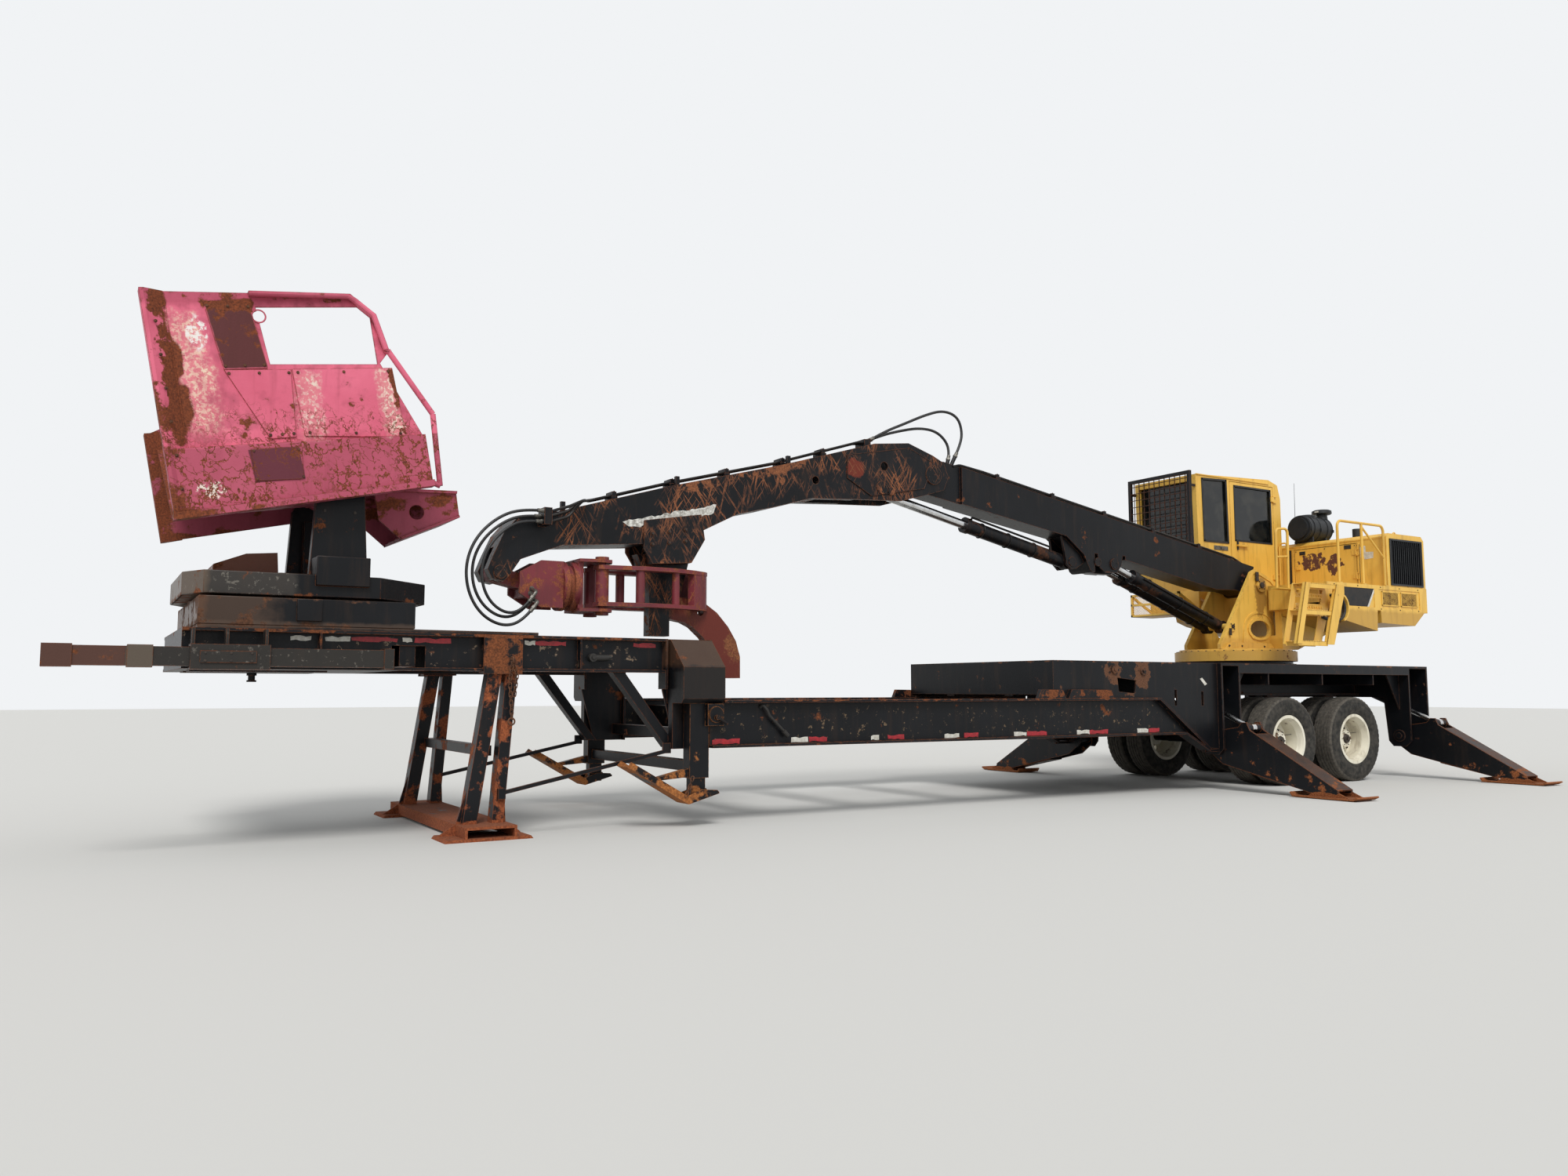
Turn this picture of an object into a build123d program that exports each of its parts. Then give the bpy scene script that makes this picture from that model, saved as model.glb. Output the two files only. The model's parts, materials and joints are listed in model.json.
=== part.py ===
from build123d import *
from math import cos, hypot, radians, sin, tan
import os

# Trailer-mounted knuckle-boom log loader with a pull-through delimber on its gooseneck.
# Millimetres. +X points to the rear, -Y to the machine's left, +Z up, the ground is z = 0.

# Trailer stations along X and heights
kingpin_x = -6530.0
goose_front_x = -7090.0
goose_rear_x = -3430.0
goose_z = (1283.0, 1570.0)
leg_y = 1130.0
pad_x = (-7000.0, -6050.0)
pad_y = (150.0, 450.0)
pad_thick = 12.0
drop_x = (-3430.0, -2990.0)
knee_x = -3385.0
knee_bottom_z = 1025.0
main_front_x = -3105.0
main_start_x = -2990.0
main_z = (648.0, 1050.0)
slope_start_x = 2430.0
slope_end = (3225.0, 485.0)
main_outer_y = 1250.0
rail_outer_y = 1000.0
flange_width = 150.0
flange_thick = 22.0
web_thick = 16.0
web_y = rail_outer_y - flange_width / 2
main_web_y = main_outer_y - flange_width / 2

# Rear deck
deck_x = (875.0, 7610.0)
deck_z = (1415.0, 1445.0)
deck_half_y = 1250.0
skirt_y = main_web_y + 15
side_plate_thick = 16.0
girder_y = 480.0
post_wall = 25.0
front_post_x = (3440.0, 3770.0)
rear_post_x = (7170.0, 7610.0)
post_back_y = 900.0
post_bottom_z = 400.0

# Wheels
axle_spacing = 1321.0
rear_axle_x = 6030.0
front_axle_x = rear_axle_x - axle_spacing
tyre_radius = 525.0
tyre_width = 280.0
bead_radius = 290.0
dual_outer_y = 1080.0
dual_inner_y = 750.0
spindle_radius = 60.0
bearing_gap = 0.3

# Outriggers: x of the arm's middle at each corner, then the arm's section and its two pins
front_arm_x = 3605.0
rear_arm_x = 7370.0
arm_width = 260.0
arm_plate = 25.0
arm_pivot_y = 1100.0
arm_pivot_z = 540.0
arm_lug_y = 1500.0
arm_lug_z = 710.0
pin_radius = 38.0
rod_radius = 30.0
eye_radius = 52.0
eye_half = 32.0
barrel_radius = 55.0
barrel_foot = (308.0, 1230.0)
barrel_length = 705.0
foot_lift = 8.0

# Upper structure
swing_x = 5340.0
ring_radius = 756.0
bearing_radius = 700.0
ring_z = (1505.0, 1660.0)
mast_half_y = 270.0
mast_plate = 35.0
boom_pin = (5540.0, 2510.0)
hoist_foot = (4930.0, 1950.0)
hoist_eye = (2920.0, 2650.0)
platform_x = (5650.0, 7870.0)
platform_y = (-1150.0, 1230.0)
platform_z = (2170.0, 2500.0)
house_x = (7000.0, 7870.0)
house_z = (2500.3, 3210.0)
sheet = 14.0
seat_gap = 0.3

# Cab
cab_x = (5160.0, 6985.0)
cab_y = (400.0, 1450.0)
cab_floor_z = 2500.3
cab_roof_z = (4071.0, 4133.0)
cab_wall = 45.0
door_x = (5870.0, 6810.0)
door_z = (2570.0, 4030.0)
door_gap = 8.0
door_hinge = (6812.0, 386.0)
door_hinge_z = (2700.0, 3820.0)
hood_hinge_y = -716.0
hood_hinge_z = (2640.0, 2960.0)
hinge_length = 70.0

# Boom, stick and their cylinders
boom_half_y = 170.0
boom_knuckle_half_y = 135.0
knuckle = (130.0, 3460.0)
stick_foot_pin = (2280.0, 2650.0)
stick_rod_pin = (-560.0, 3260.0)
stick_half_y = 200.0
stick_plate = 30.0
tip_pin = (-4630.0, 2150.0)
heel_half_y = 60.0
hoist_y = 105.0
hoist_barrel_length = 1750.0
hoist_rod_radius = 45.0
stick_barrel_length = 1600.0
stick_rod_radius = 50.0
jaw_pivot = (-3668.0, 140.0)
jaw_gap = 76.0

# Hoses: outer radius, then each route as (x, y, z) points
knuckle_hose_radius = 15.0
knuckle_hoses = [
    [(-605, -60, 3790), (-420, -62, 3900), (-150, -66, 4020), (130, -70, 4150), (380, -74, 4235),
     (590, -78, 4190), (650, -84, 4010), (600, -92, 3850), (520, -104, 3720)],
    [(-605, 10, 3790), (-400, 12, 3880), (-140, 14, 3960), (110, 10, 4020), (340, 0, 4010), (480, -14, 3900),
     (500, -30, 3770), (470, -44, 3690)],
]
tip_hose_radius = 13.0
tip_hoses = [
    [(-4300, -262, 2650), (-4470, -262, 2650), (-4660, -266, 2560), (-4820, -270, 2400), (-4900, -272, 2200),
     (-4880, -272, 1990), (-4780, -268, 1830), (-4620, -264, 1745), (-4470, -262, 1790), (-4380, -262, 1900)],
    [(-4300, -300, 2600), (-4460, -300, 2600), (-4620, -304, 2520), (-4760, -310, 2370), (-4830, -312, 2180),
     (-4810, -312, 1990), (-4720, -306, 1850), (-4580, -302, 1780), (-4450, -300, 1830), (-4370, -300, 1940)],
    [(-4300, -338, 2690), (-4500, -338, 2690), (-4710, -344, 2600), (-4890, -350, 2420), (-4975, -352, 2190),
     (-4950, -352, 1950), (-4830, -346, 1760), (-4640, -340, 1670), (-4470, -338, 1720), (-4370, -338, 1850)],
]

# Delimber
swivel_x = -6190.0
drum_radius = 809.0
drum_top_z = 1810.0
tilt_pivot = (-6020.0, 2750.0)
tilt_angle = 10.35
wall_y = 750.0
wall_thick = 20.0
column_y = (560.0, 640.0)

# Telescoping beam beside the gooseneck
beam_x = (-7900.0, -5710.0)
beam_size = 130.0
beam_z = 1362.0
beam_y = -1090.0
sleeve_wall = 16.0
slide_gap = 6.0


def save(part, name):
    part.label = name
    export_step(part, f"parts/{name}.step")


def block(x, y, z, mode=Mode.ADD):
    """A box between two values on each axis."""
    with Locations(((x[0] + x[1]) / 2, (y[0] + y[1]) / 2, (z[0] + z[1]) / 2)):
        Box(abs(x[1] - x[0]), abs(y[1] - y[0]), abs(z[1] - z[0]), mode=mode)


def side_prism(points, y, mode=Mode.ADD):
    """An outline of (x, z) points, extruded between two values of y."""
    low, high = min(y), max(y)
    with BuildSketch(Plane.XZ.offset(-high)) as profile:
        with BuildLine():
            Polyline(*points, close=True)
        make_face()
    extrude(profile.sketch, amount=high - low, mode=mode)


def end_prism(points, x, mode=Mode.ADD):
    """An outline of (y, z) points, extruded between two values of x."""
    low, high = min(x), max(x)
    with BuildSketch(Plane.YZ.offset(low)) as profile:
        with BuildLine():
            Polyline(*points, close=True)
        make_face()
    extrude(profile.sketch, amount=high - low, mode=mode)


def plan_prism(points, z, mode=Mode.ADD):
    """An outline of (x, y) points, extruded between two heights."""
    low, high = min(z), max(z)
    with BuildSketch(Plane.XY.offset(low)) as profile:
        with BuildLine():
            Polyline(*points, close=True)
        make_face()
    extrude(profile.sketch, amount=high - low, mode=mode)


def round_x(x, y, z, radius, mode=Mode.ADD):
    with Locations(Location(((x[0] + x[1]) / 2, y, z), (0, 90, 0))):
        Cylinder(radius, abs(x[1] - x[0]), mode=mode)


def round_y(x, y, z, radius, mode=Mode.ADD):
    with Locations(Location((x, (y[0] + y[1]) / 2, z), (90, 0, 0))):
        Cylinder(radius, abs(y[1] - y[0]), mode=mode)


def round_z(x, y, z, radius, mode=Mode.ADD):
    with Locations((x, y, (z[0] + z[1]) / 2)):
        Cylinder(radius, abs(z[1] - z[0]), mode=mode)


def bar(start, end, radius, mode=Mode.ADD):
    """A round bar between two points."""
    axis = Vector(*end) - Vector(*start)
    with BuildSketch(Plane(origin=start, z_dir=axis)) as section:
        Circle(radius)
    extrude(section.sketch, amount=axis.length, mode=mode)


def pipe_run(points, radius, bend):
    """A round tube along straight runs joined by equal arcs."""
    with BuildLine() as route:
        FilletPolyline(*points, radius=bend)
    with BuildSketch(Plane(origin=route.line @ 0, z_dir=route.line % 0)) as section:
        Circle(radius)
    sweep(section.sketch, path=route.line)


def hose(points, radius):
    """A hose's tube: straight runs joined by arcs as large as the two runs beside each allow."""
    spots = [Vector(*point) for point in points]
    bends = []
    for before, here, after in zip(spots, spots[1:], spots[2:]):
        run_in, run_out = here - before, after - here
        half_turn = radians(run_in.get_angle(run_out)) / 2
        bends.append(0.45 * min(run_in.length, run_out.length) / tan(half_turn))
    with BuildLine() as route:
        FilletPolyline(*points, radius=bends)
    path = route.wires()[0]
    with BuildSketch(Plane(origin=path @ 0, z_dir=path % 0)) as section:
        Circle(radius)
    sweep(section.sketch, path=path)
    print(f"hose length {path.length:.0f}, tightest arc {min(bends):.0f}")


def hose_stub(end, neighbour, radius, reach):
    """Hose fitting: a short round end in line with the hose, which carries it."""
    outward = (Vector(*end) - Vector(*neighbour)).normalized()
    bar(Vector(*end) + outward * seat_gap, Vector(*end) + outward * reach, radius + 7)


def hoses_knuckle():
    """Supply hoses that arch over the knuckle from the boom's bulkhead to the stick's pipes."""
    with BuildPart() as hoses:
        for points in knuckle_hoses:
            hose(points, knuckle_hose_radius)
    return hoses.part


def hoses_tip():
    """Grapple hoses that loop round the stick's nose, outside its near plate."""
    with BuildPart() as hoses:
        for points in tip_hoses:
            hose(points, tip_hose_radius)
    return hoses.part


def gooseneck():
    """Front rails with their cross members, bulkhead, coupler plate and delimber plate."""
    low, high = goose_z
    half = web_y - web_thick / 2
    with BuildPart() as frame:
        for side in (-1, 1):
            inner, outer = side * (rail_outer_y - flange_width), side * rail_outer_y
            web = (side * (web_y - web_thick / 2), side * (web_y + web_thick / 2))
            block((goose_front_x, goose_rear_x), web, (low, high))
            for z in ((low, low + flange_thick), (high - flange_thick, high)):
                block((goose_front_x, goose_rear_x), (inner, outer), z)
            # pocket that receives the parking stand's leg
            block((-5000.0, -4690.0), (outer, outer + side * 18), (low - 22, high - 5))
            for x in (-6200.0, -4200.0):
                block((x, x + 14), (inner, outer), (low, high))
        block((-5680.0, -5430.0), (-rail_outer_y, -half + 1), (low + flange_thick, 1470.0), mode=Mode.SUBTRACT)
        block((goose_front_x, -5600.0), (-half, half), (low, low + 20))
        for side in (-1, 1):
            block(pad_x, (side * pad_y[0], side * pad_y[1]), (low - pad_thick, low + 1))
        block((goose_front_x, goose_front_x + 25), (-half, half), (low, high))
        for x in (-5620.0, -4820.0, -4000.0, -3580.0):
            block((x, x + 120), (-half, half), (low + 30, high - 30))
        block((-7000.0, -4551.0), (-half, half), (high - 22, high))
    return frame.part


def kingpin():
    """Coupler pin with its locking groove, under the gooseneck plate."""
    top = goose_z[0] - seat_gap
    with BuildPart() as pin:
        # radius, then the two heights below the plate's underside
        for radius, upper, lower in ((36.5, 0.0, 35.0), (25.4, 35.0, 70.0), (35.7, 70.0, 84.0)):
            round_z(kingpin_x, 0, (top - upper, top - lower), radius)
        round_z(kingpin_x, 0, (top - 6, top), 110)
    return pin.part


def drop_frame():
    """Webs, knee boxes and braces that join the high gooseneck to the low main rails."""
    x0, x1 = drop_x
    low, high = main_z[0] - 8, goose_z[1]
    with BuildPart() as drop:
        for side in (-1, 1):
            inner, outer = side * (rail_outer_y - flange_width), side * rail_outer_y
            web = [(x0 + seat_gap, goose_z[0] - 150), (x0 + seat_gap, high), (x1, high), (x1 - 0.3, low),
                   (-3300.0, low)]
            side_prism(web, (side * (web_y - web_thick / 2), side * (web_y + web_thick / 2)))
            for x in ((x0 + seat_gap, x0 + 20), (x1 - 20, x1 - seat_gap)):
                block(x, (inner, outer), (goose_z[0] - 140 if x[0] < -3200 else low, high))
            # knee box: the shoulder slopes down from the gooseneck's line to the wider main rail
            knee = [(side * web_y, knee_bottom_z), (side * web_y, 1562.0), (side * rail_outer_y, 1562.0),
                    (side * main_outer_y, 1330.0), (side * main_outer_y, 1062.0),
                    (side * (main_outer_y - 40), knee_bottom_z)]
            end_prism(knee, (knee_x, x1))
            # hanging web between the knee and the landing gear
            side_prism([(knee_x, knee_bottom_z + 1), (x1, knee_bottom_z + 1), (-3100.0, low), (knee_x, low)],
                       (side * 960, side * 1040))
            side_prism([(-3900.0, goose_z[0] - seat_gap), (-3790.0, goose_z[0] - seat_gap),
                        (-3300.0, 650.0), (-3400.0, 650.0)], (inner, side * 961))
        block((x1 - 140, x1 - 20), (-web_y, web_y), (goose_z[0] + 40, goose_z[1] - 40))
        reach = main_web_y - web_thick / 2 - seat_gap
        block((main_front_x + 5, x1 - 20), (-reach, reach), (700.0, 800.0))
    return drop.part


def main_rails():
    """Long I-beams with cross members, loading ramps and the sloped rear end."""
    low, high = main_z
    half = main_web_y - web_thick / 2
    under_knee = knee_bottom_z - seat_gap
    start = main_start_x + seat_gap
    end_x, end_z = slope_end
    foot_x = 2831.0
    with BuildPart() as rails:
        for side in (-1, 1):
            inner, outer = side * (main_outer_y - flange_width), side * main_outer_y
            web = [(main_front_x, low), (main_front_x, under_knee), (start, under_knee), (start, high),
                   (slope_start_x, high), (end_x, end_z), (end_x - 10, end_z - 30), (foot_x, low)]
            side_prism(web, (side * (main_web_y - web_thick / 2), side * (main_web_y + web_thick / 2)))
            block((start, slope_start_x), (inner, outer), (high - flange_thick, high))
            block((main_front_x, foot_x), (inner, outer), (low, low + flange_thick))
            side_prism([(slope_start_x, high), (end_x, end_z), (end_x - 16, end_z - 17),
                        (slope_start_x - 18, high - 20)], (inner, outer))
            side_prism([(foot_x, low), (end_x - 10, end_z - 30), (end_x, end_z - 12), (foot_x, low + 22)],
                       (inner, outer))
            for x in (-2300.0, -1100.0, 100.0, 1300.0):
                block((x, x + 12), (inner, side * (main_web_y - 1)), (low, high))
            # toe that ends against the outrigger housing
            block((end_x - 25, front_post_x[0] - seat_gap), (side * 1150, side * 1190), (end_z - 45, end_z - 16))
            # loading ramps stand on the flange beside the skirt
            for ramp in ((620.0, 1009.0), (1043.0, 1711.0)):
                side_prism([(ramp[0], high - 1), (ramp[0] + 44, high + 92), (ramp[1] - 50, high + 88),
                            (ramp[1], high - 1)], (side * (skirt_y + 3), side * (main_outer_y - 8)))
        for x in (-2600.0, -1500.0, -200.0, 1000.0, 2300.0):
            block((x, x + 110), (-half, half), (low + 70, high - 70))
    return rails.part


def deck_frame():
    """Rear deck: top plate, skirts, girders and the four outrigger housings."""
    top = deck_z
    with BuildPart() as deck:
        block((deck_x[0], front_post_x[0] + 1), (-skirt_y, skirt_y), top)
        block((front_post_x[0], deck_x[1]), (-deck_half_y, deck_half_y), top)
        seat = main_z[1] + seat_gap
        for side in (-1, 1):
            outer = side * deck_half_y
            inner = side * (deck_half_y - side_plate_thick)
            skirt_face = (side * (skirt_y - side_plate_thick), side * skirt_y)
            skirt = [(deck_x[0], seat), (deck_x[0], top[0]), (front_post_x[0], top[0]), (front_post_x[0], 472.0),
                     (slope_end[0] + 12, slope_end[1] + 2), (slope_start_x + 10, seat)]
            side_prism(skirt, skirt_face)
            # torn opening, window and slots of the skirt
            cuts = [
                [(1836.0, 1119.0), (1815.0, 1269.0), (2111.0, 1240.0), (2078.0, 1100.0)],
                [(2715.0, 964.0), (2715.0, 1139.0), (2750.0, 1139.0), (2750.0, 964.0)],
                [(3161.0, 961.0), (3161.0, 1119.0), (3196.0, 1119.0), (3196.0, 961.0)],
            ]
            for outline in cuts:
                side_prism(outline, skirt_face, mode=Mode.SUBTRACT)
            # worn lugs and a small handle plate on the skirt
            for x, z in ((1760.0, 1360.0), (2210.0, 1345.0)):
                round_y(x, (side * (skirt_y - 1), side * (skirt_y + 22)), z, 44)
                round_y(x, (side * (skirt_y - 1), side * (skirt_y + 34)), z, 20)
            block((front_post_x[1], rear_post_x[0]), (inner, outer), (1330.0, top[0]))
            # gussets at the ends of the wheel recess
            side_prism([(front_post_x[1], 1330.0), (4010.0, 1330.0), (front_post_x[1], 980.0)],
                       (side * 1100, side * 1116))
            side_prism([(rear_post_x[0], 1330.0), (6900.0, 1330.0), (rear_post_x[0], 880.0)],
                       (side * 1100, side * 1116))
            # outrigger housings: front, with square shoulders, and rear, with a rounded top corner
            for x0, x1 in (front_post_x, rear_post_x):
                for x in (x0, x1 - post_wall):
                    wall = [(side * post_back_y, 1040.0), (side * post_back_y, top[0]), (outer, top[0]),
                            (outer, 470.0), (side * 1180, post_bottom_z), (side * 1010, post_bottom_z),
                            (side * 950, 470.0)]
                    end_prism(wall, (x, x + post_wall))
                block((x0, x1), (side * post_back_y, side * (post_back_y + 20)), (1130.0, top[0]))
            # foot flange that seats the skirt on the main rail
            block((deck_x[0], slope_start_x), (side * (main_outer_y - flange_width), side * skirt_y),
                  (seat, seat + 18))
            block((deck_x[0] + 30, deck_x[1] - 30), (side * girder_y, side * (girder_y + 16)), (1090.0, top[0]))
            block((deck_x[0] + 30, deck_x[1] - 30), (side * (girder_y - 55), side * (girder_y + 71)),
                  (1070.0, 1090.0))
        # cross webs at the housings' walls, the deck's ends and over the axles
        for x in (front_post_x[0], front_post_x[1] - post_wall, rear_post_x[0], rear_post_x[1] - post_wall):
            block((x, x + post_wall), (-post_back_y - 1, post_back_y + 1), (1040.0, top[0]))
        for x in (deck_x[0], 2200.0, 4300.0, 5340.0, 6400.0):
            reach = (skirt_y if x < front_post_x[0] else deck_half_y) - side_plate_thick + 1
            block((x, x + 16), (-reach, reach), (1090.0 if x < front_post_x[0] else 1200.0, top[0]))
        # ways through the girders for the outrigger cylinders
        for x in (front_arm_x, rear_arm_x):
            block((x - 75, x + 75), (-600.0, 600.0), (1069.0, 1290.0), mode=Mode.SUBTRACT)
        for x, z in (((3424.0, front_post_x[0]), arm_pivot_z), ((7154.0, rear_post_x[0]), arm_pivot_z)):
            for side in (-1, 1):
                round_x(x, side * arm_pivot_y, z, 75)
        for x0, x1 in (front_post_x, rear_post_x):
            for side in (-1, 1):
                round_x((x0 - 30, x1), side * arm_pivot_y, arm_pivot_z, pin_radius)
        # carrier beams for the cylinders' feet
        for x in (front_arm_x, rear_arm_x):
            for side in (-1, 1):
                block((x - 140, x + 140), (side * 180, side * 210), (1150.0, top[0]))
    return deck.part


def rod_line(distance, side, x):
    """Point on the outrigger cylinder's axis at a distance from its foot."""
    full = hypot(arm_lug_y - barrel_foot[0], arm_lug_z - barrel_foot[1])
    y = barrel_foot[0] + (arm_lug_y - barrel_foot[0]) * distance / full
    z = barrel_foot[1] + (arm_lug_z - barrel_foot[1]) * distance / full
    return (x, side * y, z)


def outrigger_barrels():
    """Four fixed cylinder barrels inside the deck, one for each outrigger."""
    with BuildPart() as barrels:
        for x in (front_arm_x, rear_arm_x):
            for side in (-1, 1):
                bar(rod_line(0, side, x), rod_line(barrel_length, side, x), barrel_radius)
                bar(rod_line(barrel_length - 50, side, x), rod_line(barrel_length, side, x),
                    barrel_radius + 9)
                block((x - 35, x + 35), (side * (210 + seat_gap), side * 330), (1190.0, 1270.0))
                bar(rod_line(60, side, x), rod_line(barrel_length + 10, side, x),
                    rod_radius + bearing_gap, mode=Mode.SUBTRACT)
    return barrels.part


def axle_set():
    """Two axles with spindles, leaf springs, equaliser and hangers below the deck girders."""
    with BuildPart() as axles:
        for x in (front_axle_x, rear_axle_x):
            round_y(x, (-590.0, 590.0), tyre_radius, 64)
            for side in (-1, 1):
                round_y(x, (side * 580, side * 1010), tyre_radius, spindle_radius)
                block((x - 60, x + 60), (side * 435, side * 525), (tyre_radius, tyre_radius + 130))
                # leaf spring: three leaves, each shorter than the one above it
                for k, reach in enumerate((600.0, 450.0, 320.0)):
                    block((x - reach, x + reach), (side * 440, side * 520),
                          (tyre_radius + 150 - 22 * k, tyre_radius + 172 - 22 * k))
        middle = (front_axle_x + rear_axle_x) / 2
        for side in (-1, 1):
            for x in (front_axle_x - 560, middle, rear_axle_x + 560):
                hanger = [(x - 110, 1069.7), (x + 110, 1069.7), (x + 60, 650.0), (x - 60, 650.0)]
                side_prism(hanger, (side * 470, side * 490))
                side_prism([(x - 70, 760.0), (x + 70, 760.0), (x + 60, 660.0), (x - 60, 660.0)],
                           (side * 430, side * 530))
                block((x - 110, x + 110), (side * 440, side * 520), (1049.7, 1069.7))
    return axles.part


def landing_gear():
    """Pair of raised legs under the knees, each in its bent shoe, joined by a cross beam."""
    top = knee_bottom_z - seat_gap
    with BuildPart() as legs:
        for side in (-1, 1):
            y = side * leg_y
            block((-3295.0, -3115.0), (y - 60, y + 60), (400.0, top))
            block((-3270.0, -3140.0), (y - 46, y + 46), (225.0, 401.0))
            # shoe: a long ramp ahead of the leg and a short one behind it, with turned-up sides
            shoe = [(-3883.0, 516.0), (-3330.0, 193.0), (-3045.0, 271.0), (-3049.0, 288.0), (-3331.0, 211.0),
                    (-3874.0, 530.0)]
            side_prism(shoe, (y - side * 95, y + side * 125))
            lip = [(-3883.0, 516.0), (-3330.0, 193.0), (-3045.0, 271.0), (-3063.0, 300.0), (-3200.0, 310.0),
                   (-3340.0, 262.0), (-3850.0, 556.0)]
            for edge in (y - side * 95, y + side * 113):
                side_prism(lip, (edge, edge + side * 12))
            side_prism([(-3295.0, 480.0), (-3295.0, 410.0), (-3640.0, 385.0), (-3640.0, 402.0)],
                       (y - 35, y + 35))
            for edge in (y - 50, y + 38):
                side_prism([(-3270.0, 300.0), (-3140.0, 300.0), (-3100.0, 262.0), (-3300.0, 205.0)],
                           (edge, edge + 12))
        block((-3250.0, -3150.0), (-leg_y, leg_y), (450.0, 540.0))
        # crank gearbox on the near leg
        outer = -leg_y - 60
        block((-3150.0, -3000.0), (outer - 50, outer + 1), (835.0, top - 5))
        round_y(-3075.0, (outer - 66, outer - 49), 930.0, 68)
        round_y(-3075.0, (outer - 96, outer - 60), 905.0, 20)
        bar((-3075.0, outer - 86, 905.0), (-2985.0, outer - 86, 850.0), 11)
    return legs.part


def front_stand():
    """Parking stand under the gooseneck: two leaning legs with gussets on one cross foot."""
    top = goose_z[0] - seat_gap
    half = 60.0
    with BuildPart() as stand:
        for side in (-1, 1):
            y = side * 925.0
            for x0, x1, width in ((-4950.0, -5130.0, 110.0), (-4810.0, -4900.0, 90.0)):
                leg = [(x0, top), (x0 + width, top), (x1 + width, 100.0), (x1, 100.0)]
                side_prism(leg, (y - half, y + half))
            block((-4990.0, -4690.0), (y - 70, y + 70), (top - 14, top))
            side_prism([(-5080.0, 400.0), (-5165.0, 107.0), (-5110.0, 107.0)], (y - 8, y + 8))
            side_prism([(-4790.0, 400.0), (-4775.0, 107.0), (-4812.0, 107.0)], (y - 8, y + 8))
            for x in ((-5170.0, -5300.0), (-4770.0, -4650.0)):
                side_prism([(x[0], 107.0), (x[1], 24.0), (x[0], 23.0)], (y - 8, y + 8))
        block((-5170.0, -4770.0), (-1210.0, 1210.0), (88.0, 108.0))
        for x in (-5170.0, -4790.0):
            block((x, x + 20), (-1210.0, 1210.0), (20.0, 90.0))
        for side in (-1, 1):
            foot = [(-5320.0, 0.0), (-4640.0, 0.0), (-4660.0, 24.0), (-5300.0, 24.0)]
            side_prism(foot, (side * 820, side * 1210))
        block((-4960.0, -4880.0), (-870.0, 870.0), (620.0, 700.0))
    return stand.part


def stand_strut():
    """Long flat braces from the stand's legs back to the drop webs."""
    y0, y1 = 985.0 + seat_gap, 1020.0
    with BuildPart() as strut:
        for side in (-1, 1):
            side_prism([(-4850.0, 318.0), (-3400.0, 612.0), (-3400.0, 644.0), (-4850.0, 350.0)],
                       (side * (y1 - 20), side * y1))
            block((-4865.0, -4805.0), (side * y0, side * y1), (290.0, 372.0))
            block((-3460.0, knee_x - seat_gap), (side * (y1 - 20), side * y1), (604.0, 690.0))
    return strut.part


def tyre_pair(axle_x, side):
    """Two tyres of a dual wheel as plain solids of revolution."""
    half = tyre_width / 2
    bead_y = 0.75 * half - seat_gap
    bead_top = bead_radius + 24
    shoulder = 0.95 * tyre_radius
    with BuildPart() as tyres:
        for centre in (dual_outer_y, dual_inner_y):
            plane = Plane(origin=(axle_x, side * centre, tyre_radius), x_dir=(1, 0, 0), z_dir=(0, 0, 1))
            with BuildSketch(plane) as section:
                with BuildLine():
                    Polyline((bead_top, -bead_y), (bead_radius, -bead_y), (bead_radius, bead_y),
                             (bead_top, bead_y))
                    ThreePointArc((bead_top, bead_y), (0.77 * tyre_radius, half), (shoulder, 0.86 * half))
                    Polyline((shoulder, 0.86 * half), (tyre_radius, 0.68 * half), (tyre_radius, -0.68 * half),
                             (shoulder, -0.86 * half))
                    ThreePointArc((shoulder, -0.86 * half), (0.77 * tyre_radius, -half),
                                  (bead_top, -bead_y))
                make_face()
            revolve(section.sketch, axis=Axis((axle_x, 0, tyre_radius), (0, 1, 0)))
    return tyres.part


def rim_pair(axle_x, side):
    """Deep-dish rims set back to back on one hub, with hand holes."""
    half = tyre_width / 2
    lip = bead_radius + 21
    well = bead_radius - 26
    out = dual_outer_y + 0.75 * half
    back = dual_inner_y - 0.75 * half
    bore = spindle_radius + bearing_gap
    with BuildPart() as rims:
        # radius and y of the half section, from the outer lip round to the inner lip
        stations = [
            (lip, out), (lip, out + 12), (lip - 34, out + 12), (well - 14, out - 60), (well - 14, 970.0),
            (150.0, 935.0), (150.0, 1030.0), (105.0, 1050.0), (105.0, 1075.0), (0.0, 1075.0), (0.0, 1015.0),
            (bore, 1015.0), (bore, 800.0), (120.0, 800.0), (130.0, 905.0), (well - 14, 940.0),
            (well - 14, back + 60), (lip - 34, back - 12), (lip, back - 12), (lip, back),
            (bead_radius - seat_gap, back), (well, back + 60), (well, out - 60), (bead_radius - seat_gap, out),
        ]
        plane = Plane(origin=(axle_x, 0, tyre_radius), x_dir=(1, 0, 0), z_dir=(0, 0, 1))
        with BuildSketch(plane) as section:
            with BuildLine():
                Polyline(*[(r, side * y) for r, y in stations], close=True)
            make_face()
        revolve(section.sketch, axis=Axis((axle_x, 0, tyre_radius), (0, 1, 0)))
        for turn in range(5):
            angle = radians(72 * turn + 18)
            round_y(axle_x + 200 * cos(angle), (side * 880, side * 1000), tyre_radius + 200 * sin(angle),
                    32, mode=Mode.SUBTRACT)
    return rims.part


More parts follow.
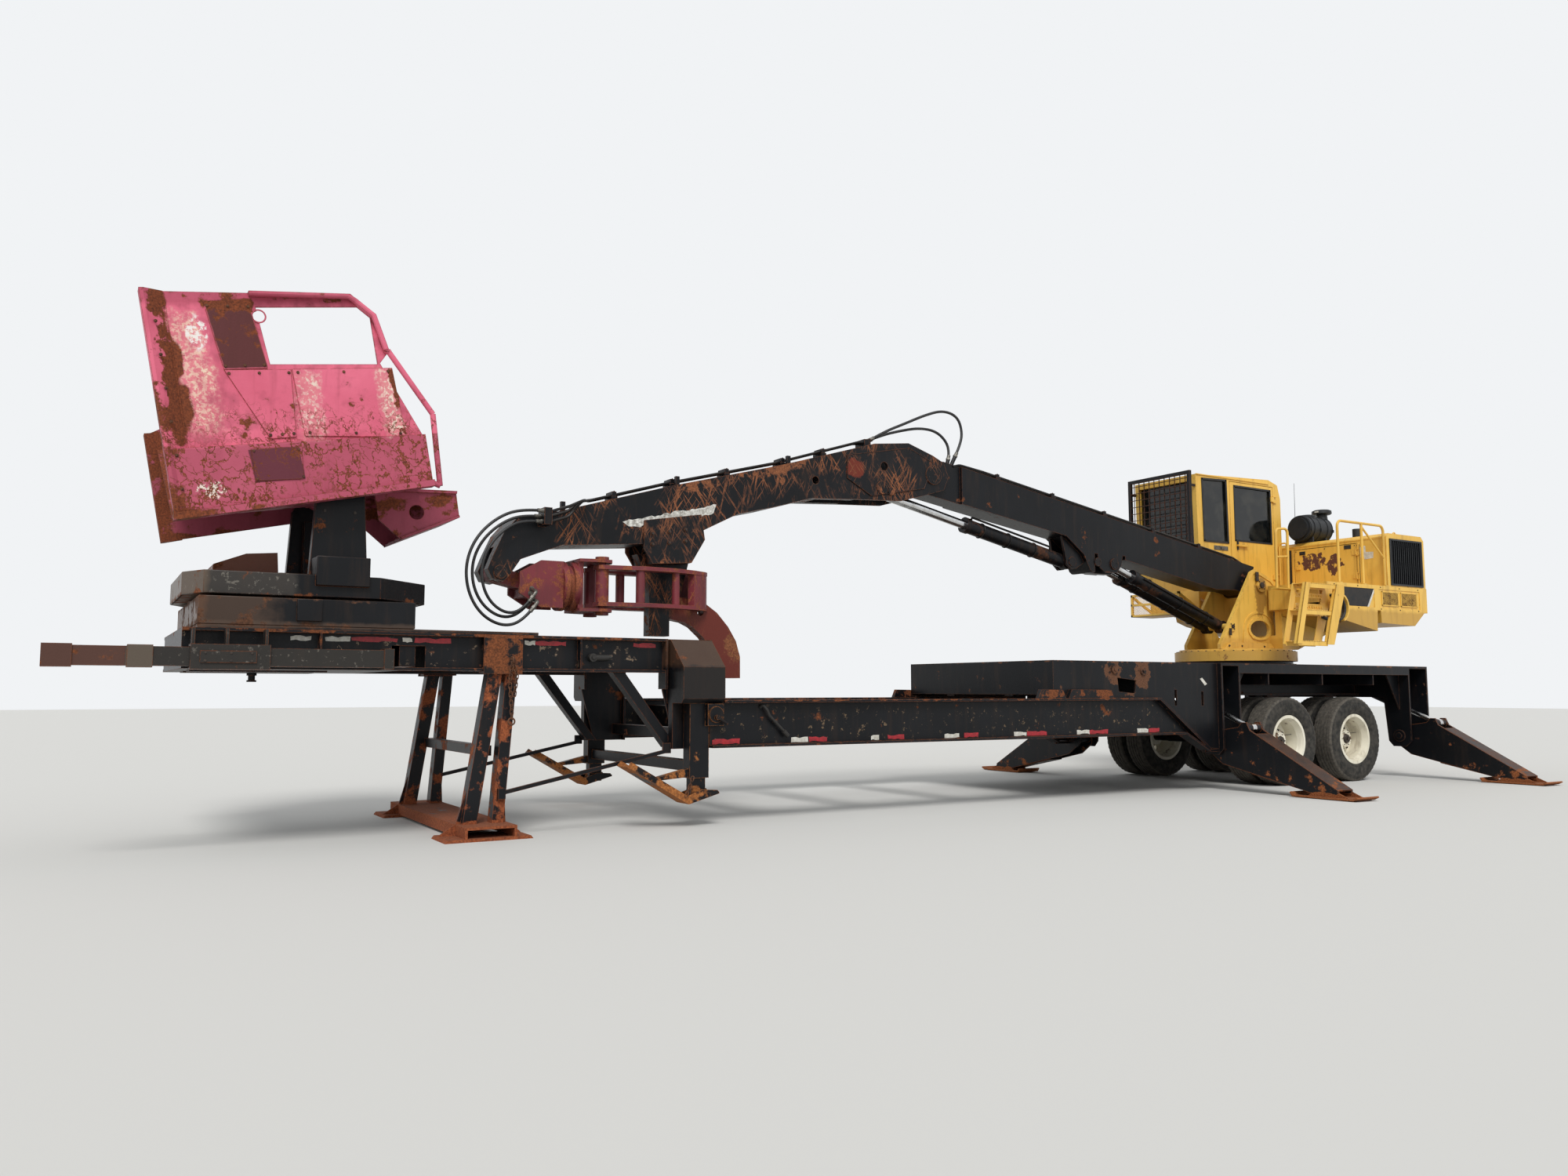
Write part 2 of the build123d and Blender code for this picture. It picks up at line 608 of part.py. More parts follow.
def outrigger_arm(x, side):
    """Tapered box arm, open at its root, with pivot tube, rod bosses and foot pad."""
    half = arm_width / 2
    root = [(1010.0, 640.0), (1150.0, 675.0), (1420.0, 720.0), (1470.0, 775.0), (1530.0, 775.0),
            (1570.0, 690.0), (2600.0, 100.0), (2600.0, 52.0), (2300.0, 52.0), (1200.0, 300.0),
            (1010.0, 440.0)]
    with BuildPart() as arm:
        for y in ((-half, -half + arm_plate), (half - arm_plate, half)):
            end_prism([(side * a, b) for a, b in root], (x + y[0], x + y[1]))
            inside = half - arm_plate if y[0] > 0 else -half + arm_plate
            boss = 1 if y[0] > 0 else -1
            round_x((x + boss * (eye_half + seat_gap), x + inside), side * arm_lug_y, arm_lug_z, eye_radius)
        # closed outer box: top, bottom and end plates
        inner = (x - half + arm_plate - 1, x + half - arm_plate + 1)
        end_prism([(side * 1640, 652.0), (side * 2600, 100.0), (side * 2592, 86.0), (side * 1632, 638.0)],
                  inner)
        end_prism([(side * 1560, 204.0), (side * 2300, 52.0), (side * 2304, 70.0), (side * 1560, 222.0)],
                  inner)
        end_prism([(side * 1560, 204.0), (side * 1576, 204.0), (side * 1576, 330.0), (side * 1560, 330.0)],
                  inner)
        round_x((x - half, x + half), side * arm_pivot_y, arm_pivot_z, 88)
        round_x((x - half - 1, x + half + 1), side * arm_pivot_y, arm_pivot_z,
                pin_radius + bearing_gap, mode=Mode.SUBTRACT)
        # foot pad with turned-up ends
        pad = [(side * 2080, foot_lift + 40), (side * 2110, foot_lift), (side * 2800, foot_lift),
               (side * 2850, foot_lift + 26), (side * 2840, foot_lift + 40), (side * 2790, foot_lift + 16),
               (side * 2120, foot_lift + 16), (side * 2092, foot_lift + 50)]
        end_prism(pad, (x - 190, x + 190))
        for edge in (-half, half - 16):
            end_prism([(side * 2250, foot_lift + 15), (side * 2350, 80.0), (side * 2590, 80.0),
                       (side * 2720, foot_lift + 15)], (x + edge, x + edge + 16))
    return arm.part


def outrigger_rod(x, side):
    """Bright cylinder rod with its eye between the arm's bosses."""
    full = hypot(arm_lug_y - barrel_foot[0], arm_lug_z - barrel_foot[1])
    with BuildPart() as rod:
        bar(rod_line(barrel_length - 95, side, x), rod_line(full - 20, side, x), rod_radius)
        round_x((x - eye_half, x + eye_half), side * arm_lug_y, arm_lug_z, eye_radius)
    return rod.part


def swing_bearing():
    """Black slewing ring on the deck, with its bolt flange."""
    with BuildPart() as ring:
        round_z(swing_x, 0, (deck_z[1], ring_z[0] - 5), bearing_radius)
        round_z(swing_x, 0, (deck_z[1], deck_z[1] + 18), bearing_radius + 60)
        round_z(swing_x, 0, (ring_z[0] - 6, ring_z[0] - seat_gap), 560)
        round_z(swing_x, 0, (deck_z[1] - 1, ring_z[0]), 320, mode=Mode.SUBTRACT)
    return ring.part


def upper_base():
    """Turntable drum, twin mast plates with obround windows, pins and frame beams."""
    x0, z0 = boom_pin
    low, high = ring_z
    inner, outer = mast_half_y - mast_plate, mast_half_y
    with BuildPart() as base:
        round_z(swing_x, 0, (low, high - 30), ring_radius)
        round_z(swing_x, 0, (high - 30, high), ring_radius - 60)
        round_z(swing_x, 0, (low - 1, high - 40), 320, mode=Mode.SUBTRACT)
        for side in (-1, 1):
            y = (side * inner, side * outer)
            outline = [(4690.0, high), (4690.0, 1720.0), (5360.0, 2680.0), (5440.0, 2715.0), (5760.0, 2600.0),
                       (5820.0, 2550.0), (5770.0, 1750.0), (5800.0, high)]
            side_prism(outline, y)
            round_y(x0, y, z0, 165)
            with BuildSketch(Plane.XZ.offset(-max(y))) as window:
                with Locations((5490.0, 1930.0)):
                    SlotOverall(410, 235)
            extrude(window.sketch, amount=mast_plate, mode=Mode.SUBTRACT)
            # rolled rim round the window
            with BuildSketch(Plane.XZ.offset(-max(side * outer, side * (outer + 14)))) as rim:
                with Locations((5490.0, 1930.0)):
                    SlotOverall(450, 275)
                    SlotOverall(410, 235, mode=Mode.SUBTRACT)
            extrude(rim.sketch, amount=14)
            round_y(x0, (side * outer, side * (outer + 26)), z0, 90)
            round_y(hoist_foot[0], (side * outer, side * (outer + 20)), hoist_foot[1], 62)
            # foot gusset on the turntable
            side_prism([(4760.0, high - 1), (5740.0, high - 1), (5640.0, 1745.0), (4880.0, 1745.0)],
                       (side * outer, side * (outer + 60)))
            # frame beams that carry the platform
            side_prism([(5700.0, high - 1), (6020.0, 1665.0), (6700.0, 1900.0), (7500.0, 1960.0),
                        (7500.0, 2169.7), (5700.0, 2169.7)], (side * 360, side * 460))
        side_prism([(5760.0, high - 1), (6020.0, 1665.0), (6200.0, 1730.0), (6200.0, 1790.0),
                    (5760.0, 1760.0)], (-361.0, 361.0))
        block((5700.0, 5730.0), (-361.0, 361.0), (high - 1, 1850.0))
        round_y(x0, (-outer, outer), z0, 62)
        round_y(hoist_foot[0], (-outer, outer), hoist_foot[1], 42)
    return base.part


def platform():
    """Rotating platform: deck band, near-side tank box with vents, sloped undersides and side box."""
    z0, z1 = platform_z
    x0, x1 = platform_x
    near, far = platform_y
    with BuildPart() as deck:
        block((x0, x1), (near, far), (z0, z1))
        # lower boxes on each side of the frame beams
        for y in ((near, -470.0), (470.0, far)):
            side_prism([(5680.0, z0 + 1), (5700.0, 2100.0), (5900.0, 2040.0), (6700.0, 1900.0), (6720.0, z0 + 1)], y)
            side_prism([(6790.0, z0 + 1), (6800.0, 2010.0), (7560.0, 1990.0), (7800.0, z0 + 1)], y)
        block((x0 - 1, 5840.0), (-305.0, 305.0), (z0 - 1, z1 + 1), mode=Mode.SUBTRACT)
        # cab sill ahead of the platform
        block((5190.0, x0 + 1), (cab_y[0], far), (2380.0, z1))
        side_prism([(5190.0, 2381.0), (x0 + 1, 2381.0), (x0 + 1, 2200.0)], (cab_y[0], cab_y[0] + 60))
        side_prism([(5190.0, 2381.0), (x0 + 1, 2381.0), (x0 + 1, 2200.0)], (far - 60, far))
        # recessed name-panel strip left bare and the two mesh vents
        block((5760.0, 6660.0), (near - 1, near + 8), (2210.0, 2450.0), mode=Mode.SUBTRACT)
        block((6760.0, 7700.0), (near - 1, near + 8), (2210.0, 2450.0), mode=Mode.SUBTRACT)
        for x in ((5860.0, 6120.0), (7440.0, 7640.0)):
            block(x, (near, near + 40), (2250.0, 2410.0), mode=Mode.SUBTRACT)
        # valve box ahead of the near half
        block((5625.0, x0 + 1), (-700.0, -330.0), (2180.0, 2440.0))
    return deck.part


def engine_house():
    """Transverse hood over the engine: sheet front, roof, rear and far end."""
    x0, x1 = house_x
    y0, y1 = platform_y[0] + 10, platform_y[1]
    z0, z1 = house_z
    with BuildPart() as house:
        hood = [(x0, z0), (x0, z1 - 40), (x0 + 40, z1), (x1 - 60, z1), (x1, z1 - 60), (x1, z0)]
        inside = [(x0 + sheet, z0 - 1), (x0 + sheet, z1 - 46), (x0 + 46, z1 - sheet), (x1 - 66, z1 - sheet),
                  (x1 - sheet, z1 - 66), (x1 - sheet, z0 - 1)]
        side_prism(hood, (y0, y1))
        side_prism(inside, (y0 + sheet, y1 - sheet), mode=Mode.SUBTRACT)
        block((x0 + 60, x1 - 60), (y0 - 1, y0 + sheet + 1), (z0 + 16, z1 - 70), mode=Mode.SUBTRACT)
        block((x0 - 1, x0 + sheet + 1), (-720.0, 220.0), (z0 + 40, z1 - 90), mode=Mode.SUBTRACT)
        # ribbed cooling vents in the tail and the far end
        for k in range(9):
            block((x1 - sheet - 1, x1 + 1), (-700.0 + 170 * k, -580.0 + 170 * k), (2700.0, 3000.0),
                  mode=Mode.SUBTRACT)
        for k in range(6):
            block((x0 + 120 + 110 * k, x0 + 190 + 110 * k), (y1 - sheet - 1, y1 + 1), (2650.0, 3050.0),
                  mode=Mode.SUBTRACT)
        for z in hood_hinge_z:
            round_z(x0 - 9, hood_hinge_y, (z - 12, z + hinge_length + 12), 4)
            for low in (z - 12, z + hinge_length + 0.5):
                block((x0 - 14, x0 + 1), (hood_hinge_y - 40, hood_hinge_y + 4), (low, low + 11.5))
        # post under the roof beside the grille
        block((x0 + sheet - 1, x0 + 60), (y0 + sheet - 1, y0 + 60), (z0, z1 - 60))
        block((x1 - 60, x1 - sheet + 1), (y0 + sheet - 1, y0 + 60), (z0, z1 - 80))
    return house.part


def engine_door():
    """Service door in the hood's front face, with hinges and a latch."""
    x0 = house_x[0]
    z0, z1 = house_z
    y0, y1 = -720.0 + door_gap, 220.0 - door_gap
    with BuildPart() as door:
        block((x0, x0 + sheet), (y0, y1), (z0 + 40 + door_gap, z1 - 90 - door_gap))
        block((x0 + sheet, x0 + sheet + 12), (y0 + 60, y1 - 60), (z0 + 110, z1 - 160))
        for z in hood_hinge_z:
            round_z(x0 - 9, hood_hinge_y, (z, z + hinge_length), 8.5)
            block((x0 - 7, x0 + 1), (hood_hinge_y + 5, y0 + 60), (z, z + hinge_length))
            round_z(x0 - 9, hood_hinge_y, (z - 1, z + hinge_length + 1), 4 + bearing_gap,
                    mode=Mode.SUBTRACT)
        block((x0 - 14, x0), (y1 - 90, y1 - 30), (2830.0, 2870.0))
    return door.part


def radiator_grille():
    """Near-end radiator: core, frame and upright louvres."""
    x0, x1 = house_x[0] + 60 + seat_gap, house_x[1] - 60 - seat_gap
    z0, z1 = house_z[0] + 16 + seat_gap, house_z[1] - 70 - seat_gap
    y = platform_y[0] + 10
    louvres = 15
    pitch = (x1 - x0 - 50) / louvres
    with BuildPart() as grille:
        block((x0 + 5, x1 - 5), (y + 70, y + 150), (z0, z1 - 10))
        for x in ((x0, x0 + 25), (x1 - 25, x1)):
            block(x, (y - 12, y + 71), (z0, z1))
        for z in ((z0, z0 + 22), (z1 - 22, z1)):
            block((x0, x1), (y - 12, y + 71), z)
        for k in range(louvres):
            x = x0 + 25 + (k + 0.5) * pitch
            plan_prism([(x - 4, y - 10), (x + 6, y - 10), (x + 22, y + 30), (x + 12, y + 30)],
                       (z0 + 21, z1 - 21))
    return grille.part


def engine_block():
    with BuildPart() as engine:
        block((7150.0, 7720.0), (-700.0, 650.0), (platform_z[1] + seat_gap, 3120.0))
    return engine.part


def air_cleaner():
    """Horizontal filter canister on the hood with bands, end cap and rain cap."""
    y, z = 100.0, 3415.0
    with BuildPart() as cleaner:
        round_x((6960.0, 7480.0), y, z, 180)
        round_x((6930.0, 6961.0), y, z, 150)
        round_x((7479.0, 7530.0), y, z, 150)
        for x in (7060.0, 7360.0):
            round_x((x, x + 30), y, z, 188)
            block((x, x + 30), (y - 140, y + 140), (house_z[1] + seat_gap, z - 110))
        round_z(7150.0, y, (z + 150, 3560.0), 75)
        round_z(7150.0, y, (3545.0, 3600.0), 120)
        round_z(7620.0, -350.0, (house_z[1] + seat_gap, 3400.0), 60)
    return cleaner.part


def handrails():
    """Walkway rails on the near edge and the small rail between cab and hood."""
    y = platform_y[0] + 30
    z = platform_z[1] + seat_gap
    top = 3300.0
    radius = 17.0
    with BuildPart() as rails:
        pipe_run([(5960.0, y, z), (5960.0, y, top), (6965.0, y, top), (6965.0, y, z)], radius, 80)
        bar((6480.0, y, z), (6480.0, y, top), radius)
        bar((6480.0, y, top - 40), (6950.0, y, z + 380), 13)
        pipe_run([(6890.0, 255.0, z), (6890.0, 255.0, 3220.0), (6890.0, 375.0, 3220.0), (6890.0, 375.0, z)],
                 12, 40)
        for x, foot_y in ((5960.0, y), (6480.0, y), (6965.0, y), (6890.0, 255.0), (6890.0, 362.0)):
            block((x - 30, x + 30), (foot_y - 30, foot_y + 30), (z, z + 10))
    return rails.part


def ladder():
    """Boarding ladder on the near side: sloped plate cheeks, folded treads and a top landing."""
    y0, y1 = -1350.0, -1160.0
    cheek_foot, cheek_top, rise = 4707.0, 5260.0, (1690.0, 2440.0)
    with BuildPart() as steps:
        for y in ((y0, y0 + 12), (y1 - 12, y1)):
            side_prism([(cheek_foot, rise[0]), (cheek_foot + 130, rise[0]), (5050.0, 2100.0), (5100.0, 2100.0),
                        (5356.0, rise[0]), (5430.0, rise[0]), (5696.0, 2300.0), (5696.0, rise[1]),
                        (4751.0, rise[1]), (4751.0, 2300.0), (4900.0, 2280.0), (4860.0, 2100.0)], y)
        # x from and to, and height of each tread
        for x, z in (((4740.0, 5400.0), 1700.0), ((4870.0, 5560.0), 2079.0), ((4751.0, 5696.0), 2407.0)):
            block(x, (y0 + 11, y1 - 11), (z, z + 24))
        block((5400.0, platform_x[0] - seat_gap), (y1 - 1, platform_y[0] + 200), (2407.0, 2431.0))
        block((5450.0, platform_x[0] - seat_gap), (y1 - 1, platform_y[0] + 160), (2200.0, 2230.0))
        block((5450.0, 5470.0), (y1 - 1, platform_y[0] + 160), (2200.0, 2431.0))
        block((platform_x[0] - 20, platform_x[0] - seat_gap), (y1 - 1, platform_y[0] + 160), (2200.0, 2431.0))
    return steps.part


def cab_shell():
    """Cab body with its floor, roof, pillars and window openings."""
    x0, x1 = cab_x
    y0, y1 = cab_y
    w = cab_wall
    front, rear = cab_roof_z
    with BuildPart() as cab:
        outline = [(x0 + 40, cab_floor_z), (x0, front), (x1 - 260, rear), (x1 - 60, rear - 60),
                   (x1, rear - 260), (x1, cab_floor_z)]
        inside = [(x0 + 40 + w, cab_floor_z + w), (x0 + w, front - w), (x1 - 270, rear - w),
                  (x1 - 80, rear - 100), (x1 - w, rear - 270), (x1 - w, cab_floor_z + w)]
        side_prism(outline, (y0, y1))
        side_prism(inside, (y0 + w, y1 - w), mode=Mode.SUBTRACT)
        block((x0 - 10, x0 + 120), (y0 + 70, y1 - 70), (2900.0, 3990.0), mode=Mode.SUBTRACT)
        for y in ((y0 - 1, y0 + w + 1), (y1 - w - 1, y1 + 1)):
            side_prism(cab_side_window(0), y, mode=Mode.SUBTRACT)
        block((5950.0, 6765.0), (y1 - w - 1, y1 + 1), (3200.0, 4030.0), mode=Mode.SUBTRACT)
        block((x1 - w - 1, x1 + 1), (y0 + 150, y1 - 150), (3250.0, 3850.0), mode=Mode.SUBTRACT)
        block((door_x[0] - door_gap, door_x[1] + door_gap), (y0 - 1, y0 + w + 1),
              (door_z[0] - door_gap, door_z[1] + door_gap), mode=Mode.SUBTRACT)
        round_z(6000.0, 925.0, (front + 15, front + 85), 55)
        # hinge ears and pins of the door
        x, y = door_hinge
        for z in door_hinge_z:
            round_z(x, y, (z - 14, z + hinge_length + 14), 7)
            for low in (z - 14, z + hinge_length + 0.5):
                block((x + 6, x + 60), (y - 8, y0 + 1), (low, low + 13.5))
                round_z(x, y, (low, low + 13.5), 12)
        # control consoles stand on the floor behind the front window
        block((5330.0, 5480.0), (700.0, 1150.0), (cab_floor_z + w - 1, 3020.0))
    return cab.part


def cab_side_window(inset):
    """Outline of the side window ahead of the door, shrunk by an inset."""
    return [(5293.0 + inset, 3152.0 + inset), (5275.0 + inset, 4030.0 - inset), (5800.0 - inset, 4048.0 - inset),
            (5815.0 - inset, 3152.0 + inset)]


def cab_glass():
    """Fixed panes in the middle of the side, rear and far walls."""
    x1 = cab_x[1]
    y0, y1 = cab_y
    middle = cab_wall / 2
    with BuildPart() as panes:
        for y in (y0 + middle, y1 - middle):
            side_prism(cab_side_window(seat_gap), (y - 3, y + 3))
        block((5950.3, 6764.7), (y1 - middle - 3, y1 - middle + 3), (3200.3, 4029.7))
        block((x1 - middle - 3, x1 - middle + 3), (y0 + 150.3, y1 - 150.3), (3250.3, 3849.7))
        side_prism([(cab_x[0] + 52.0, 2900.3), (cab_x[0] + 58.0, 2900.3), (cab_x[0] + 58.0, 3989.7),
                    (cab_x[0] + 52.0, 3989.7)], (y0 + 70.3, y1 - 70.3))
    return panes.part


def cab_door():
    """Door with a tall window and an outside handle; it hangs on its rear edge."""
    y0 = cab_y[0]
    with BuildPart() as door:
        block(door_x, (y0, y0 + cab_wall - 5), door_z)
        block((door_x[0] + 80, door_x[1] - 45), (y0 - 1, y0 + cab_wall), (3200.0, door_z[1] - 40),
              mode=Mode.SUBTRACT)
        block((door_x[0] + 70, door_x[1] - 70), (y0 + 25, y0 + cab_wall), (door_z[0] + 60, 3120.0),
              mode=Mode.SUBTRACT)
        x, y = door_hinge
        for z in door_hinge_z:
            round_z(x, y, (z, z + hinge_length), 12)
            block((x - 60, x), (y - 6, y0 + 1), (z, z + hinge_length))
            round_z(x, y, (z - 1, z + hinge_length + 1), 7 + bearing_gap, mode=Mode.SUBTRACT)
        block((5974.0, 6194.0), (y0 - 36, y0 - 16), (3128.0, 3152.0))
        for x in (5980.0, 6170.0):
            block((x, x + 18), (y0 - 17, y0 + 1), (3130.0, 3150.0))
    return door.part


def door_glass():
    y = cab_y[0] + 18
    with BuildPart() as pane:
        block((door_x[0] + 80 + seat_gap, door_x[1] - 45 - seat_gap), (y, y + 6),
              (3200.0 + seat_gap, door_z[1] - 40 - seat_gap))
    return pane.part


def cab_guard():
    """Welded bar guard standing off the cab's front, on stubs."""
    x = cab_x[0] - 90
    y0, y1 = cab_y[0] - 10, cab_y[1] + 10
    z0, z1 = 2760.0, 4110.0
    rail = 45.0
    rows, columns = 13, 11
    with BuildPart() as guard:
        for z in (z0, z1 - rail):
            block((x - rail, x), (y0, y1), (z, z + rail))
        for y in (y0, y1 - rail):
            block((x - rail, x), (y, y + rail), (z0, z1))
            for z in (3000.0, 3900.0):
                front = cab_x[0] + 40 * (cab_roof_z[0] - z - 30) / (cab_roof_z[0] - cab_floor_z)
                block((x - 1, front - seat_gap), (y + 15, y + rail), (z, z + 30))
        for k in range(1, rows + 1):
            z = z0 + k * (z1 - z0) / (rows + 1)
            block((x - 30, x - 21), (y0 + rail - 1, y1 - rail + 1), (z - 4.5, z + 4.5))
        for k in range(1, columns + 1):
            y = y0 + k * (y1 - y0) / (columns + 1)
            block((x - 22, x - 13), (y - 4.5, y + 4.5), (z0 + rail - 1, z1 - rail + 1))
    return guard.part


def cab_seat():
    """Operator's seat with pedestal, cushion, backrest and armrest consoles."""
    floor = cab_floor_z + cab_wall + seat_gap
    with BuildPart() as seat:
        block((6080.0, 6420.0), (780.0, 1060.0), (floor, floor + 300))
        block((5980.0, 6480.0), (670.0, 1170.0), (floor + 299, floor + 420))
        side_prism([(6400.0, floor + 419), (6500.0, floor + 1120), (6590.0, floor + 1120),
                    (6520.0, floor + 400)], (690.0, 1150.0))
        for y in (580.0, 1190.0):
            block((6020.0, 6430.0), (y, y + 70), (floor, floor + 560))
    return seat.part


def cab_step():
    """Mesh-floored landing ahead of the cab's sill, with its front guard sheet."""
    with BuildPart() as step:
        block((4760.0, 5190.0 - seat_gap), (cab_y[0], 1230.0), (2140.0, 2165.0))
        block((5160.0, 5190.0 - seat_gap), (cab_y[0], 1230.0), (2164.0, 2480.0))
        block((4760.0, 4785.0), (cab_y[0], 1230.0), (2164.0, 2450.0))
        block((4760.0, 5190.0 - seat_gap), (cab_y[0], cab_y[0] + 14), (2164.0, 2300.0))
    return step.part


def boom():
    """Main boom: tapered box with a foot boss, lower lug block and narrow knuckle end."""
    x0, z0 = boom_pin
    xk, zk = knuckle
    half = boom_half_y
    with BuildPart() as arm:
        outline = [
            (5560.0, 2765.0), (730.0, 3570.0), (330.0, 3640.0), (xk, zk + 165), (xk - 120, zk + 110),
            (xk - 165, zk), (xk - 130, zk - 120), (0.0, 3270.0), (2140.0, 2940.0), (2420.0, 2740.0),
            (2520.0, 2560.0), (2560.0, 2535.0), (2980.0, 2535.0), (3090.0, 2720.0), (4790.0, 2430.0),
            (5180.0, 2440.0), (5440.0, 2395.0),
        ]
        side_prism(outline, (-half, half))
        round_y(x0, (-229.0, 229.0), z0, 140)
        round_y(xk, (-half, half), zk, 165)
        # the knuckle end is narrower, to turn between the stick's plates
        for side in (-1, 1):
            y = (side * boom_knuckle_half_y, side * (half + 1))
            block((xk - 400, 560.0), y, (3000.0, 3800.0), mode=Mode.SUBTRACT)
        for side in (-1, 1):
            ear = [(2120.0, 2945.0), (2190.0, 2620.0), (2260.0, 2560.0), (2340.0, 2570.0), (2560.0, 2700.0)]
            side_prism(ear, (side * 86, side * 116))
            round_y(stick_foot_pin[0], (side * (50 + seat_gap), side * 124), stick_foot_pin[1], 58)
        round_y(stick_foot_pin[0], (-58.0, 58.0), stick_foot_pin[1], 40)
        # tongue between the two hoist rods' eyes
        for side in (-1, 1):
            block((2600.0, 3120.0), (side * 58, side * (half + 1)), (2500.0, 2760.0), mode=Mode.SUBTRACT)
            side_prism([(2640.0, 2800.0), (2680.0, 2600.0), (2770.0, 2545.0), (2970.0, 2545.0),
                        (3050.0, 2640.0), (3080.0, 2770.0)], (side * 151, side * half))
            round_y(hoist_eye[0], (side * half, side * (half + 16)), hoist_eye[1], 66)
            round_y(2640.0, (side * half, side * (half + 12)), 2660.0, 52)
        round_y(x0, (-230.0, 230.0), z0, 62 + bearing_gap, mode=Mode.SUBTRACT)
        round_y(xk, (-half, half), zk, 60 + bearing_gap, mode=Mode.SUBTRACT)
        # bulkhead fittings of the supply hoses on the knuckle's top
        for points in knuckle_hoses:
            hose_stub(points[-1], points[-2], knuckle_hose_radius, 130)
    return arm.part


def between(start, end, length):
    """The (x, z) point at a length from start towards end."""
    full = hypot(end[0] - start[0], end[1] - start[1])
    return (start[0] + (end[0] - start[0]) * length / full, start[1] + (end[1] - start[1]) * length / full)


def cylinder_barrel(start, end, length, radius, y, eye, bore):
    """A cylinder's barrel with its foot eye, gland ring and bore, in a plane of constant y."""
    first, last = between(start, end, eye - 12), between(start, end, length)
    gland = between(start, end, length - 60)
    mouth, bottom = between(start, end, length + 10), between(start, end, eye + 60)
    bar((first[0], y, first[1]), (last[0], y, last[1]), radius)
    bar((gland[0], y, gland[1]), (last[0], y, last[1]), radius + 10)
    round_y(start[0], (y - 50, y + 50), start[1], eye)
    bar((bottom[0], y, bottom[1]), (mouth[0], y, mouth[1]), bore, mode=Mode.SUBTRACT)


def hoist_barrels():
    """Pair of hoist barrels that turn on the mast's lower pin."""
    with BuildPart() as barrels:
        for side in (-1, 1):
            y = side * hoist_y
            cylinder_barrel(hoist_foot, hoist_eye, hoist_barrel_length, 76, y, 80,
                            hoist_rod_radius + bearing_gap)
            round_y(hoist_foot[0], (y - 60, y + 60), hoist_foot[1], 42 + bearing_gap, mode=Mode.SUBTRACT)
    return barrels.part


def hoist_rods():
    """Pair of hoist rods with their eyes beside the boom's tongue."""
    with BuildPart() as rods:
        for side in (-1, 1):
            y = side * hoist_y
            tail = between(hoist_foot, hoist_eye, 950)
            last = between(hoist_foot, hoist_eye, 2100)
            bar((tail[0], y, tail[1]), (last[0], y, last[1]), hoist_rod_radius)
            round_y(hoist_eye[0], (side * (58 + seat_gap), side * (151 - seat_gap)), hoist_eye[1], 72)
    return rods.part


def stick_barrel():
    """Stick cylinder's barrel; its foot eye turns on the pin in the boom's lugs."""
    with BuildPart() as barrel:
        cylinder_barrel(stick_foot_pin, stick_rod_pin, stick_barrel_length, 80, 0.0, 84,
                        stick_rod_radius + bearing_gap)
        round_y(stick_foot_pin[0], (-60.0, 60.0), stick_foot_pin[1], 40 + bearing_gap, mode=Mode.SUBTRACT)
    return barrel.part


def stick_rod():
    """Stick cylinder's rod with its eye between the stick's fork plates."""
    with BuildPart() as rod:
        tail = between(stick_foot_pin, stick_rod_pin, 1300)
        last = between(stick_foot_pin, stick_rod_pin, 2870)
        bar((tail[0], 0.0, tail[1]), (last[0], 0.0, last[1]), stick_rod_radius)
        round_y(stick_rod_pin[0], (-70.0, 70.0), stick_rod_pin[1], 84)
    return rod.part


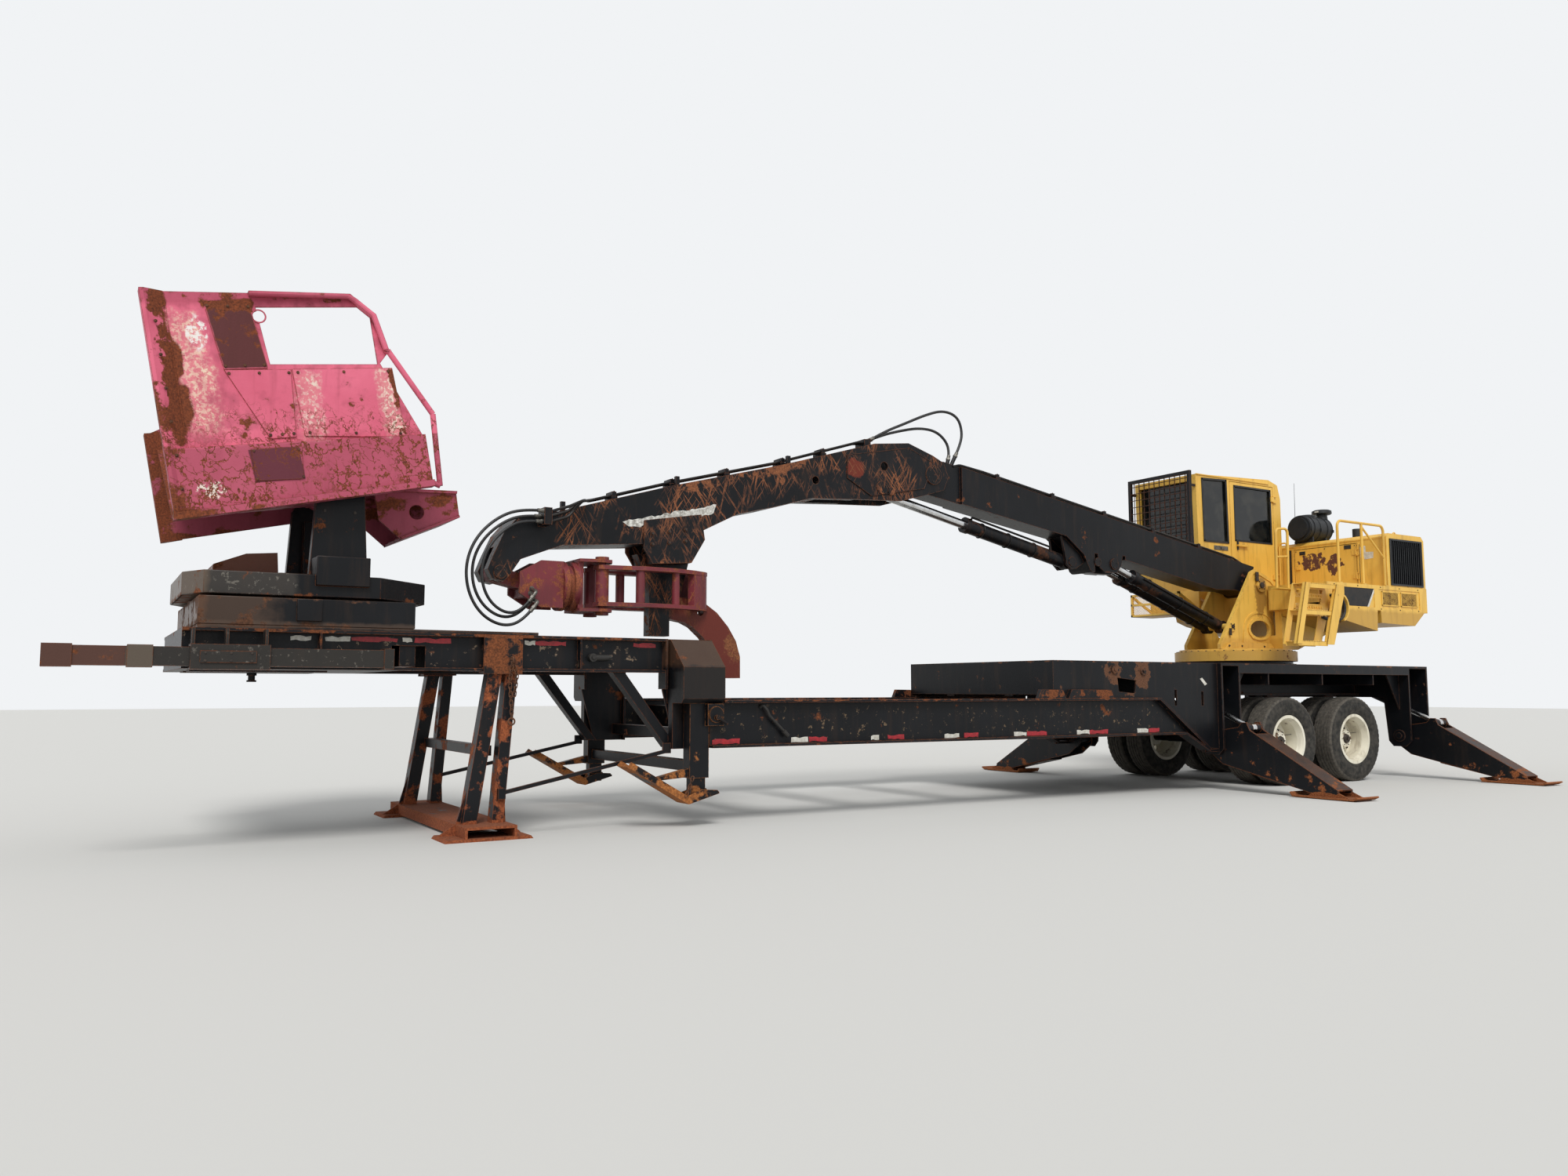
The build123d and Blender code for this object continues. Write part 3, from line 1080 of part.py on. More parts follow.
def stick():
    """Cranked stick: two deep side plates round the knuckle, closed box ahead, forked nose."""
    xk, zk = knuckle
    xt, zt = tip_pin
    half = stick_half_y
    inner = half - stick_plate
    with BuildPart() as arm:
        # x, top z and bottom z of the closed box
        box_top = [(-650.0, 3720.0), (-1810.0, 3370.0), (-3010.0, 3050.0), (-4110.0, 2720.0),
                   (-4490.0, 2630.0)]
        nose = [(-4600.0, 2500.0), (-4690.0, 2300.0), (-4740.0, 2170.0), (-4700.0, 2090.0),
                (-4600.0, 2070.0), (-4550.0, 2120.0)]
        box_bottom = [(-4450.0, 2270.0), (-4070.0, 2420.0), (-3290.0, 2480.0), (-2690.0, 2640.0),
                      (-2290.0, 2840.0), (-1890.0, 2940.0), (-1440.0, 3070.0), (-830.0, 3110.0)]
        fork = [(-300.0, 3140.0), (60.0, 3240.0), (xk + 150, zk - 150), (xk + 215, zk), (xk + 150, zk + 150),
                (xk, zk + 215), (-200.0, 3775.0)]
        side_prism(box_top + nose + box_bottom + fork, (-half, half))
        hollow = [(-4390.0, 1990.0), (-4890.0, 1990.0), (-4890.0, 2420.0), (-4390.0, 2330.0)]
        side_prism(hollow, (-86.0, 86.0), mode=Mode.SUBTRACT)
        side_prism([(600.0, 3000.0), (600.0, 4000.0), (-300.0, 4000.0), (-320.0, 3720.0), (-760.0, 3600.0),
                    (-900.0, 3450.0), (-900.0, 3000.0)], (-inner, inner), mode=Mode.SUBTRACT)
        side_prism([(-899.0, 3000.0), (-899.0, 3330.0), (-1200.0, 3300.0), (-1400.0, 3000.0)],
                   (-110.0, 110.0), mode=Mode.SUBTRACT)
        # bosses: x, z and radius
        for x, z, radius in ((xk, zk, 105), (stick_rod_pin[0], stick_rod_pin[1], 70), (-440.0, 3235.0, 46)):
            for side in (-1, 1):
                round_y(x, (side * half, side * (half + 16)), z, radius)
        for side in (-1, 1):
            round_y(stick_rod_pin[0], (side * (70 + seat_gap), side * (inner + 1)), stick_rod_pin[1], 80)
            round_y(xk, (side * (boom_knuckle_half_y + 8), side * (inner + 1)), zk, 120)
            round_y(xt, (side * half, side * (half + 14)), zt, 58)
            # doubler plate along the fork
            side_prism([(-1000.0, 3560.0), (-1000.0, 3320.0), (-700.0, 3160.0), (0.0, 3300.0), (xk, 3590.0),
                        (-200.0, 3720.0)], (side * half, side * (half + 8)))
        round_y(xk, (-half, half), zk, 60)
        round_y(xt, (-half, half), zt, 34)
        for x, z, radius in ((-530.0, 3490.0, 46), (-1390.0, 3260.0, 40)):
            round_y(x, (-half - 20, half + 20), z, radius, mode=Mode.SUBTRACT)
        # hose fittings: a bulkhead on the top, and a clamp on the near plate at the nose
        start_x, _, start_z = knuckle_hoses[0][0]
        block((start_x - 110, start_x - 30), (-110.0, 60.0), (start_z - 90, start_z - 10))
        for points in knuckle_hoses:
            hose_stub(points[0], points[1], knuckle_hose_radius, 75)
        clamp_x = tip_hoses[0][0][0] + seat_gap
        block((clamp_x, clamp_x + 70), (-365.0, 1 - half), (2570.0, 2720.0))
    return arm.part


def heel():
    """Heel under the stick: bolted cheeks, post and the hooked claw."""
    half = heel_half_y
    with BuildPart() as heel_part:
        for side in (-1, 1):
            cheek = [(-3290.0, 2440.0), (-3290.0, 2700.0), (-2700.0, 2800.0), (-2660.0, 2560.0),
                     (-2800.0, 2330.0), (-3200.0, 2300.0)]
            side_prism(cheek, (side * (stick_half_y + seat_gap), side * (stick_half_y + 22)))
            side_prism([(-3200.0, 2300.0), (-3230.0, 2400.0), (-2760.0, 2400.0), (-2800.0, 2330.0)],
                       (side * (half - 1), side * (stick_half_y + 1)))
            # two rows of bolt heads through the cheek
            for x, z in ((-3210.0, 2580.0), (-3040.0, 2610.0), (-2870.0, 2640.0), (-3210.0, 2480.0),
                         (-3040.0, 2505.0), (-2870.0, 2530.0)):
                round_y(x, (side * (stick_half_y + 21), side * (stick_half_y + 36)), z, 17)
        side_prism([(-3290.0, 2400.0), (-2740.0, 2400.0), (-2830.0, 2050.0), (-2950.0, 1990.0),
                    (-2950.0, 1640.0), (-3160.0, 1640.0), (-3160.0, 2050.0), (-3230.0, 2280.0)], (-half, half))
        claw = [(-2960.0, 2030.0), (-2780.0, 2010.0), (-2594.0, 1982.0), (-2440.0, 1880.0),
                (-2317.0, 1747.0), (-2230.0, 1610.0), (-2184.0, 1458.0), (-2183.0, 1251.0),
                (-2357.0, 1250.0), (-2400.0, 1400.0), (-2488.0, 1514.0), (-2590.0, 1640.0),
                (-2702.0, 1736.0), (-2800.0, 1780.0), (-2960.0, 1805.0)]
        side_prism(claw, (-half, half))
        round_y(-2620.0, (-half - 1, half + 1), 1880.0, 34, mode=Mode.SUBTRACT)
    return heel_part.part


def grapple_head():
    """Link, forked head, slewing ring and the yoke that carries both jaws."""
    xt, zt = tip_pin
    mid = 2070.0
    with BuildPart() as head:
        round_y(xt, (-80.0, 80.0), zt, 76)
        side_prism([(xt - 10, zt + 70), (xt + 300, mid + 62), (xt + 300, mid - 62), (xt - 10, zt - 74)],
                   (-80.0, 80.0))
        round_y(xt, (-81.0, 81.0), zt, 34 + bearing_gap, mode=Mode.SUBTRACT)
        # flanged head box
        for y in ((-170.0, -140.0), (140.0, 170.0)):
            side_prism([(-4445.0, 1980.0), (-4445.0, 2165.0), (-4250.0, 2277.0), (-4046.0, 2277.0),
                        (-4046.0, 1862.0), (-4250.0, 1862.0)], y)
        block((-4400.0, -4046.0), (-141.0, 141.0), (1950.0, 2190.0))
        round_x((-4047.0, -3995.0), 0, mid, 225)
        round_x((-3995.0, -3945.0), 0, mid, 190)
        round_x((-3945.0, -3889.0), 0, mid, 225)
        # yoke plates above and below the jaws
        for z in ((2284.0, 2312.0), (1838.0, 1866.0)):
            plan_prism([(-3900.0, -190.0), (-3740.0, -235.0), (-3600.0, -215.0), (-3560.0, -110.0),
                        (-3560.0, 110.0), (-3600.0, 215.0), (-3740.0, 235.0), (-3900.0, 190.0)], z)
        block((-3900.0, -3850.0), (-150.0, 150.0), (1839.0, 2311.0))
        for side in (-1, 1):
            round_z(jaw_pivot[0], side * jaw_pivot[1], (1838.0, 2312.0), 34)
            for z in ((2312.0, 2340.0), (1810.0, 1838.0)):
                round_z(jaw_pivot[0], side * jaw_pivot[1], z, 62)
    return head.part


def jaw(side):
    """One jaw: root tube, two curved plates with a red spreader tube, and a shared tip."""
    px, py = jaw_pivot
    with BuildPart() as tong:
        plan = [
            (px - 70, side * (py - 40)), (px - 60, side * (py + 70)), (px + 120, side * 250),
            (-3300.0, side * 300), (-3000.0, side * 285), (-2760.0, side * 210), (-2600.0, side * 120),
            (-2558.0, side * jaw_gap), (-2660.0, side * jaw_gap), (-2820.0, side * 130),
            (-3050.0, side * 165), (-3330.0, side * 160), (px + 130, side * 80), (px, side * jaw_gap),
        ]
        for z in ((2225.0, 2262.0), (1890.0, 1927.0)):
            plan_prism(plan, z)
        round_z(px, side * py, (1890.0, 2262.0), 62)
        round_z(-3330.0, side * 235, (1926.0, 2226.0), 42)
        round_z(-2960.0, side * 215, (1926.0, 2226.0), 36)
        plan_prism([(-2800.0, side * 150), (-2760.0, side * 205), (-2600.0, side * 118),
                    (-2564.0, side * jaw_gap), (-2655.0, side * jaw_gap)], (1926.0, 2226.0))
        round_z(px, side * py, (1889.0, 2263.0), 34 + bearing_gap, mode=Mode.SUBTRACT)
    return tong.part


def slide_beam():
    """Square telescoping beam with its collars and end cap."""
    half = beam_size / 2
    y, z = beam_y, beam_z
    with BuildPart() as beam:
        block(beam_x, (y - half, y + half), (z - half, z + half))
        # x from and to of each collar
        for x in ((-7900.0, -7730.0), (-7420.0, -7270.0), (-5780.0, -5710.0)):
            block(x, (y - half - 10, y + half + 10), (z - half - 10, z + half + 10))
    return beam.part


def beam_sleeve():
    """Fixed sleeve on the gooseneck's near rail, with ribs and a support cradle."""
    inner = beam_size / 2 + slide_gap
    outer = inner + sleeve_wall
    rail = -rail_outer_y - seat_gap
    y, z = beam_y, beam_z
    with BuildPart() as sleeve:
        block((-7050.0, -6550.0), (y - outer, rail), (z - outer, z + outer))
        block((-7051.0, -6549.0), (y - inner, y + inner), (z - inner, z + inner), mode=Mode.SUBTRACT)
        block((-7040.0, -6560.0), (y - 50, y + 50), (z - inner - 1, z - inner + slide_gap - seat_gap))
        for x in (-7040.0, -6830.0, -6580.0):
            side_prism([(x, z + outer - 1), (x + 20, z + outer - 1), (x + 20, 1560.0), (x, 1560.0)],
                       (y - 30, rail))
        block((-6990.0, -6640.0), (y - outer - 12, y - outer + 1), (z - 40, z + 40))
    return sleeve.part


def delimber_drum():
    """Fixed pedestal of the delimber: base plate, ribbed drum and top flange."""
    base = goose_z[1] + seat_gap
    with BuildPart() as drum:
        block((-7000.0, -4551.0), (-rail_outer_y + 20, rail_outer_y - 20), (base, base + 24))
        round_z(swivel_x, 0, (base + 23, drum_top_z - 45), drum_radius - 60)
        round_z(swivel_x, 0, (drum_top_z - 45, drum_top_z), drum_radius)
        for k in range(16):
            with Locations(Location((swivel_x, 0, 0), (0, 0, 22.5 * k + 11))):
                with Locations((drum_radius - 55, 0, (base + drum_top_z) / 2 - 10)):
                    Box(90, 14, drum_top_z - base - 50)
        round_z(swivel_x, 0, (drum_top_z - 1, drum_top_z + 6 - seat_gap), 520)
        round_z(swivel_x, 0, (base - 1, drum_top_z - 40), 420, mode=Mode.SUBTRACT)
        block((swivel_x - 420, swivel_x + 420), (-420.0, 420.0), (base, base + 24))
    return drum.part


def tilted(a, b):
    """Point of the delimber's tilted side plane as (x, z), from the tilt pin."""
    c, s = cos(radians(tilt_angle)), sin(radians(tilt_angle))
    return (tilt_pivot[0] + a * c - b * s, tilt_pivot[1] + a * s + b * c)


def tilted_prism(points, y, mode=Mode.ADD):
    side_prism([tilted(a, b) for a, b in points], y, mode=mode)


def octagon(radius, z, taper=0):
    with BuildSketch(Plane.XY.offset(z[0])) as plate:
        with Locations((swivel_x, 0)):
            RegularPolygon(radius, 8, rotation=22.5)
    extrude(plate.sketch, amount=z[1] - z[0], taper=taper)


def delimber_yoke():
    """Swivelling stepped octagon with two columns that carry the tilt pins."""
    base = drum_top_z + 6
    x, z = tilt_pivot
    with BuildPart() as yoke:
        octagon(drum_radius + 40, (base, base + 60))
        octagon(drum_radius - 30, (base + 59, base + 110))
        octagon(drum_radius - 120, (base + 109, base + 200), taper=40)
        for side in (-1, 1):
            y = (side * column_y[0], side * column_y[1])
            column = [(-6300.0, base + 59), (-6241.0, base + 130), (-6200.0, 2640.0), (x - 95, z + 60),
                      (x - 40, z + 100), (x + 40, z + 100), (x + 95, z + 60), (-5850.0, 2640.0),
                      (-5812.0, base + 130), (-5700.0, base + 59)]
            side_prism(column, y)
            side_prism([(-6110.0, base + 59), (-6110.0, 2560.0), (-5930.0, 2560.0), (-5930.0, base + 59)],
                       (side * 500, side * (column_y[0] + 1)))
            round_y(x, (side * 455, side * (column_y[1] + 22)), z, 46)
            round_y(x, (side * column_y[1], side * (column_y[1] + 18)), z, 80)
        # infeed hood ahead of the columns
        side_prism([(-6880.0, base + 59), (-6860.0, 2080.0), (-6640.0, 2170.0), (-6420.0, 2190.0),
                    (-6400.0, base + 59)], (-330.0, 330.0))
    return yoke.part


# closed outlines on the delimber's near wall, in its tilted frame
wall_outline = [(-1168, 1436), (-483, 1421), (234, 1398), (269, 1362), (404, 1238), (462, 948), (390, 867),
                (634, 280), (636, -94), (633, -116), (-1198, -199)]
wall_window = [(-444, 1315), (-404, 885), (371, 861), (368, 1312)]
wall_panels = [
    [(-789, 1351), (-722, 855), (-429, 856), (-483, 1339)],
    [(-722, 851), (-483, 330), (-303, 331), (-268, 840)],
    [(-260, 842), (-240, 335), (499, 279), (474, 827)],
]


def delimber_body():
    """Tilting body: tall pierced near wall, trough, low far wall, end flanges and tail beam."""
    near = (-wall_y, -wall_y + wall_thick)
    far = (wall_y - wall_thick, wall_y)
    c, s = cos(radians(tilt_angle)), sin(radians(tilt_angle))
    with BuildPart() as body:
        tilted_prism(wall_outline, near)
        tilted_prism(wall_window, (near[0] - 1, near[1] + 1), mode=Mode.SUBTRACT)
        ear = tilted(-432, 1245)
        round_y(ear[0], (near[0] - 1, near[1] + 1), ear[1], 42, mode=Mode.SUBTRACT)
        tilted_prism([(-1198, -199), (-1150, 700), (-500, 950), (400, 900), (634, 280), (633, -116)], far)
        # stiffening rim round the window
        tilted_prism([(-483, 1421), (234, 1398), (269, 1362), (404, 1238), (462, 948), (432, 948),
                      (376, 1222), (250, 1345), (225, 1368), (-480, 1391)], (-wall_y - 60, near[1]))
        # lower band, its sloped cap and the bottom rail stand proud of the wall
        tilted_prism([(-1190, -160), (-1170, 290), (634, 280), (636, -94), (633, -116)],
                     (-wall_y - 70, -wall_y + 1))
        tilted_prism([(-1205, -215), (-1200, -165), (640, -85), (640, -135)], (-wall_y - 110, -wall_y + 1))
        for outline in wall_panels:
            tilted_prism(outline, (-wall_y - 9, -wall_y + 1))
        tilted_prism([(-637, 16), (-634, 253), (-289, 241), (-310, 5)], (-wall_y - 79, -wall_y - 69))
        # trough: sloped liners down to a flat floor
        for y in (-1, 1):
            end_points = [(y * (wall_y - wall_thick + 1), 560), (y * (wall_y - wall_thick + 1), 530),
                          (y * 360, -60), (y * 320, -40)]
            start = tilted(-1120, 0)
            plane = Plane(origin=(start[0], 0, start[1]), x_dir=(0, 1, 0), z_dir=(c, 0, s))
            with BuildSketch(plane) as liner:
                with BuildLine():
                    Polyline(*end_points, close=True)
                make_face()
            extrude(liner.sketch, amount=1640)
        tilted_prism([(-1120, -64), (-1120, -40), (640, -40), (640, -64)], (-370.0, 370.0))
        # hanging lugs round the tilt pins
        for side in (-1, 1):
            tilted_prism([(-170, 165), (-95, -60), (95, -60), (170, 165)], (side * 440, side * 495))
            round_y(tilt_pivot[0], (side * 440, side * 495), tilt_pivot[1], 92)
        # infeed flange flares outwards from both walls
        for side in (-1, 1):
            plane = Plane(origin=(tilt_pivot[0], 0, tilt_pivot[1]), x_dir=(c, 0, s), z_dir=(-s, 0, c))
            height = (-199, 1436) if side < 0 else (-199, 700)
            with BuildSketch(plane.offset(height[0])) as flange:
                with BuildLine():
                    Polyline((-1040, side * (wall_y - 1)), (-1168, side * (wall_y + 90)),
                             (-1196, side * (wall_y + 90)), (-1196, side * (wall_y - 20)),
                             (-1040, side * (wall_y - 20)), close=True)
                make_face()
            extrude(flange.sketch, amount=height[1] - height[0])
        # tail beam with its eye
        for side in (-1, 1):
            tilted_prism([(508, -70), (959, -137), (953, -350), (451, -481), (300, -300), (300, -50)],
                         (side * 300, side * 284))
        tilted_prism([(508, -62), (965, -128), (959, -150), (508, -90)], (-320.0, 320.0))
        tilted_prism([(953, -350), (451, -481), (451, -459), (951, -330)], (-320.0, 320.0))
        hole = tilted(610, -270)
        round_y(hole[0], (-301.0, 301.0), hole[1], 60, mode=Mode.SUBTRACT)
        # guard tube behind the outfeed edge
        tube = [(455, 960), (727, 441), (696, -130)]
        guard = [(tilted(a, b)[0], -wall_y - 30, tilted(a, b)[1]) for a, b in tube]
        bar(guard[0], guard[1], 22)
        bar(guard[1], guard[2], 22)
        for a, b in (((640, -100), tube[2]), ((440, 940), tube[0])):
            p, q = tilted(*a), tilted(*b)
            bar((p[0], -wall_y - 30, p[1]), (q[0], -wall_y - 30, q[1]), 22)
        round_y(tilt_pivot[0], (-500.0, 500.0), tilt_pivot[1], 46 + bearing_gap, mode=Mode.SUBTRACT)
    return body.part


def main():
    os.makedirs("parts", exist_ok=True)
    makers = {
        "gooseneck": gooseneck, "kingpin": kingpin, "drop_frame": drop_frame, "main_rails": main_rails,
        "deck_frame": deck_frame, "outrigger_barrels": outrigger_barrels, "axle_set": axle_set,
        "landing_gear": landing_gear, "front_stand": front_stand, "stand_strut": stand_strut,
        "beam_sleeve": beam_sleeve, "slide_beam": slide_beam, "swing_bearing": swing_bearing,
        "upper_base": upper_base, "platform": platform, "engine_house": engine_house,
        "engine_door": engine_door, "radiator_grille": radiator_grille, "engine_block": engine_block,
        "air_cleaner": air_cleaner, "handrails": handrails, "ladder": ladder, "cab_shell": cab_shell,
        "cab_glass": cab_glass, "cab_door": cab_door, "cab_door_glass": door_glass, "cab_guard": cab_guard,
        "cab_seat": cab_seat, "cab_step": cab_step, "boom": boom, "hoist_barrels": hoist_barrels,
        "hoist_rods": hoist_rods, "stick_barrel": stick_barrel, "stick_rod": stick_rod, "stick": stick,
        "heel": heel, "grapple_head": grapple_head, "delimber_drum": delimber_drum,
        "delimber_yoke": delimber_yoke, "delimber_body": delimber_body, "hoses_knuckle": hoses_knuckle,
        "hoses_tip": hoses_tip,
    }
    for name, maker in makers.items():
        save(maker(), name)
    for side_name, side in (("left", -1), ("right", 1)):
        save(jaw(side), f"jaw_{side_name}")
        for row, axle_x in (("front", front_axle_x), ("rear", rear_axle_x)):
            save(tyre_pair(axle_x, side), f"tyres_{row}_{side_name}")
            save(rim_pair(axle_x, side), f"rims_{row}_{side_name}")
        for row, x in (("front", front_arm_x), ("rear", rear_arm_x)):
            save(outrigger_arm(x, side), f"outrigger_arm_{row}_{side_name}")
            save(outrigger_rod(x, side), f"outrigger_rod_{row}_{side_name}")


main()
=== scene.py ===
import json
import random
from math import acos, cos, pi, radians, sin, tan

import bmesh
import bpy
from mathutils import Matrix, Vector

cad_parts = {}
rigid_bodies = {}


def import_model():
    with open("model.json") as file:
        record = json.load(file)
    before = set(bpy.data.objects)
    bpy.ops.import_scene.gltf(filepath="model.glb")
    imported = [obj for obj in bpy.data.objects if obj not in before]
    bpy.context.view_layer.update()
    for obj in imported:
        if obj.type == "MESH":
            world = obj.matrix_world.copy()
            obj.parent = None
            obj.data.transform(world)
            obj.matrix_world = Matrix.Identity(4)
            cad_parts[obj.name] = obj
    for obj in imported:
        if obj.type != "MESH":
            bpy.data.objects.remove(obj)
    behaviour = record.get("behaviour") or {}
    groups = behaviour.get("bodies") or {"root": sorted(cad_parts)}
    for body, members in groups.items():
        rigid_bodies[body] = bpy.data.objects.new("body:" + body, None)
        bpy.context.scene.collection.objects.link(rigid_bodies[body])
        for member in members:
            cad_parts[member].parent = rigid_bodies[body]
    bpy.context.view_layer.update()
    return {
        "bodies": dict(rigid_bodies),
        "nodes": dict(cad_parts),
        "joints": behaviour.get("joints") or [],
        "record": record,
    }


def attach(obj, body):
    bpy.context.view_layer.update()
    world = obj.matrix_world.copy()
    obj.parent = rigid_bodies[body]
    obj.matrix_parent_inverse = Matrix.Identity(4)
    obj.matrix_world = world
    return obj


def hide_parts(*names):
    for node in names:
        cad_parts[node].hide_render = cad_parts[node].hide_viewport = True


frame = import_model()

nodes = frame["nodes"]
random.seed(7)
print("frame loaded")

# places that several pieces share, in metres
axlePlaces = {"front": 4.709, "rear": 6.030}
axleHeight = 0.525
turntableX = 5.34
swivelX = -6.19

# Camera at the photograph's place: metres, degrees, lens in mm on a 36 mm sensor
view = {"place": (-7.6781, -9.8845, 1.1349), "yaw": 58.598, "pitch": 5.074, "lens": 26.41}


def placeCamera():
    yaw, pitch = radians(view["yaw"]), radians(view["pitch"])
    forward = Vector((cos(yaw) * cos(pitch), sin(yaw) * cos(pitch), sin(pitch)))
    right = Vector((sin(yaw), -cos(yaw), 0))
    up = right.cross(forward)
    data = bpy.data.cameras.new("camera")
    data.sensor_width = 36
    data.lens = view["lens"]
    data.clip_end = 200
    camera = bpy.data.objects.new("camera", data)
    bpy.context.scene.collection.objects.link(camera)
    turned = Matrix((right, up, -forward)).transposed().to_4x4()
    camera.matrix_world = Matrix.Translation(view["place"]) @ turned
    bpy.context.scene.camera = camera


placeCamera()

# Hoses: the routes of part.py in metres, the tube's diameter and where each one ends
knuckleHoses = {
    "diameter": 0.030, "node": "hoses_knuckle", "body": "boom", "end": "object",
    "routes": [
        [(-0.605, -0.060, 3.790), (-0.420, -0.062, 3.900), (-0.150, -0.066, 4.020), (0.130, -0.070, 4.150),
         (0.380, -0.074, 4.235), (0.590, -0.078, 4.190), (0.650, -0.084, 4.010), (0.600, -0.092, 3.850),
         (0.520, -0.104, 3.720)],
        [(-0.605, 0.010, 3.790), (-0.400, 0.012, 3.880), (-0.140, 0.014, 3.960), (0.110, 0.010, 4.020),
         (0.340, 0.000, 4.010), (0.480, -0.014, 3.900), (0.500, -0.030, 3.770), (0.470, -0.044, 3.690)],
    ],
    "lengths": [1.75, 1.34],
}
tipHoses = {
    "diameter": 0.026, "node": "hoses_tip", "body": "stick", "end": "fitting",
    "routes": [
        [(-4.300, -0.262, 2.650), (-4.470, -0.262, 2.650), (-4.660, -0.266, 2.560), (-4.820, -0.270, 2.400),
         (-4.900, -0.272, 2.200), (-4.880, -0.272, 1.990), (-4.780, -0.268, 1.830), (-4.620, -0.264, 1.745),
         (-4.470, -0.262, 1.790), (-4.380, -0.262, 1.900)],
        [(-4.300, -0.300, 2.600), (-4.460, -0.300, 2.600), (-4.620, -0.304, 2.520), (-4.760, -0.310, 2.370),
         (-4.830, -0.312, 2.180), (-4.810, -0.312, 1.990), (-4.720, -0.306, 1.850), (-4.580, -0.302, 1.780),
         (-4.450, -0.300, 1.830), (-4.370, -0.300, 1.940)],
        [(-4.300, -0.338, 2.690), (-4.500, -0.338, 2.690), (-4.710, -0.344, 2.600), (-4.890, -0.350, 2.420),
         (-4.975, -0.352, 2.190), (-4.950, -0.352, 1.950), (-4.830, -0.346, 1.760), (-4.640, -0.340, 1.670),
         (-4.470, -0.338, 1.720), (-4.370, -0.338, 1.850)],
    ],
    "lengths": [1.64, 1.48, 1.88],
}


def layHose(name, points, diameter):
    curve = bpy.data.curves.new(name, "CURVE")
    curve.dimensions = "3D"
    curve.bevel_depth = diameter / 2
    curve.bevel_resolution = 4
    curve.resolution_u = 10
    curve.use_fill_caps = True
    spline = curve.splines.new("NURBS")
    spline.points.add(len(points) - 1)
    for target, point in zip(spline.points, points):
        target.co = (*point, 1)
    spline.order_u = 3
    spline.use_endpoint_u = True
    hose = bpy.data.objects.new(name, curve)
    bpy.context.scene.collection.objects.link(hose)
    return hose


hoses = {}
for group in (knuckleHoses, tipHoses):
    for number, route in enumerate(group["routes"], 1):
        name = f"{group['node']}_{number}"
        hoses[name] = layHose(name, route, group["diameter"])
        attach(hoses[name], group["body"])
        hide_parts(group["node"])
print("camera and hoses placed")


# Materials: hex colours are sRGB, sizes are millimetres
def hexLinear(code):
    channels = [int(code[i:i + 2], 16) / 255 for i in (1, 3, 5)]
    return [c / 12.92 if c <= 0.04045 else ((c + 0.055) / 1.055) ** 2.4 for c in channels] + [1.0]


def addNode(tree, kind, inputs=(), **settings):
    node = tree.nodes.new("ShaderNode" + kind)
    for key, value in settings.items():
        setattr(node, key, value)
    for key, value in dict(inputs).items():
        if isinstance(value, bpy.types.NodeSocket):
            tree.links.new(value, node.inputs[key])
        else:
            node.inputs[key].default_value = value
    return node


def startMaterial(name):
    material = bpy.data.materials.new(name)
    material.use_nodes = True
    tree = material.node_tree
    return material, tree, tree.nodes["Principled BSDF"]


def perMetre(millimetres):
    return 1000.0 / millimetres


def mixColour(tree, factor, low, high):
    mixed = addNode(tree, "Mix", {0: factor, 6: low, 7: high}, data_type="RGBA")
    return mixed.outputs[2]


def speckle(tree, place, size, low, high, stretch=(1, 1, 1), detail=6.0, rough=0.6):
    # noise of a patch size in mm, cut to a mask between two thresholds
    laid = addNode(tree, "Mapping", {"Vector": place, "Scale": stretch}).outputs[0]
    noise = addNode(tree, "TexNoise", {"Vector": laid, "Scale": perMetre(size), "Detail": detail,
                                       "Roughness": rough})
    cut = addNode(tree, "MapRange", {"Value": noise.outputs[0], "From Min": low, "From Max": high})
    return cut.outputs[0]


def combine(tree, how, first, second):
    return addNode(tree, "Math", {0: first, 1: second}, operation=how).outputs[0]


def edgeMask(tree, radius, low, high):
    # where a rounded normal departs from the flat one: worn edges and corners
    rounded = addNode(tree, "Bevel", {"Radius": radius / 1000}, samples=6)
    flat = addNode(tree, "NewGeometry")
    agree = addNode(tree, "VectorMath", {0: rounded.outputs[0], 1: flat.outputs["Normal"]},
                    operation="DOT_PRODUCT")
    return addNode(tree, "MapRange", {"Value": agree.outputs["Value"], "From Min": high,
                                      "From Max": low}).outputs[0]


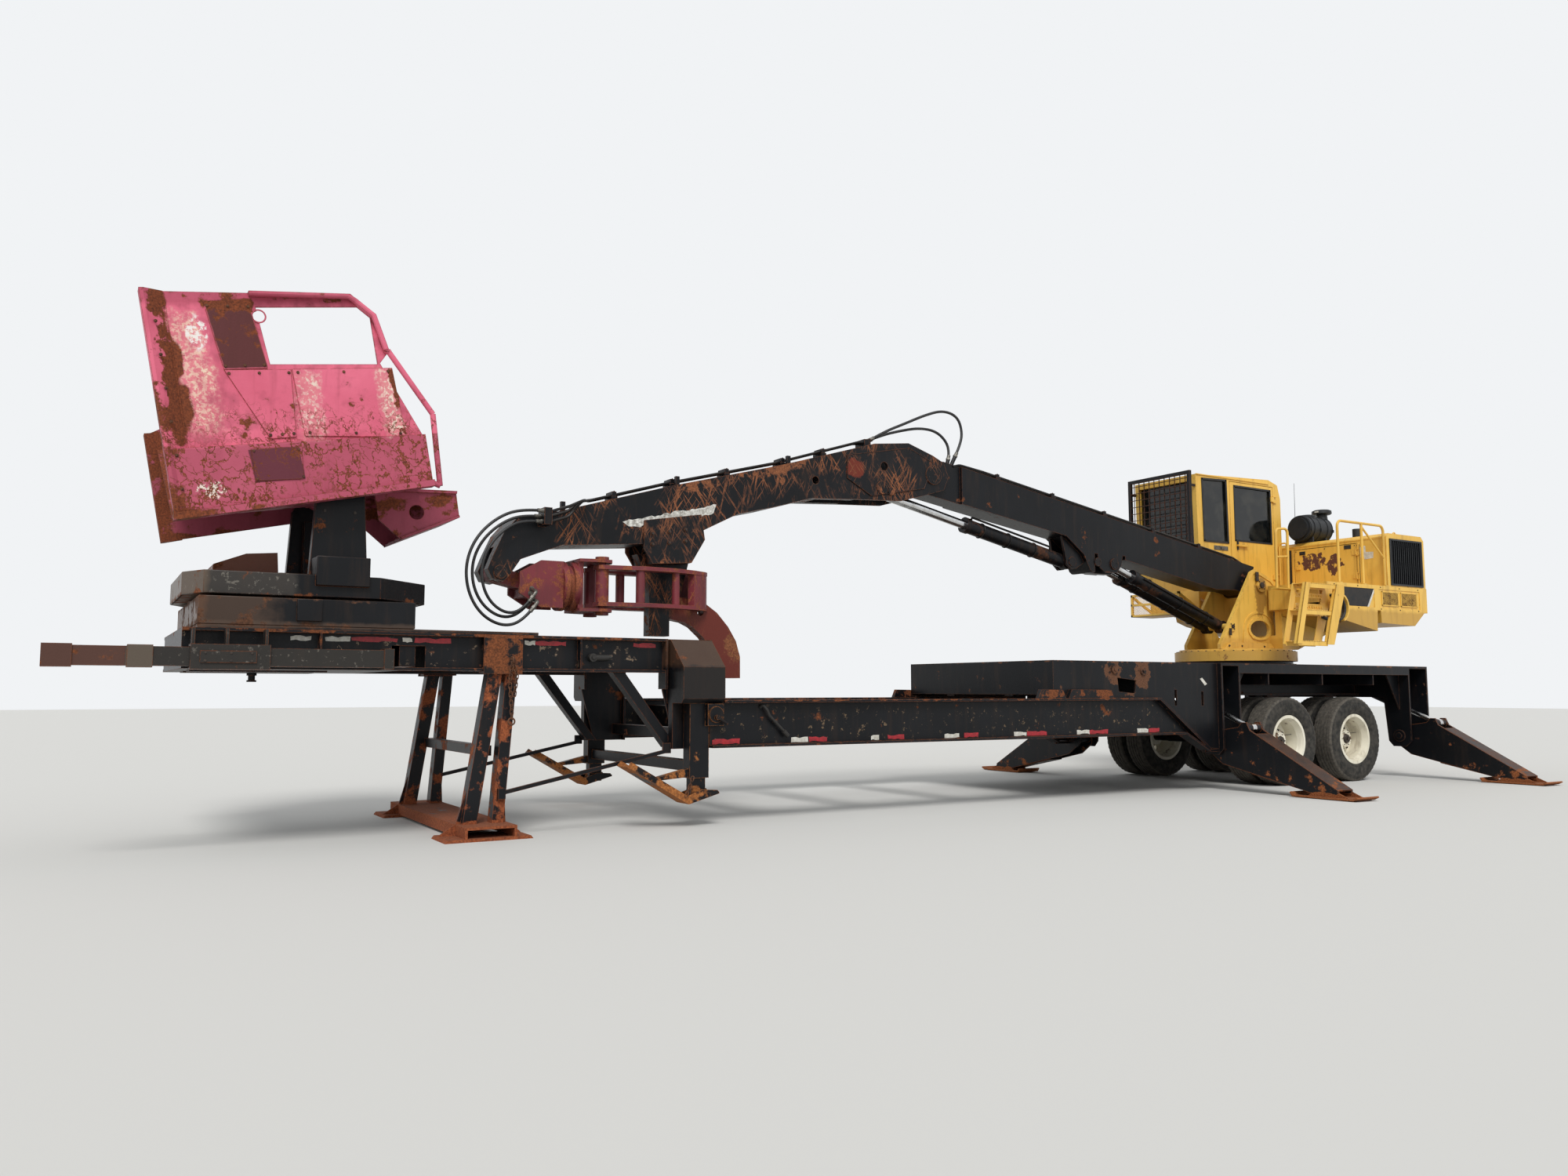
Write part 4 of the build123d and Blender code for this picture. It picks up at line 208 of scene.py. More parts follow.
def zoneMask(tree, place, zone):
    # one inside the zone's limits along each axis, or inside its ellipsoid, with a soft ragged border
    wander = addNode(tree, "TexNoise", {"Vector": place, "Scale": perMetre(90), "Detail": 6.0}).outputs[0]
    soft = zone.get("soft", 0.02)
    shake = combine(tree, "MULTIPLY", combine(tree, "SUBTRACT", wander, 0.5), soft * 4)
    mask = 1.0
    for axis, low, high in zone.get("limits", []):
        reach = addNode(tree, "VectorMath", {0: place, 1: axis}, operation="DOT_PRODUCT").outputs["Value"]
        reach = combine(tree, "ADD", reach, shake)
        above = addNode(tree, "MapRange", {"Value": reach, "From Min": low - soft, "From Max": low + soft})
        under = addNode(tree, "MapRange", {"Value": reach, "From Min": high + soft, "From Max": high - soft})
        both = combine(tree, "MULTIPLY", above.outputs[0], under.outputs[0])
        mask = combine(tree, "MULTIPLY", mask, both)
    if "centre" in zone:
        away = addNode(tree, "VectorMath", {0: place, 1: zone["centre"]}, operation="SUBTRACT").outputs[0]
        share = addNode(tree, "VectorMath", {0: away, 1: zone["radii"]}, operation="DIVIDE").outputs[0]
        far = addNode(tree, "VectorMath", {0: share}, operation="LENGTH").outputs["Value"]
        ragged = combine(tree, "MULTIPLY", combine(tree, "SUBTRACT", wander, 0.5), 1.6)
        far = combine(tree, "ADD", far, ragged)
        within = addNode(tree, "MapRange", {"Value": far, "From Min": 1.12, "From Max": 0.92}).outputs[0]
        mask = combine(tree, "MULTIPLY", mask, within)
    return mask


def strokes(tree, place, size, turn, share):
    # thin straight scratches at one slant in the upright plane, gathered in patches
    turned = addNode(tree, "Mapping", {"Vector": place, "Rotation": (0, radians(turn), 0)}).outputs[0]
    laid = addNode(tree, "Mapping", {"Vector": turned, "Scale": (1, 0.3, 0.05)}).outputs[0]
    noise = addNode(tree, "TexNoise", {"Vector": laid, "Scale": perMetre(size), "Detail": 3.0}).outputs[0]
    thin = addNode(tree, "MapRange", {"Value": noise, "From Min": 0.70 - share, "From Max": 0.74 - share})
    patch = speckle(tree, place, 420, 0.46, 0.60, detail=4)
    return combine(tree, "MULTIPLY", thin.outputs[0], patch)


def squiggles(tree, place, size, width):
    # gouges that wander: the contour lines of a soft noise
    laid = addNode(tree, "Mapping", {"Vector": place, "Scale": (1, 1, 0.62)}).outputs[0]
    noise = addNode(tree, "TexNoise", {"Vector": laid, "Scale": perMetre(size), "Detail": 4.0,
                                       "Roughness": 0.62}).outputs[0]
    off = combine(tree, "ABSOLUTE", combine(tree, "SUBTRACT", noise, 0.5), 0.0)
    line = addNode(tree, "MapRange", {"Value": off, "From Min": width, "From Max": width * 0.4}).outputs[0]
    return combine(tree, "MULTIPLY", line, speckle(tree, place, size * 2.2, 0.40, 0.52, detail=5))


def wornPaint(name, look):
    # enamel brushed or sprayed on steel, chipped at the edges, rusting where it is bare
    material, tree, shader = startMaterial(name)
    place = addNode(tree, "TexCoord").outputs["Object"]
    tone = speckle(tree, place, look["patch"], 0.35, 0.68)
    paint = mixColour(tree, tone, hexLinear(look["paint"]), hexLinear(look["shade"]))
    streaks = speckle(tree, place, 90, 0.52, 0.72, stretch=(1, 1, 0.12))
    paint = mixColour(tree, combine(tree, "MULTIPLY", streaks, look["grime"]), paint,
                      hexLinear(look["dirt"]))
    fine = speckle(tree, place, 14, 0.3, 0.7, detail=8)
    rustTone = mixColour(tree, fine, hexLinear(look["rustDark"]), hexLinear(look["rust"]))
    grown = addNode(tree, "TexNoise", {"Vector": place, "Scale": perMetre(look["rustSize"]),
                                       "Detail": 12.0, "Roughness": 0.68}).outputs[0]
    scarred = 0.0
    for zone in look.get("zones", []):
        inside = zoneMask(tree, place, zone)
        if "more" in zone:
            grown = combine(tree, "ADD", grown, combine(tree, "MULTIPLY", inside, zone["more"]))
        if "tint" in zone:
            paint = mixColour(tree, combine(tree, "MULTIPLY", inside, zone["share"]), paint,
                              hexLinear(zone["tint"]))
        if "bare" in zone:
            # primer and pale bare metal in ragged flakes
            flakes = speckle(tree, place, zone.get("flake", 120), 0.56 - zone["bare"], 0.60 - zone["bare"],
                             detail=10, rough=0.7)
            paint = mixColour(tree, combine(tree, "MULTIPLY", inside, flakes), paint,
                              hexLinear(zone.get("metal", "#CFC3B4")))
        if "scars" in zone:
            gouges = combine(tree, "MAXIMUM", squiggles(tree, place, 150, zone["scars"]),
                             squiggles(tree, addNode(tree, "Mapping", {
                                 "Vector": place, "Rotation": (0, 0.9, 0)}).outputs[0], 90, zone["scars"]))
            scarred = combine(tree, "MAXIMUM", scarred, combine(tree, "MULTIPLY", inside, gouges))
    bottom = 1 - look["rustShare"]
    rust = addNode(tree, "MapRange", {"Value": grown, "From Min": bottom, "From Max": bottom + 0.05})
    rust = rust.outputs[0]
    edges = edgeMask(tree, look["edge"], 0.80, 0.985)
    nibbled = speckle(tree, place, 45, 0.62 - look["edgeWear"], 0.72 - look["edgeWear"], detail=8)
    rust = combine(tree, "MAXIMUM", rust, combine(tree, "MULTIPLY", edges, nibbled))
    if look.get("zones"):
        rust = combine(tree, "MAXIMUM", rust, scarred)
    for turn in look.get("strokes", []):
        rust = combine(tree, "MAXIMUM", rust,
                       strokes(tree, place, look["strokeSize"], turn, look["strokeShare"]))
    colour = mixColour(tree, rust, paint, rustTone)
    # settled dust on faces that look up
    lean = addNode(tree, "SeparateXYZ", {0: addNode(tree, "NewGeometry").outputs["Normal"]}).outputs[2]
    upward = addNode(tree, "MapRange", {"Value": lean, "From Min": 0.5, "From Max": 1.0}).outputs[0]
    settled = combine(tree, "MULTIPLY", upward, speckle(tree, place, 220, 0.3, 0.75))
    settled = combine(tree, "MULTIPLY", settled, look["dustShare"])
    colour = mixColour(tree, settled, colour, hexLinear(look["dust"]))
    tree.links.new(colour, shader.inputs["Base Color"])
    gloss = addNode(tree, "MapRange", {"Value": rust, "To Min": look["gloss"], "To Max": 0.88}).outputs[0]
    gloss = combine(tree, "ADD", gloss, combine(tree, "MULTIPLY", settled, 0.3))
    gloss = combine(tree, "ADD", gloss, combine(tree, "MULTIPLY", fine, 0.08))
    tree.links.new(gloss, shader.inputs["Roughness"])
    shader.inputs["Specular IOR Level"].default_value = look.get("shine", 0.5)
    relief = combine(tree, "ADD", combine(tree, "MULTIPLY", rust, -0.5),
                     combine(tree, "MULTIPLY", fine, 0.35))
    bump = addNode(tree, "Bump", {"Strength": look["relief"], "Distance": 0.002, "Height": relief})
    tree.links.new(bump.outputs[0], shader.inputs["Normal"])
    return material


def varied(base, **changes):
    return {**base, **changes}


# A look's colours are sRGB, its sizes mm. Each zone is a place in metres where the paint differs:
# more adds rust, tint and share colour it, bare and flake chip it down to metal, scars gouge it.
# black machine enamel, chalky and chipped
blackLook = {
    "paint": "#0C0D10", "shade": "#141518", "patch": 600, "grime": 0.3, "dirt": "#38291F",
    "rust": "#8A5030", "rustDark": "#43281B", "rustSize": 210, "rustShare": 0.37, "edge": 9,
    "edgeWear": 0.24, "gloss": 0.36, "dust": "#5A4C3E", "dustShare": 0.4, "relief": 0.5, "shine": 0.22,
}
# warm yellow enamel, a little sun-bleached
yellowLook = {
    "paint": "#E8BB55", "shade": "#DCAA42", "patch": 900, "grime": 0.45, "dirt": "#8A6426",
    "rust": "#84482A", "rustDark": "#43261C", "rustSize": 220, "rustShare": 0.335, "edge": 6,
    "edgeWear": 0.12, "gloss": 0.4, "dust": "#C4A468", "dustShare": 0.4, "relief": 0.4,
}
# red enamel that the sun has faded to pink
pinkLook = {
    "paint": "#DA6A80", "shade": "#C8566E", "patch": 700, "grime": 0.3, "dirt": "#7A2E34",
    "rust": "#8C4A2C", "rustDark": "#4A2519", "rustSize": 180, "rustShare": 0.36, "edge": 10,
    "edgeWear": 0.26, "gloss": 0.5, "dust": "#8A5A52", "dustShare": 0.35, "relief": 0.6,
}
# the same red where it kept its depth, and black that has mostly gone to rust
darkRedLook = varied(pinkLook, paint="#7A2830", shade="#5E2026", rustShare=0.46, dirt="#35201C",
                     dustShare=0.3)
rustyLook = varied(blackLook, rustShare=0.50, edgeWear=0.3, rust="#94522F", rustDark="#4F2A1B")

# places along the tilted delimber wall: distance along it and up it from the tilt pin
tiltTurn, tiltPin = radians(10.35), Vector((-6.020, 0, 2.750))
alongWall = Vector((cos(tiltTurn), 0, sin(tiltTurn)))
upWall = Vector((-sin(tiltTurn), 0, cos(tiltTurn)))


def wallLimit(along, up, low, high):
    # a strip of the wall between two values of along * a + up * b
    axis = alongWall * along + upWall * up
    shift = axis.dot(tiltPin)
    return (tuple(axis), low + shift, high + shift)


def wallPoint(a, b, y):
    spot = tiltPin + alongWall * a + upWall * b
    return Vector((spot.x, y, spot.z))


nearOnly = ((0, 1, 0), -2.0, -0.74)
# far inside, lower strip with its gouges, rusted flange, cream flakes, covers and panel edges
delimberLook = varied(pinkLook, paint="#E27088", shade="#CE5C74", shine=0.3, zones=[
    {"limits": [((0, 1, 0), -0.735, 2.0)], "tint": "#5A2029", "share": 0.6, "more": 0.06},
    {"limits": [wallLimit(0, 1, -0.30, 0.285), nearOnly], "tint": "#8E3A4C", "share": 0.62, "soft": 0.012},
    {"limits": [wallLimit(0, 1, -0.30, 0.42), nearOnly], "scars": 0.024, "soft": 0.05},
    {"limits": [wallLimit(0, 1, 0.30, 0.56), nearOnly], "scars": 0.011, "soft": 0.05},
    {"limits": [wallLimit(1, 0, -1.3, -1.055), wallLimit(0, 1, -0.3, 0.85)], "more": 0.17, "soft": 0.06},
    {"limits": [wallLimit(1, 0.06, -1.07, -0.94), wallLimit(0, 1, 0.30, 1.46), nearOnly], "more": 0.15,
     "soft": 0.03},
    {"limits": [wallLimit(1, 0.10, -0.93, -0.74), wallLimit(0, 1, 0.42, 1.25), nearOnly],
     "tint": "#DDA090", "share": 0.42, "bare": 0.07, "flake": 30, "soft": 0.05, "metal": "#E6CDB4"},
    {"limits": [wallLimit(1, 0.10, -0.98, -0.87), wallLimit(0, 1, 0.30, 1.40), nearOnly], "more": 0.13,
     "soft": 0.03},
    {"limits": [wallLimit(1, 0.10, -0.78, -0.70), wallLimit(0, 1, 0.30, 0.75), nearOnly], "more": 0.10,
     "soft": 0.03},
    {"centre": wallPoint(-0.86, 1.13, -0.75), "radii": (0.07, 0.2, 0.11), "bare": 0.08, "flake": 50,
     "metal": "#E9E2DC"},
    {"centre": wallPoint(-0.93, -0.02, -0.82), "radii": (0.09, 0.2, 0.06), "bare": 0.06, "flake": 40,
     "metal": "#E4D6C8"},
    {"limits": [wallLimit(1, 0.134, -0.603, -0.310), wallLimit(0, 1, 0.862, 1.345), nearOnly],
     "tint": "#431D15", "share": 0.94, "more": 0.08, "soft": 0.004},
    {"limits": [wallLimit(1, 0.134, -0.64, -0.28), wallLimit(0, 1, 1.285, 1.37), nearOnly], "more": 0.22,
     "soft": 0.02},
    {"limits": [wallLimit(1, 0, -0.245, -0.10), wallLimit(0, 1, 0.30, 0.82), nearOnly], "tint": "#DB9F93",
     "share": 0.4, "bare": 0.05, "flake": 30, "soft": 0.04, "metal": "#E3CDBE"},
    {"limits": [wallLimit(1, 0, -0.27, -0.02), wallLimit(0, 1, 0.77, 0.835), nearOnly], "more": 0.12,
     "soft": 0.03},
    {"limits": [wallLimit(1, 0.05, 0.38, 0.50), wallLimit(0, 1, 0.30, 0.82), nearOnly], "tint": "#DFAC9B",
     "share": 0.4, "bare": 0.05, "flake": 30, "soft": 0.03, "metal": "#E8D6C4"},
    {"limits": [wallLimit(1, 0.05, 0.475, 0.53), wallLimit(0, 1, 0.29, 0.84), nearOnly], "more": 0.2,
     "soft": 0.015},
    {"limits": [wallLimit(0, 1, 1.33, 1.5)], "more": 0.09, "tint": "#8A2C40", "share": 0.5},
    {"limits": [wallLimit(0, 1, -0.25, -0.150)], "more": 0.13},
    {"limits": [wallLimit(1, 0.06, -0.64, -0.295), wallLimit(0, 1, 0.005, 0.247), nearOnly],
     "tint": "#451A22", "share": 0.85, "soft": 0.004},
])
# slanting scratches from logs, a red patch by the knuckle, rust along the top and under the arch
stickLook = varied(blackLook, rust="#9A6242", rustDark="#583526", strokes=(-34, -12, 22, 40), strokeSize=18,
                   strokeShare=0.10, zones=[
    {"limits": [((1, 0, 0), -4.5, -3.35), ((0, 0, 1), 2.3, 2.68)], "more": 0.03, "soft": 0.05},
    {"centre": (-0.91, -0.2, 3.43), "radii": (0.12, 0.05, 0.09), "tint": "#6A2A1C", "share": 0.95},
    {"limits": [((-0.258, 0, 0.966), 3.63, 3.80), ((1, 0, 0), -3.1, -1.5)], "more": 0.13, "soft": 0.03},
    {"limits": [((1, 0, 0), -2.7, -0.5), ((0.29, 0, 0.957), 2.60, 2.90)], "more": 0.05, "soft": 0.05},
])
# rusty top flange and stone chips along the web
railLook = varied(blackLook, zones=[
    {"limits": [((0, 0, 1), 1.056, 1.2)], "more": 0.17},
    {"limits": [((0, 0, 1), 1.035, 1.056)], "more": 0.1, "soft": 0.004},
    {"limits": [((0, 0, 1), 0.60, 0.668)], "more": 0.06, "soft": 0.006},
    {"limits": [((0, 0, 1), 0.69, 1.0)], "bare": -0.045, "flake": 60, "metal": "#6E5B46", "soft": 0.05},
])
# rusty walking surface, and rust around the torn opening in the skirt
deckLook = varied(blackLook, rust="#75503A", rustDark="#4A3226", rustSize=150, zones=[
    {"limits": [((0, 0, 1), 1.425, 1.46)], "more": 0.10, "soft": 0.006},
    {"centre": (1.76, -1.2, 1.33), "radii": (0.14, 0.1, 0.13), "more": 0.2},
    {"centre": (2.21, -1.2, 1.30), "radii": (0.12, 0.1, 0.17), "more": 0.22},
    {"centre": (1.96, -1.2, 1.18), "radii": (0.22, 0.1, 0.12), "more": 0.1},
])
# rust along the top flange and grey chips on the near web
gooseLook = varied(blackLook, zones=[
    {"limits": [((0, 0, 1), 1.545, 1.6)], "more": 0.12, "soft": 0.008},
    {"limits": [((0, 1, 0), -0.960, -0.915)], "bare": -0.05, "flake": 90, "metal": "#7C6A58", "soft": 0.004},
    {"centre": (-4.84, -1.0, 1.42), "radii": (0.25, 0.1, 0.2), "more": 0.16},
])
# brown dust on the box of the frame's drop
dropLook = varied(blackLook, rustShare=0.36, zones=[
    {"limits": [((0, 0, 1), 1.335, 1.6), ((0, 1, 0), -1.3, -0.9)], "tint": "#4A3528", "share": 0.75,
     "more": 0.05},
    {"limits": [((0, 0, 1), 1.05, 1.335), ((0, 1, 0), -1.3, -1.2)], "tint": "#2A2522", "share": 0.6},
])
# orange feet, and brown dust where the outrigger arms look up
armLook = varied(blackLook, edgeWear=0.34, edge=14, zones=[
    {"limits": [((0, 0, 1), -0.1, 0.062)], "more": 0.3, "soft": 0.01},
    {"limits": [((0, 0, 1), 0.06, 0.2)], "more": 0.10, "soft": 0.03},
    {"limits": [((0, 0, 1), 0.2, 0.75)], "more": 0.025},
], rust="#A9663C", rustDark="#5B3420", rustSize=150, dust="#6B4631", dustShare=0.85)
# front stand, rusted most at its foot
standLook = varied(rustyLook, rustShare=0.47, zones=[
    {"limits": [((0, 0, 1), -0.1, 0.125)], "more": 0.2, "soft": 0.015},
    {"limits": [((0, 1, 0), -1.3, -0.8), ((0, 0, 1), 0.1, 0.9)], "more": 0.03},
], rust="#A45C38", rustDark="#5E3020")
# landing gear with orange shoe and legs
gearLook = varied(blackLook, zones=[
    {"limits": [((0, 0, 1), 0.15, 0.6), ((1, 0, 0), -3.9, -3.31)], "more": 0.16},
    {"limits": [((0, 0, 1), 0.15, 0.33)], "more": 0.1},
], rust="#B5743F", rustDark="#643A22")
# heel under the stick, with a bare red-brown curve
heelLook = varied(stickLook, zones=[
    {"limits": [((1, 0, 0), -2.93, -2.0), ((0, 0, 1), 1.1, 2.02)], "tint": "#6E3026", "share": 0.85,
     "more": 0.10},
    {"limits": [((1, 0, 0), -3.4, -2.5), ((0, 0, 1), 2.29, 2.6)], "more": 0.05},
], strokeShare=0.13)
# service door where burnt paint has flaked in two patches
hoodLook = varied(yellowLook, rust="#6E4232", rustDark="#3F2720", rustSize=75, zones=[
    {"centre": (7.0, -0.08, 2.93), "radii": (0.1, 0.21, 0.12), "more": 0.25},
    {"centre": (7.0, -0.38, 2.87), "radii": (0.1, 0.12, 0.14), "more": 0.25},
])
# sliding beam: brown outer end, grey collar, dusty black sleeve
slideLook = varied(blackLook, dustShare=0.6, zones=[
    {"limits": [((1, 0, 0), -8.2, -7.428)], "tint": "#563A31", "share": 0.9, "more": 0.05, "soft": 0.006},
    {"limits": [((1, 0, 0), -7.428, -7.268)], "tint": "#5E5348", "share": 0.9, "more": 0.04, "soft": 0.004},
    {"limits": [((1, 0, 0), -7.268, -5.0)], "tint": "#3C3833", "share": 0.55, "bare": -0.03, "flake": 40,
     "metal": "#5C5750", "soft": 0.004},
])
# plate box around the drum, brown at its front end
fasciaLook = varied(blackLook, rustShare=0.40, rust="#6B4834", rustDark="#3B2A21", dustShare=0.5, zones=[
    {"limits": [((1, 0, 0), -7.2, -6.52)], "tint": "#4B3B31", "share": 0.8, "more": 0.03, "soft": 0.09},
    {"limits": [((1, 0, 0), -7.2, -6.955)], "tint": "#5F4433", "share": 0.7, "more": 0.08, "soft": 0.02},
    {"limits": [((0, 0, 1), 1.58, 1.625)], "tint": "#5C4A3E", "share": 0.5, "more": 0.08, "soft": 0.01},
    {"limits": [((0, 0, 1), 1.775, 1.81)], "more": 0.07, "soft": 0.008},
])
# swivel frame, rubbed grey ahead of the columns and brown on its hood
swivelLook = varied(blackLook, dustShare=0.55, zones=[
    {"limits": [((0, 0, 1), 1.80, 2.02), ((1, 0, 0), -7.2, -6.35)], "tint": "#4A4540", "share": 0.6,
     "bare": -0.02, "flake": 45, "metal": "#6B665E", "soft": 0.03},
    {"limits": [((0, 0, 1), 1.80, 1.845)], "more": 0.07, "soft": 0.01},
    {"limits": [((1, 0, 0), -7.2, -6.93)], "tint": "#6A5A4C", "share": 0.6, "more": 0.05, "soft": 0.02},
    {"limits": [((0, 0, 1), 2.019, 2.25), ((1, 0, 0), -7.0, -6.38)], "tint": "#7A4A38", "share": 0.85,
     "more": 0.12, "soft": 0.01},
])
# oily cylinder barrels
barrelLook = varied(blackLook, rustShare=0.43, rust="#5E3B29", rustDark="#2E1F18", rustSize=320, grime=0.6)
# grapple, scratched on the slant
grappleLook = varied(darkRedLook, rust="#A55C3A", rustDark="#5A2D20", strokes=(20, 158), strokeSize=22,
                     strokeShare=0.08, zones=[
    {"limits": [((1, 0, 0), -3.75, -3.40), ((0, 1, 0), -2.0, -0.15)], "more": 0.09, "soft": 0.03},
    {"limits": [((1, 0, 0), -4.03, -3.92)], "more": 0.13},
    {"limits": [((1, 0, 0), -3.25, -2.4), ((0, 0, 1), 0.9, 1.75)], "more": 0.10},
])
# turntable and mast with brown dust at the foot and beside the pins
baseLook = varied(yellowLook, zones=[
    {"limits": [((0, 0, 1), 1.49, 1.64)], "tint": "#A87B2E", "share": 0.6, "more": 0.06, "soft": 0.01},
    {"limits": [((0, 0, 1), 1.655, 1.80)], "tint": "#B98A35", "share": 0.5, "more": 0.03},
    {"centre": (5.54, -0.3, 2.36), "radii": (0.12, 0.1, 0.26), "tint": "#7A5226", "share": 0.7, "more": 0.05},
])
# platform with a dirty lower edge
platformLook = varied(yellowLook, zones=[
    {"limits": [((0, 0, 1), 1.8, 2.17)], "tint": "#A07526", "share": 0.55, "more": 0.02},
])
# cream disc wheels with road grime and rust around the hubs
rimLook = varied(yellowLook, paint="#E9E4D2", shade="#D8D0BA", dirt="#7D6A50", rustShare=0.385, rustSize=120,
                 edge=4, dust="#A59C88", gloss=0.5, grime=0.5, rust="#7C5638", rustDark="#4B3627", zones=[
                     {"centre": (x, side * 1.0, axleHeight), "radii": (0.2, 0.16, 0.2), "more": 0.09}
                     for x in axlePlaces.values() for side in (-1, 1)])

blackEnamel = wornPaint("blackEnamel", blackLook)
stickEnamel = wornPaint("stickEnamel", stickLook)
heelEnamel = wornPaint("heelEnamel", heelLook)
railEnamel = wornPaint("railEnamel", railLook)
deckEnamel = wornPaint("deckEnamel", deckLook)
gooseEnamel = wornPaint("gooseEnamel", gooseLook)
dropEnamel = wornPaint("dropEnamel", dropLook)
armEnamel = wornPaint("armEnamel", armLook)
standEnamel = wornPaint("standEnamel", standLook)
gearEnamel = wornPaint("gearEnamel", gearLook)
yellowEnamel = wornPaint("yellowEnamel", yellowLook)
hoodEnamel = wornPaint("hoodEnamel", hoodLook)
baseEnamel = wornPaint("baseEnamel", baseLook)
platformEnamel = wornPaint("platformEnamel", platformLook)
fadedRedEnamel = wornPaint("fadedRedEnamel", delimberLook)
darkRedEnamel = wornPaint("darkRedEnamel", grappleLook)
barrelEnamel = wornPaint("barrelEnamel", barrelLook)
slideEnamel = wornPaint("slideEnamel", slideLook)
fasciaEnamel = wornPaint("fasciaEnamel", fasciaLook)
swivelEnamel = wornPaint("swivelEnamel", swivelLook)
creamEnamel = wornPaint("creamEnamel", rimLook)
print("painted steel made")

wheelBodies = {(row, side): f"wheel_{row}_{side}" for row in ("front", "rear") for side in ("left", "right")}
enamels = {
    blackEnamel: ["stand_strut", "swing_bearing", "outrigger_barrels", "boom", "cab_guard", "kingpin",
                  "axle_set"],
    stickEnamel: ["stick"], heelEnamel: ["heel"], railEnamel: ["main_rails"], deckEnamel: ["deck_frame"],
    gooseEnamel: ["gooseneck"], dropEnamel: ["drop_frame"], armEnamel: [], standEnamel: ["front_stand"],
    gearEnamel: ["landing_gear"],
    yellowEnamel: ["engine_house", "handrails", "ladder", "cab_shell", "cab_door", "cab_step"],
    hoodEnamel: ["engine_door"], baseEnamel: ["upper_base"], platformEnamel: ["platform"],
    fadedRedEnamel: ["delimber_body"], barrelEnamel: ["hoist_barrels", "stick_barrel"],
    slideEnamel: ["beam_sleeve", "slide_beam"],
    fasciaEnamel: ["delimber_drum"], swivelEnamel: ["delimber_yoke"],
    darkRedEnamel: ["grapple_head", "jaw_left", "jaw_right"],
}
for rowName in ("front", "rear"):
    for sideName in ("left", "right"):
        enamels[armEnamel].append(f"outrigger_arm_{rowName}_{sideName}")


def dress(nodeName, material):
    for materialSlot in nodes[nodeName].material_slots:
        materialSlot.material = material


for enamel, members in enamels.items():
    for member in members:
        dress(member, enamel)


def chromedSteel():
    # hard chrome on a ground rod: bright, with faint rings and a film of dust
    look = {"tint": "#D9DADB", "film": "#8F8A80"}
    material, tree, shader = startMaterial("chromedSteel")
    place = addNode(tree, "TexCoord").outputs["Object"]
    film = speckle(tree, place, 120, 0.45, 0.8)
    tree.links.new(mixColour(tree, film, hexLinear(look["tint"]), hexLinear(look["film"])),
                   shader.inputs["Base Color"])
    shader.inputs["Metallic"].default_value = 1.0
    tree.links.new(addNode(tree, "MapRange", {"Value": film, "To Min": 0.16, "To Max": 0.42}).outputs[0],
                   shader.inputs["Roughness"])
    return material


def tyreRubber(name, axleX):
    # cured rubber: charcoal sidewalls with moulded rings and a tread greyed brown by road dust
    look = {"wall": "#262523", "dust": "#57524A", "tread": "#5F5950", "treadDark": "#3A3733",
            "ringPitch": 7, "shoulder": 0.497}
    material, tree, shader = startMaterial(name)
    place = addNode(tree, "TexCoord").outputs["Object"]
    fromAxle = addNode(tree, "VectorMath", {0: place, 1: (axleX, 0, axleHeight)},
                       operation="SUBTRACT").outputs[0]
    across = addNode(tree, "VectorMath", {0: fromAxle, 1: (1, 0, 1)}, operation="MULTIPLY").outputs[0]
    radius = addNode(tree, "VectorMath", {0: across}, operation="LENGTH").outputs["Value"]
    dusty = speckle(tree, place, 60, 0.38, 0.75, detail=9)
    wall = mixColour(tree, combine(tree, "MULTIPLY", dusty, 0.7), hexLinear(look["wall"]),
                     hexLinear(look["dust"]))
    tread = mixColour(tree, speckle(tree, place, 34, 0.35, 0.7, detail=8), hexLinear(look["tread"]),
                      hexLinear(look["treadDark"]))
    outside = addNode(tree, "MapRange", {"Value": radius, "From Min": look["shoulder"] - 0.004,
                                         "From Max": look["shoulder"] + 0.004}).outputs[0]
    tree.links.new(mixColour(tree, outside, wall, tread), shader.inputs["Base Color"])
    shader.inputs["Roughness"].default_value = 0.82
    shader.inputs["Specular IOR Level"].default_value = 0.3
    turns = combine(tree, "MULTIPLY", radius, 2 * pi * perMetre(look["ringPitch"]))
    ridges = combine(tree, "MULTIPLY", addNode(tree, "Math", {0: turns}, operation="SINE").outputs[0], 0.3)
    grain = combine(tree, "ADD", speckle(tree, place, 6, 0.3, 0.7), ridges)
    bump = addNode(tree, "Bump", {"Strength": 0.4, "Distance": 0.0012, "Height": grain})
    tree.links.new(bump.outputs[0], shader.inputs["Normal"])
    return material


def tintedGlass():
    # laminated pane with a grey tint and a dusty skin that dulls it in patches
    look = {"tint": "#161B1D", "dust": "#5C5A50"}
    material, tree, shader = startMaterial("tintedGlass")
    place = addNode(tree, "TexCoord").outputs["Object"]
    dusty = speckle(tree, place, 260, 0.45, 0.85)
    tree.links.new(mixColour(tree, dusty, hexLinear(look["tint"]), hexLinear(look["dust"])),
                   shader.inputs["Base Color"])
    tree.links.new(addNode(tree, "MapRange", {"Value": dusty, "To Min": 0.04, "To Max": 0.3}).outputs[0],
                   shader.inputs["Roughness"])
    shader.inputs["Transmission Weight"].default_value = 0.6
    shader.inputs["IOR"].default_value = 1.5
    return material


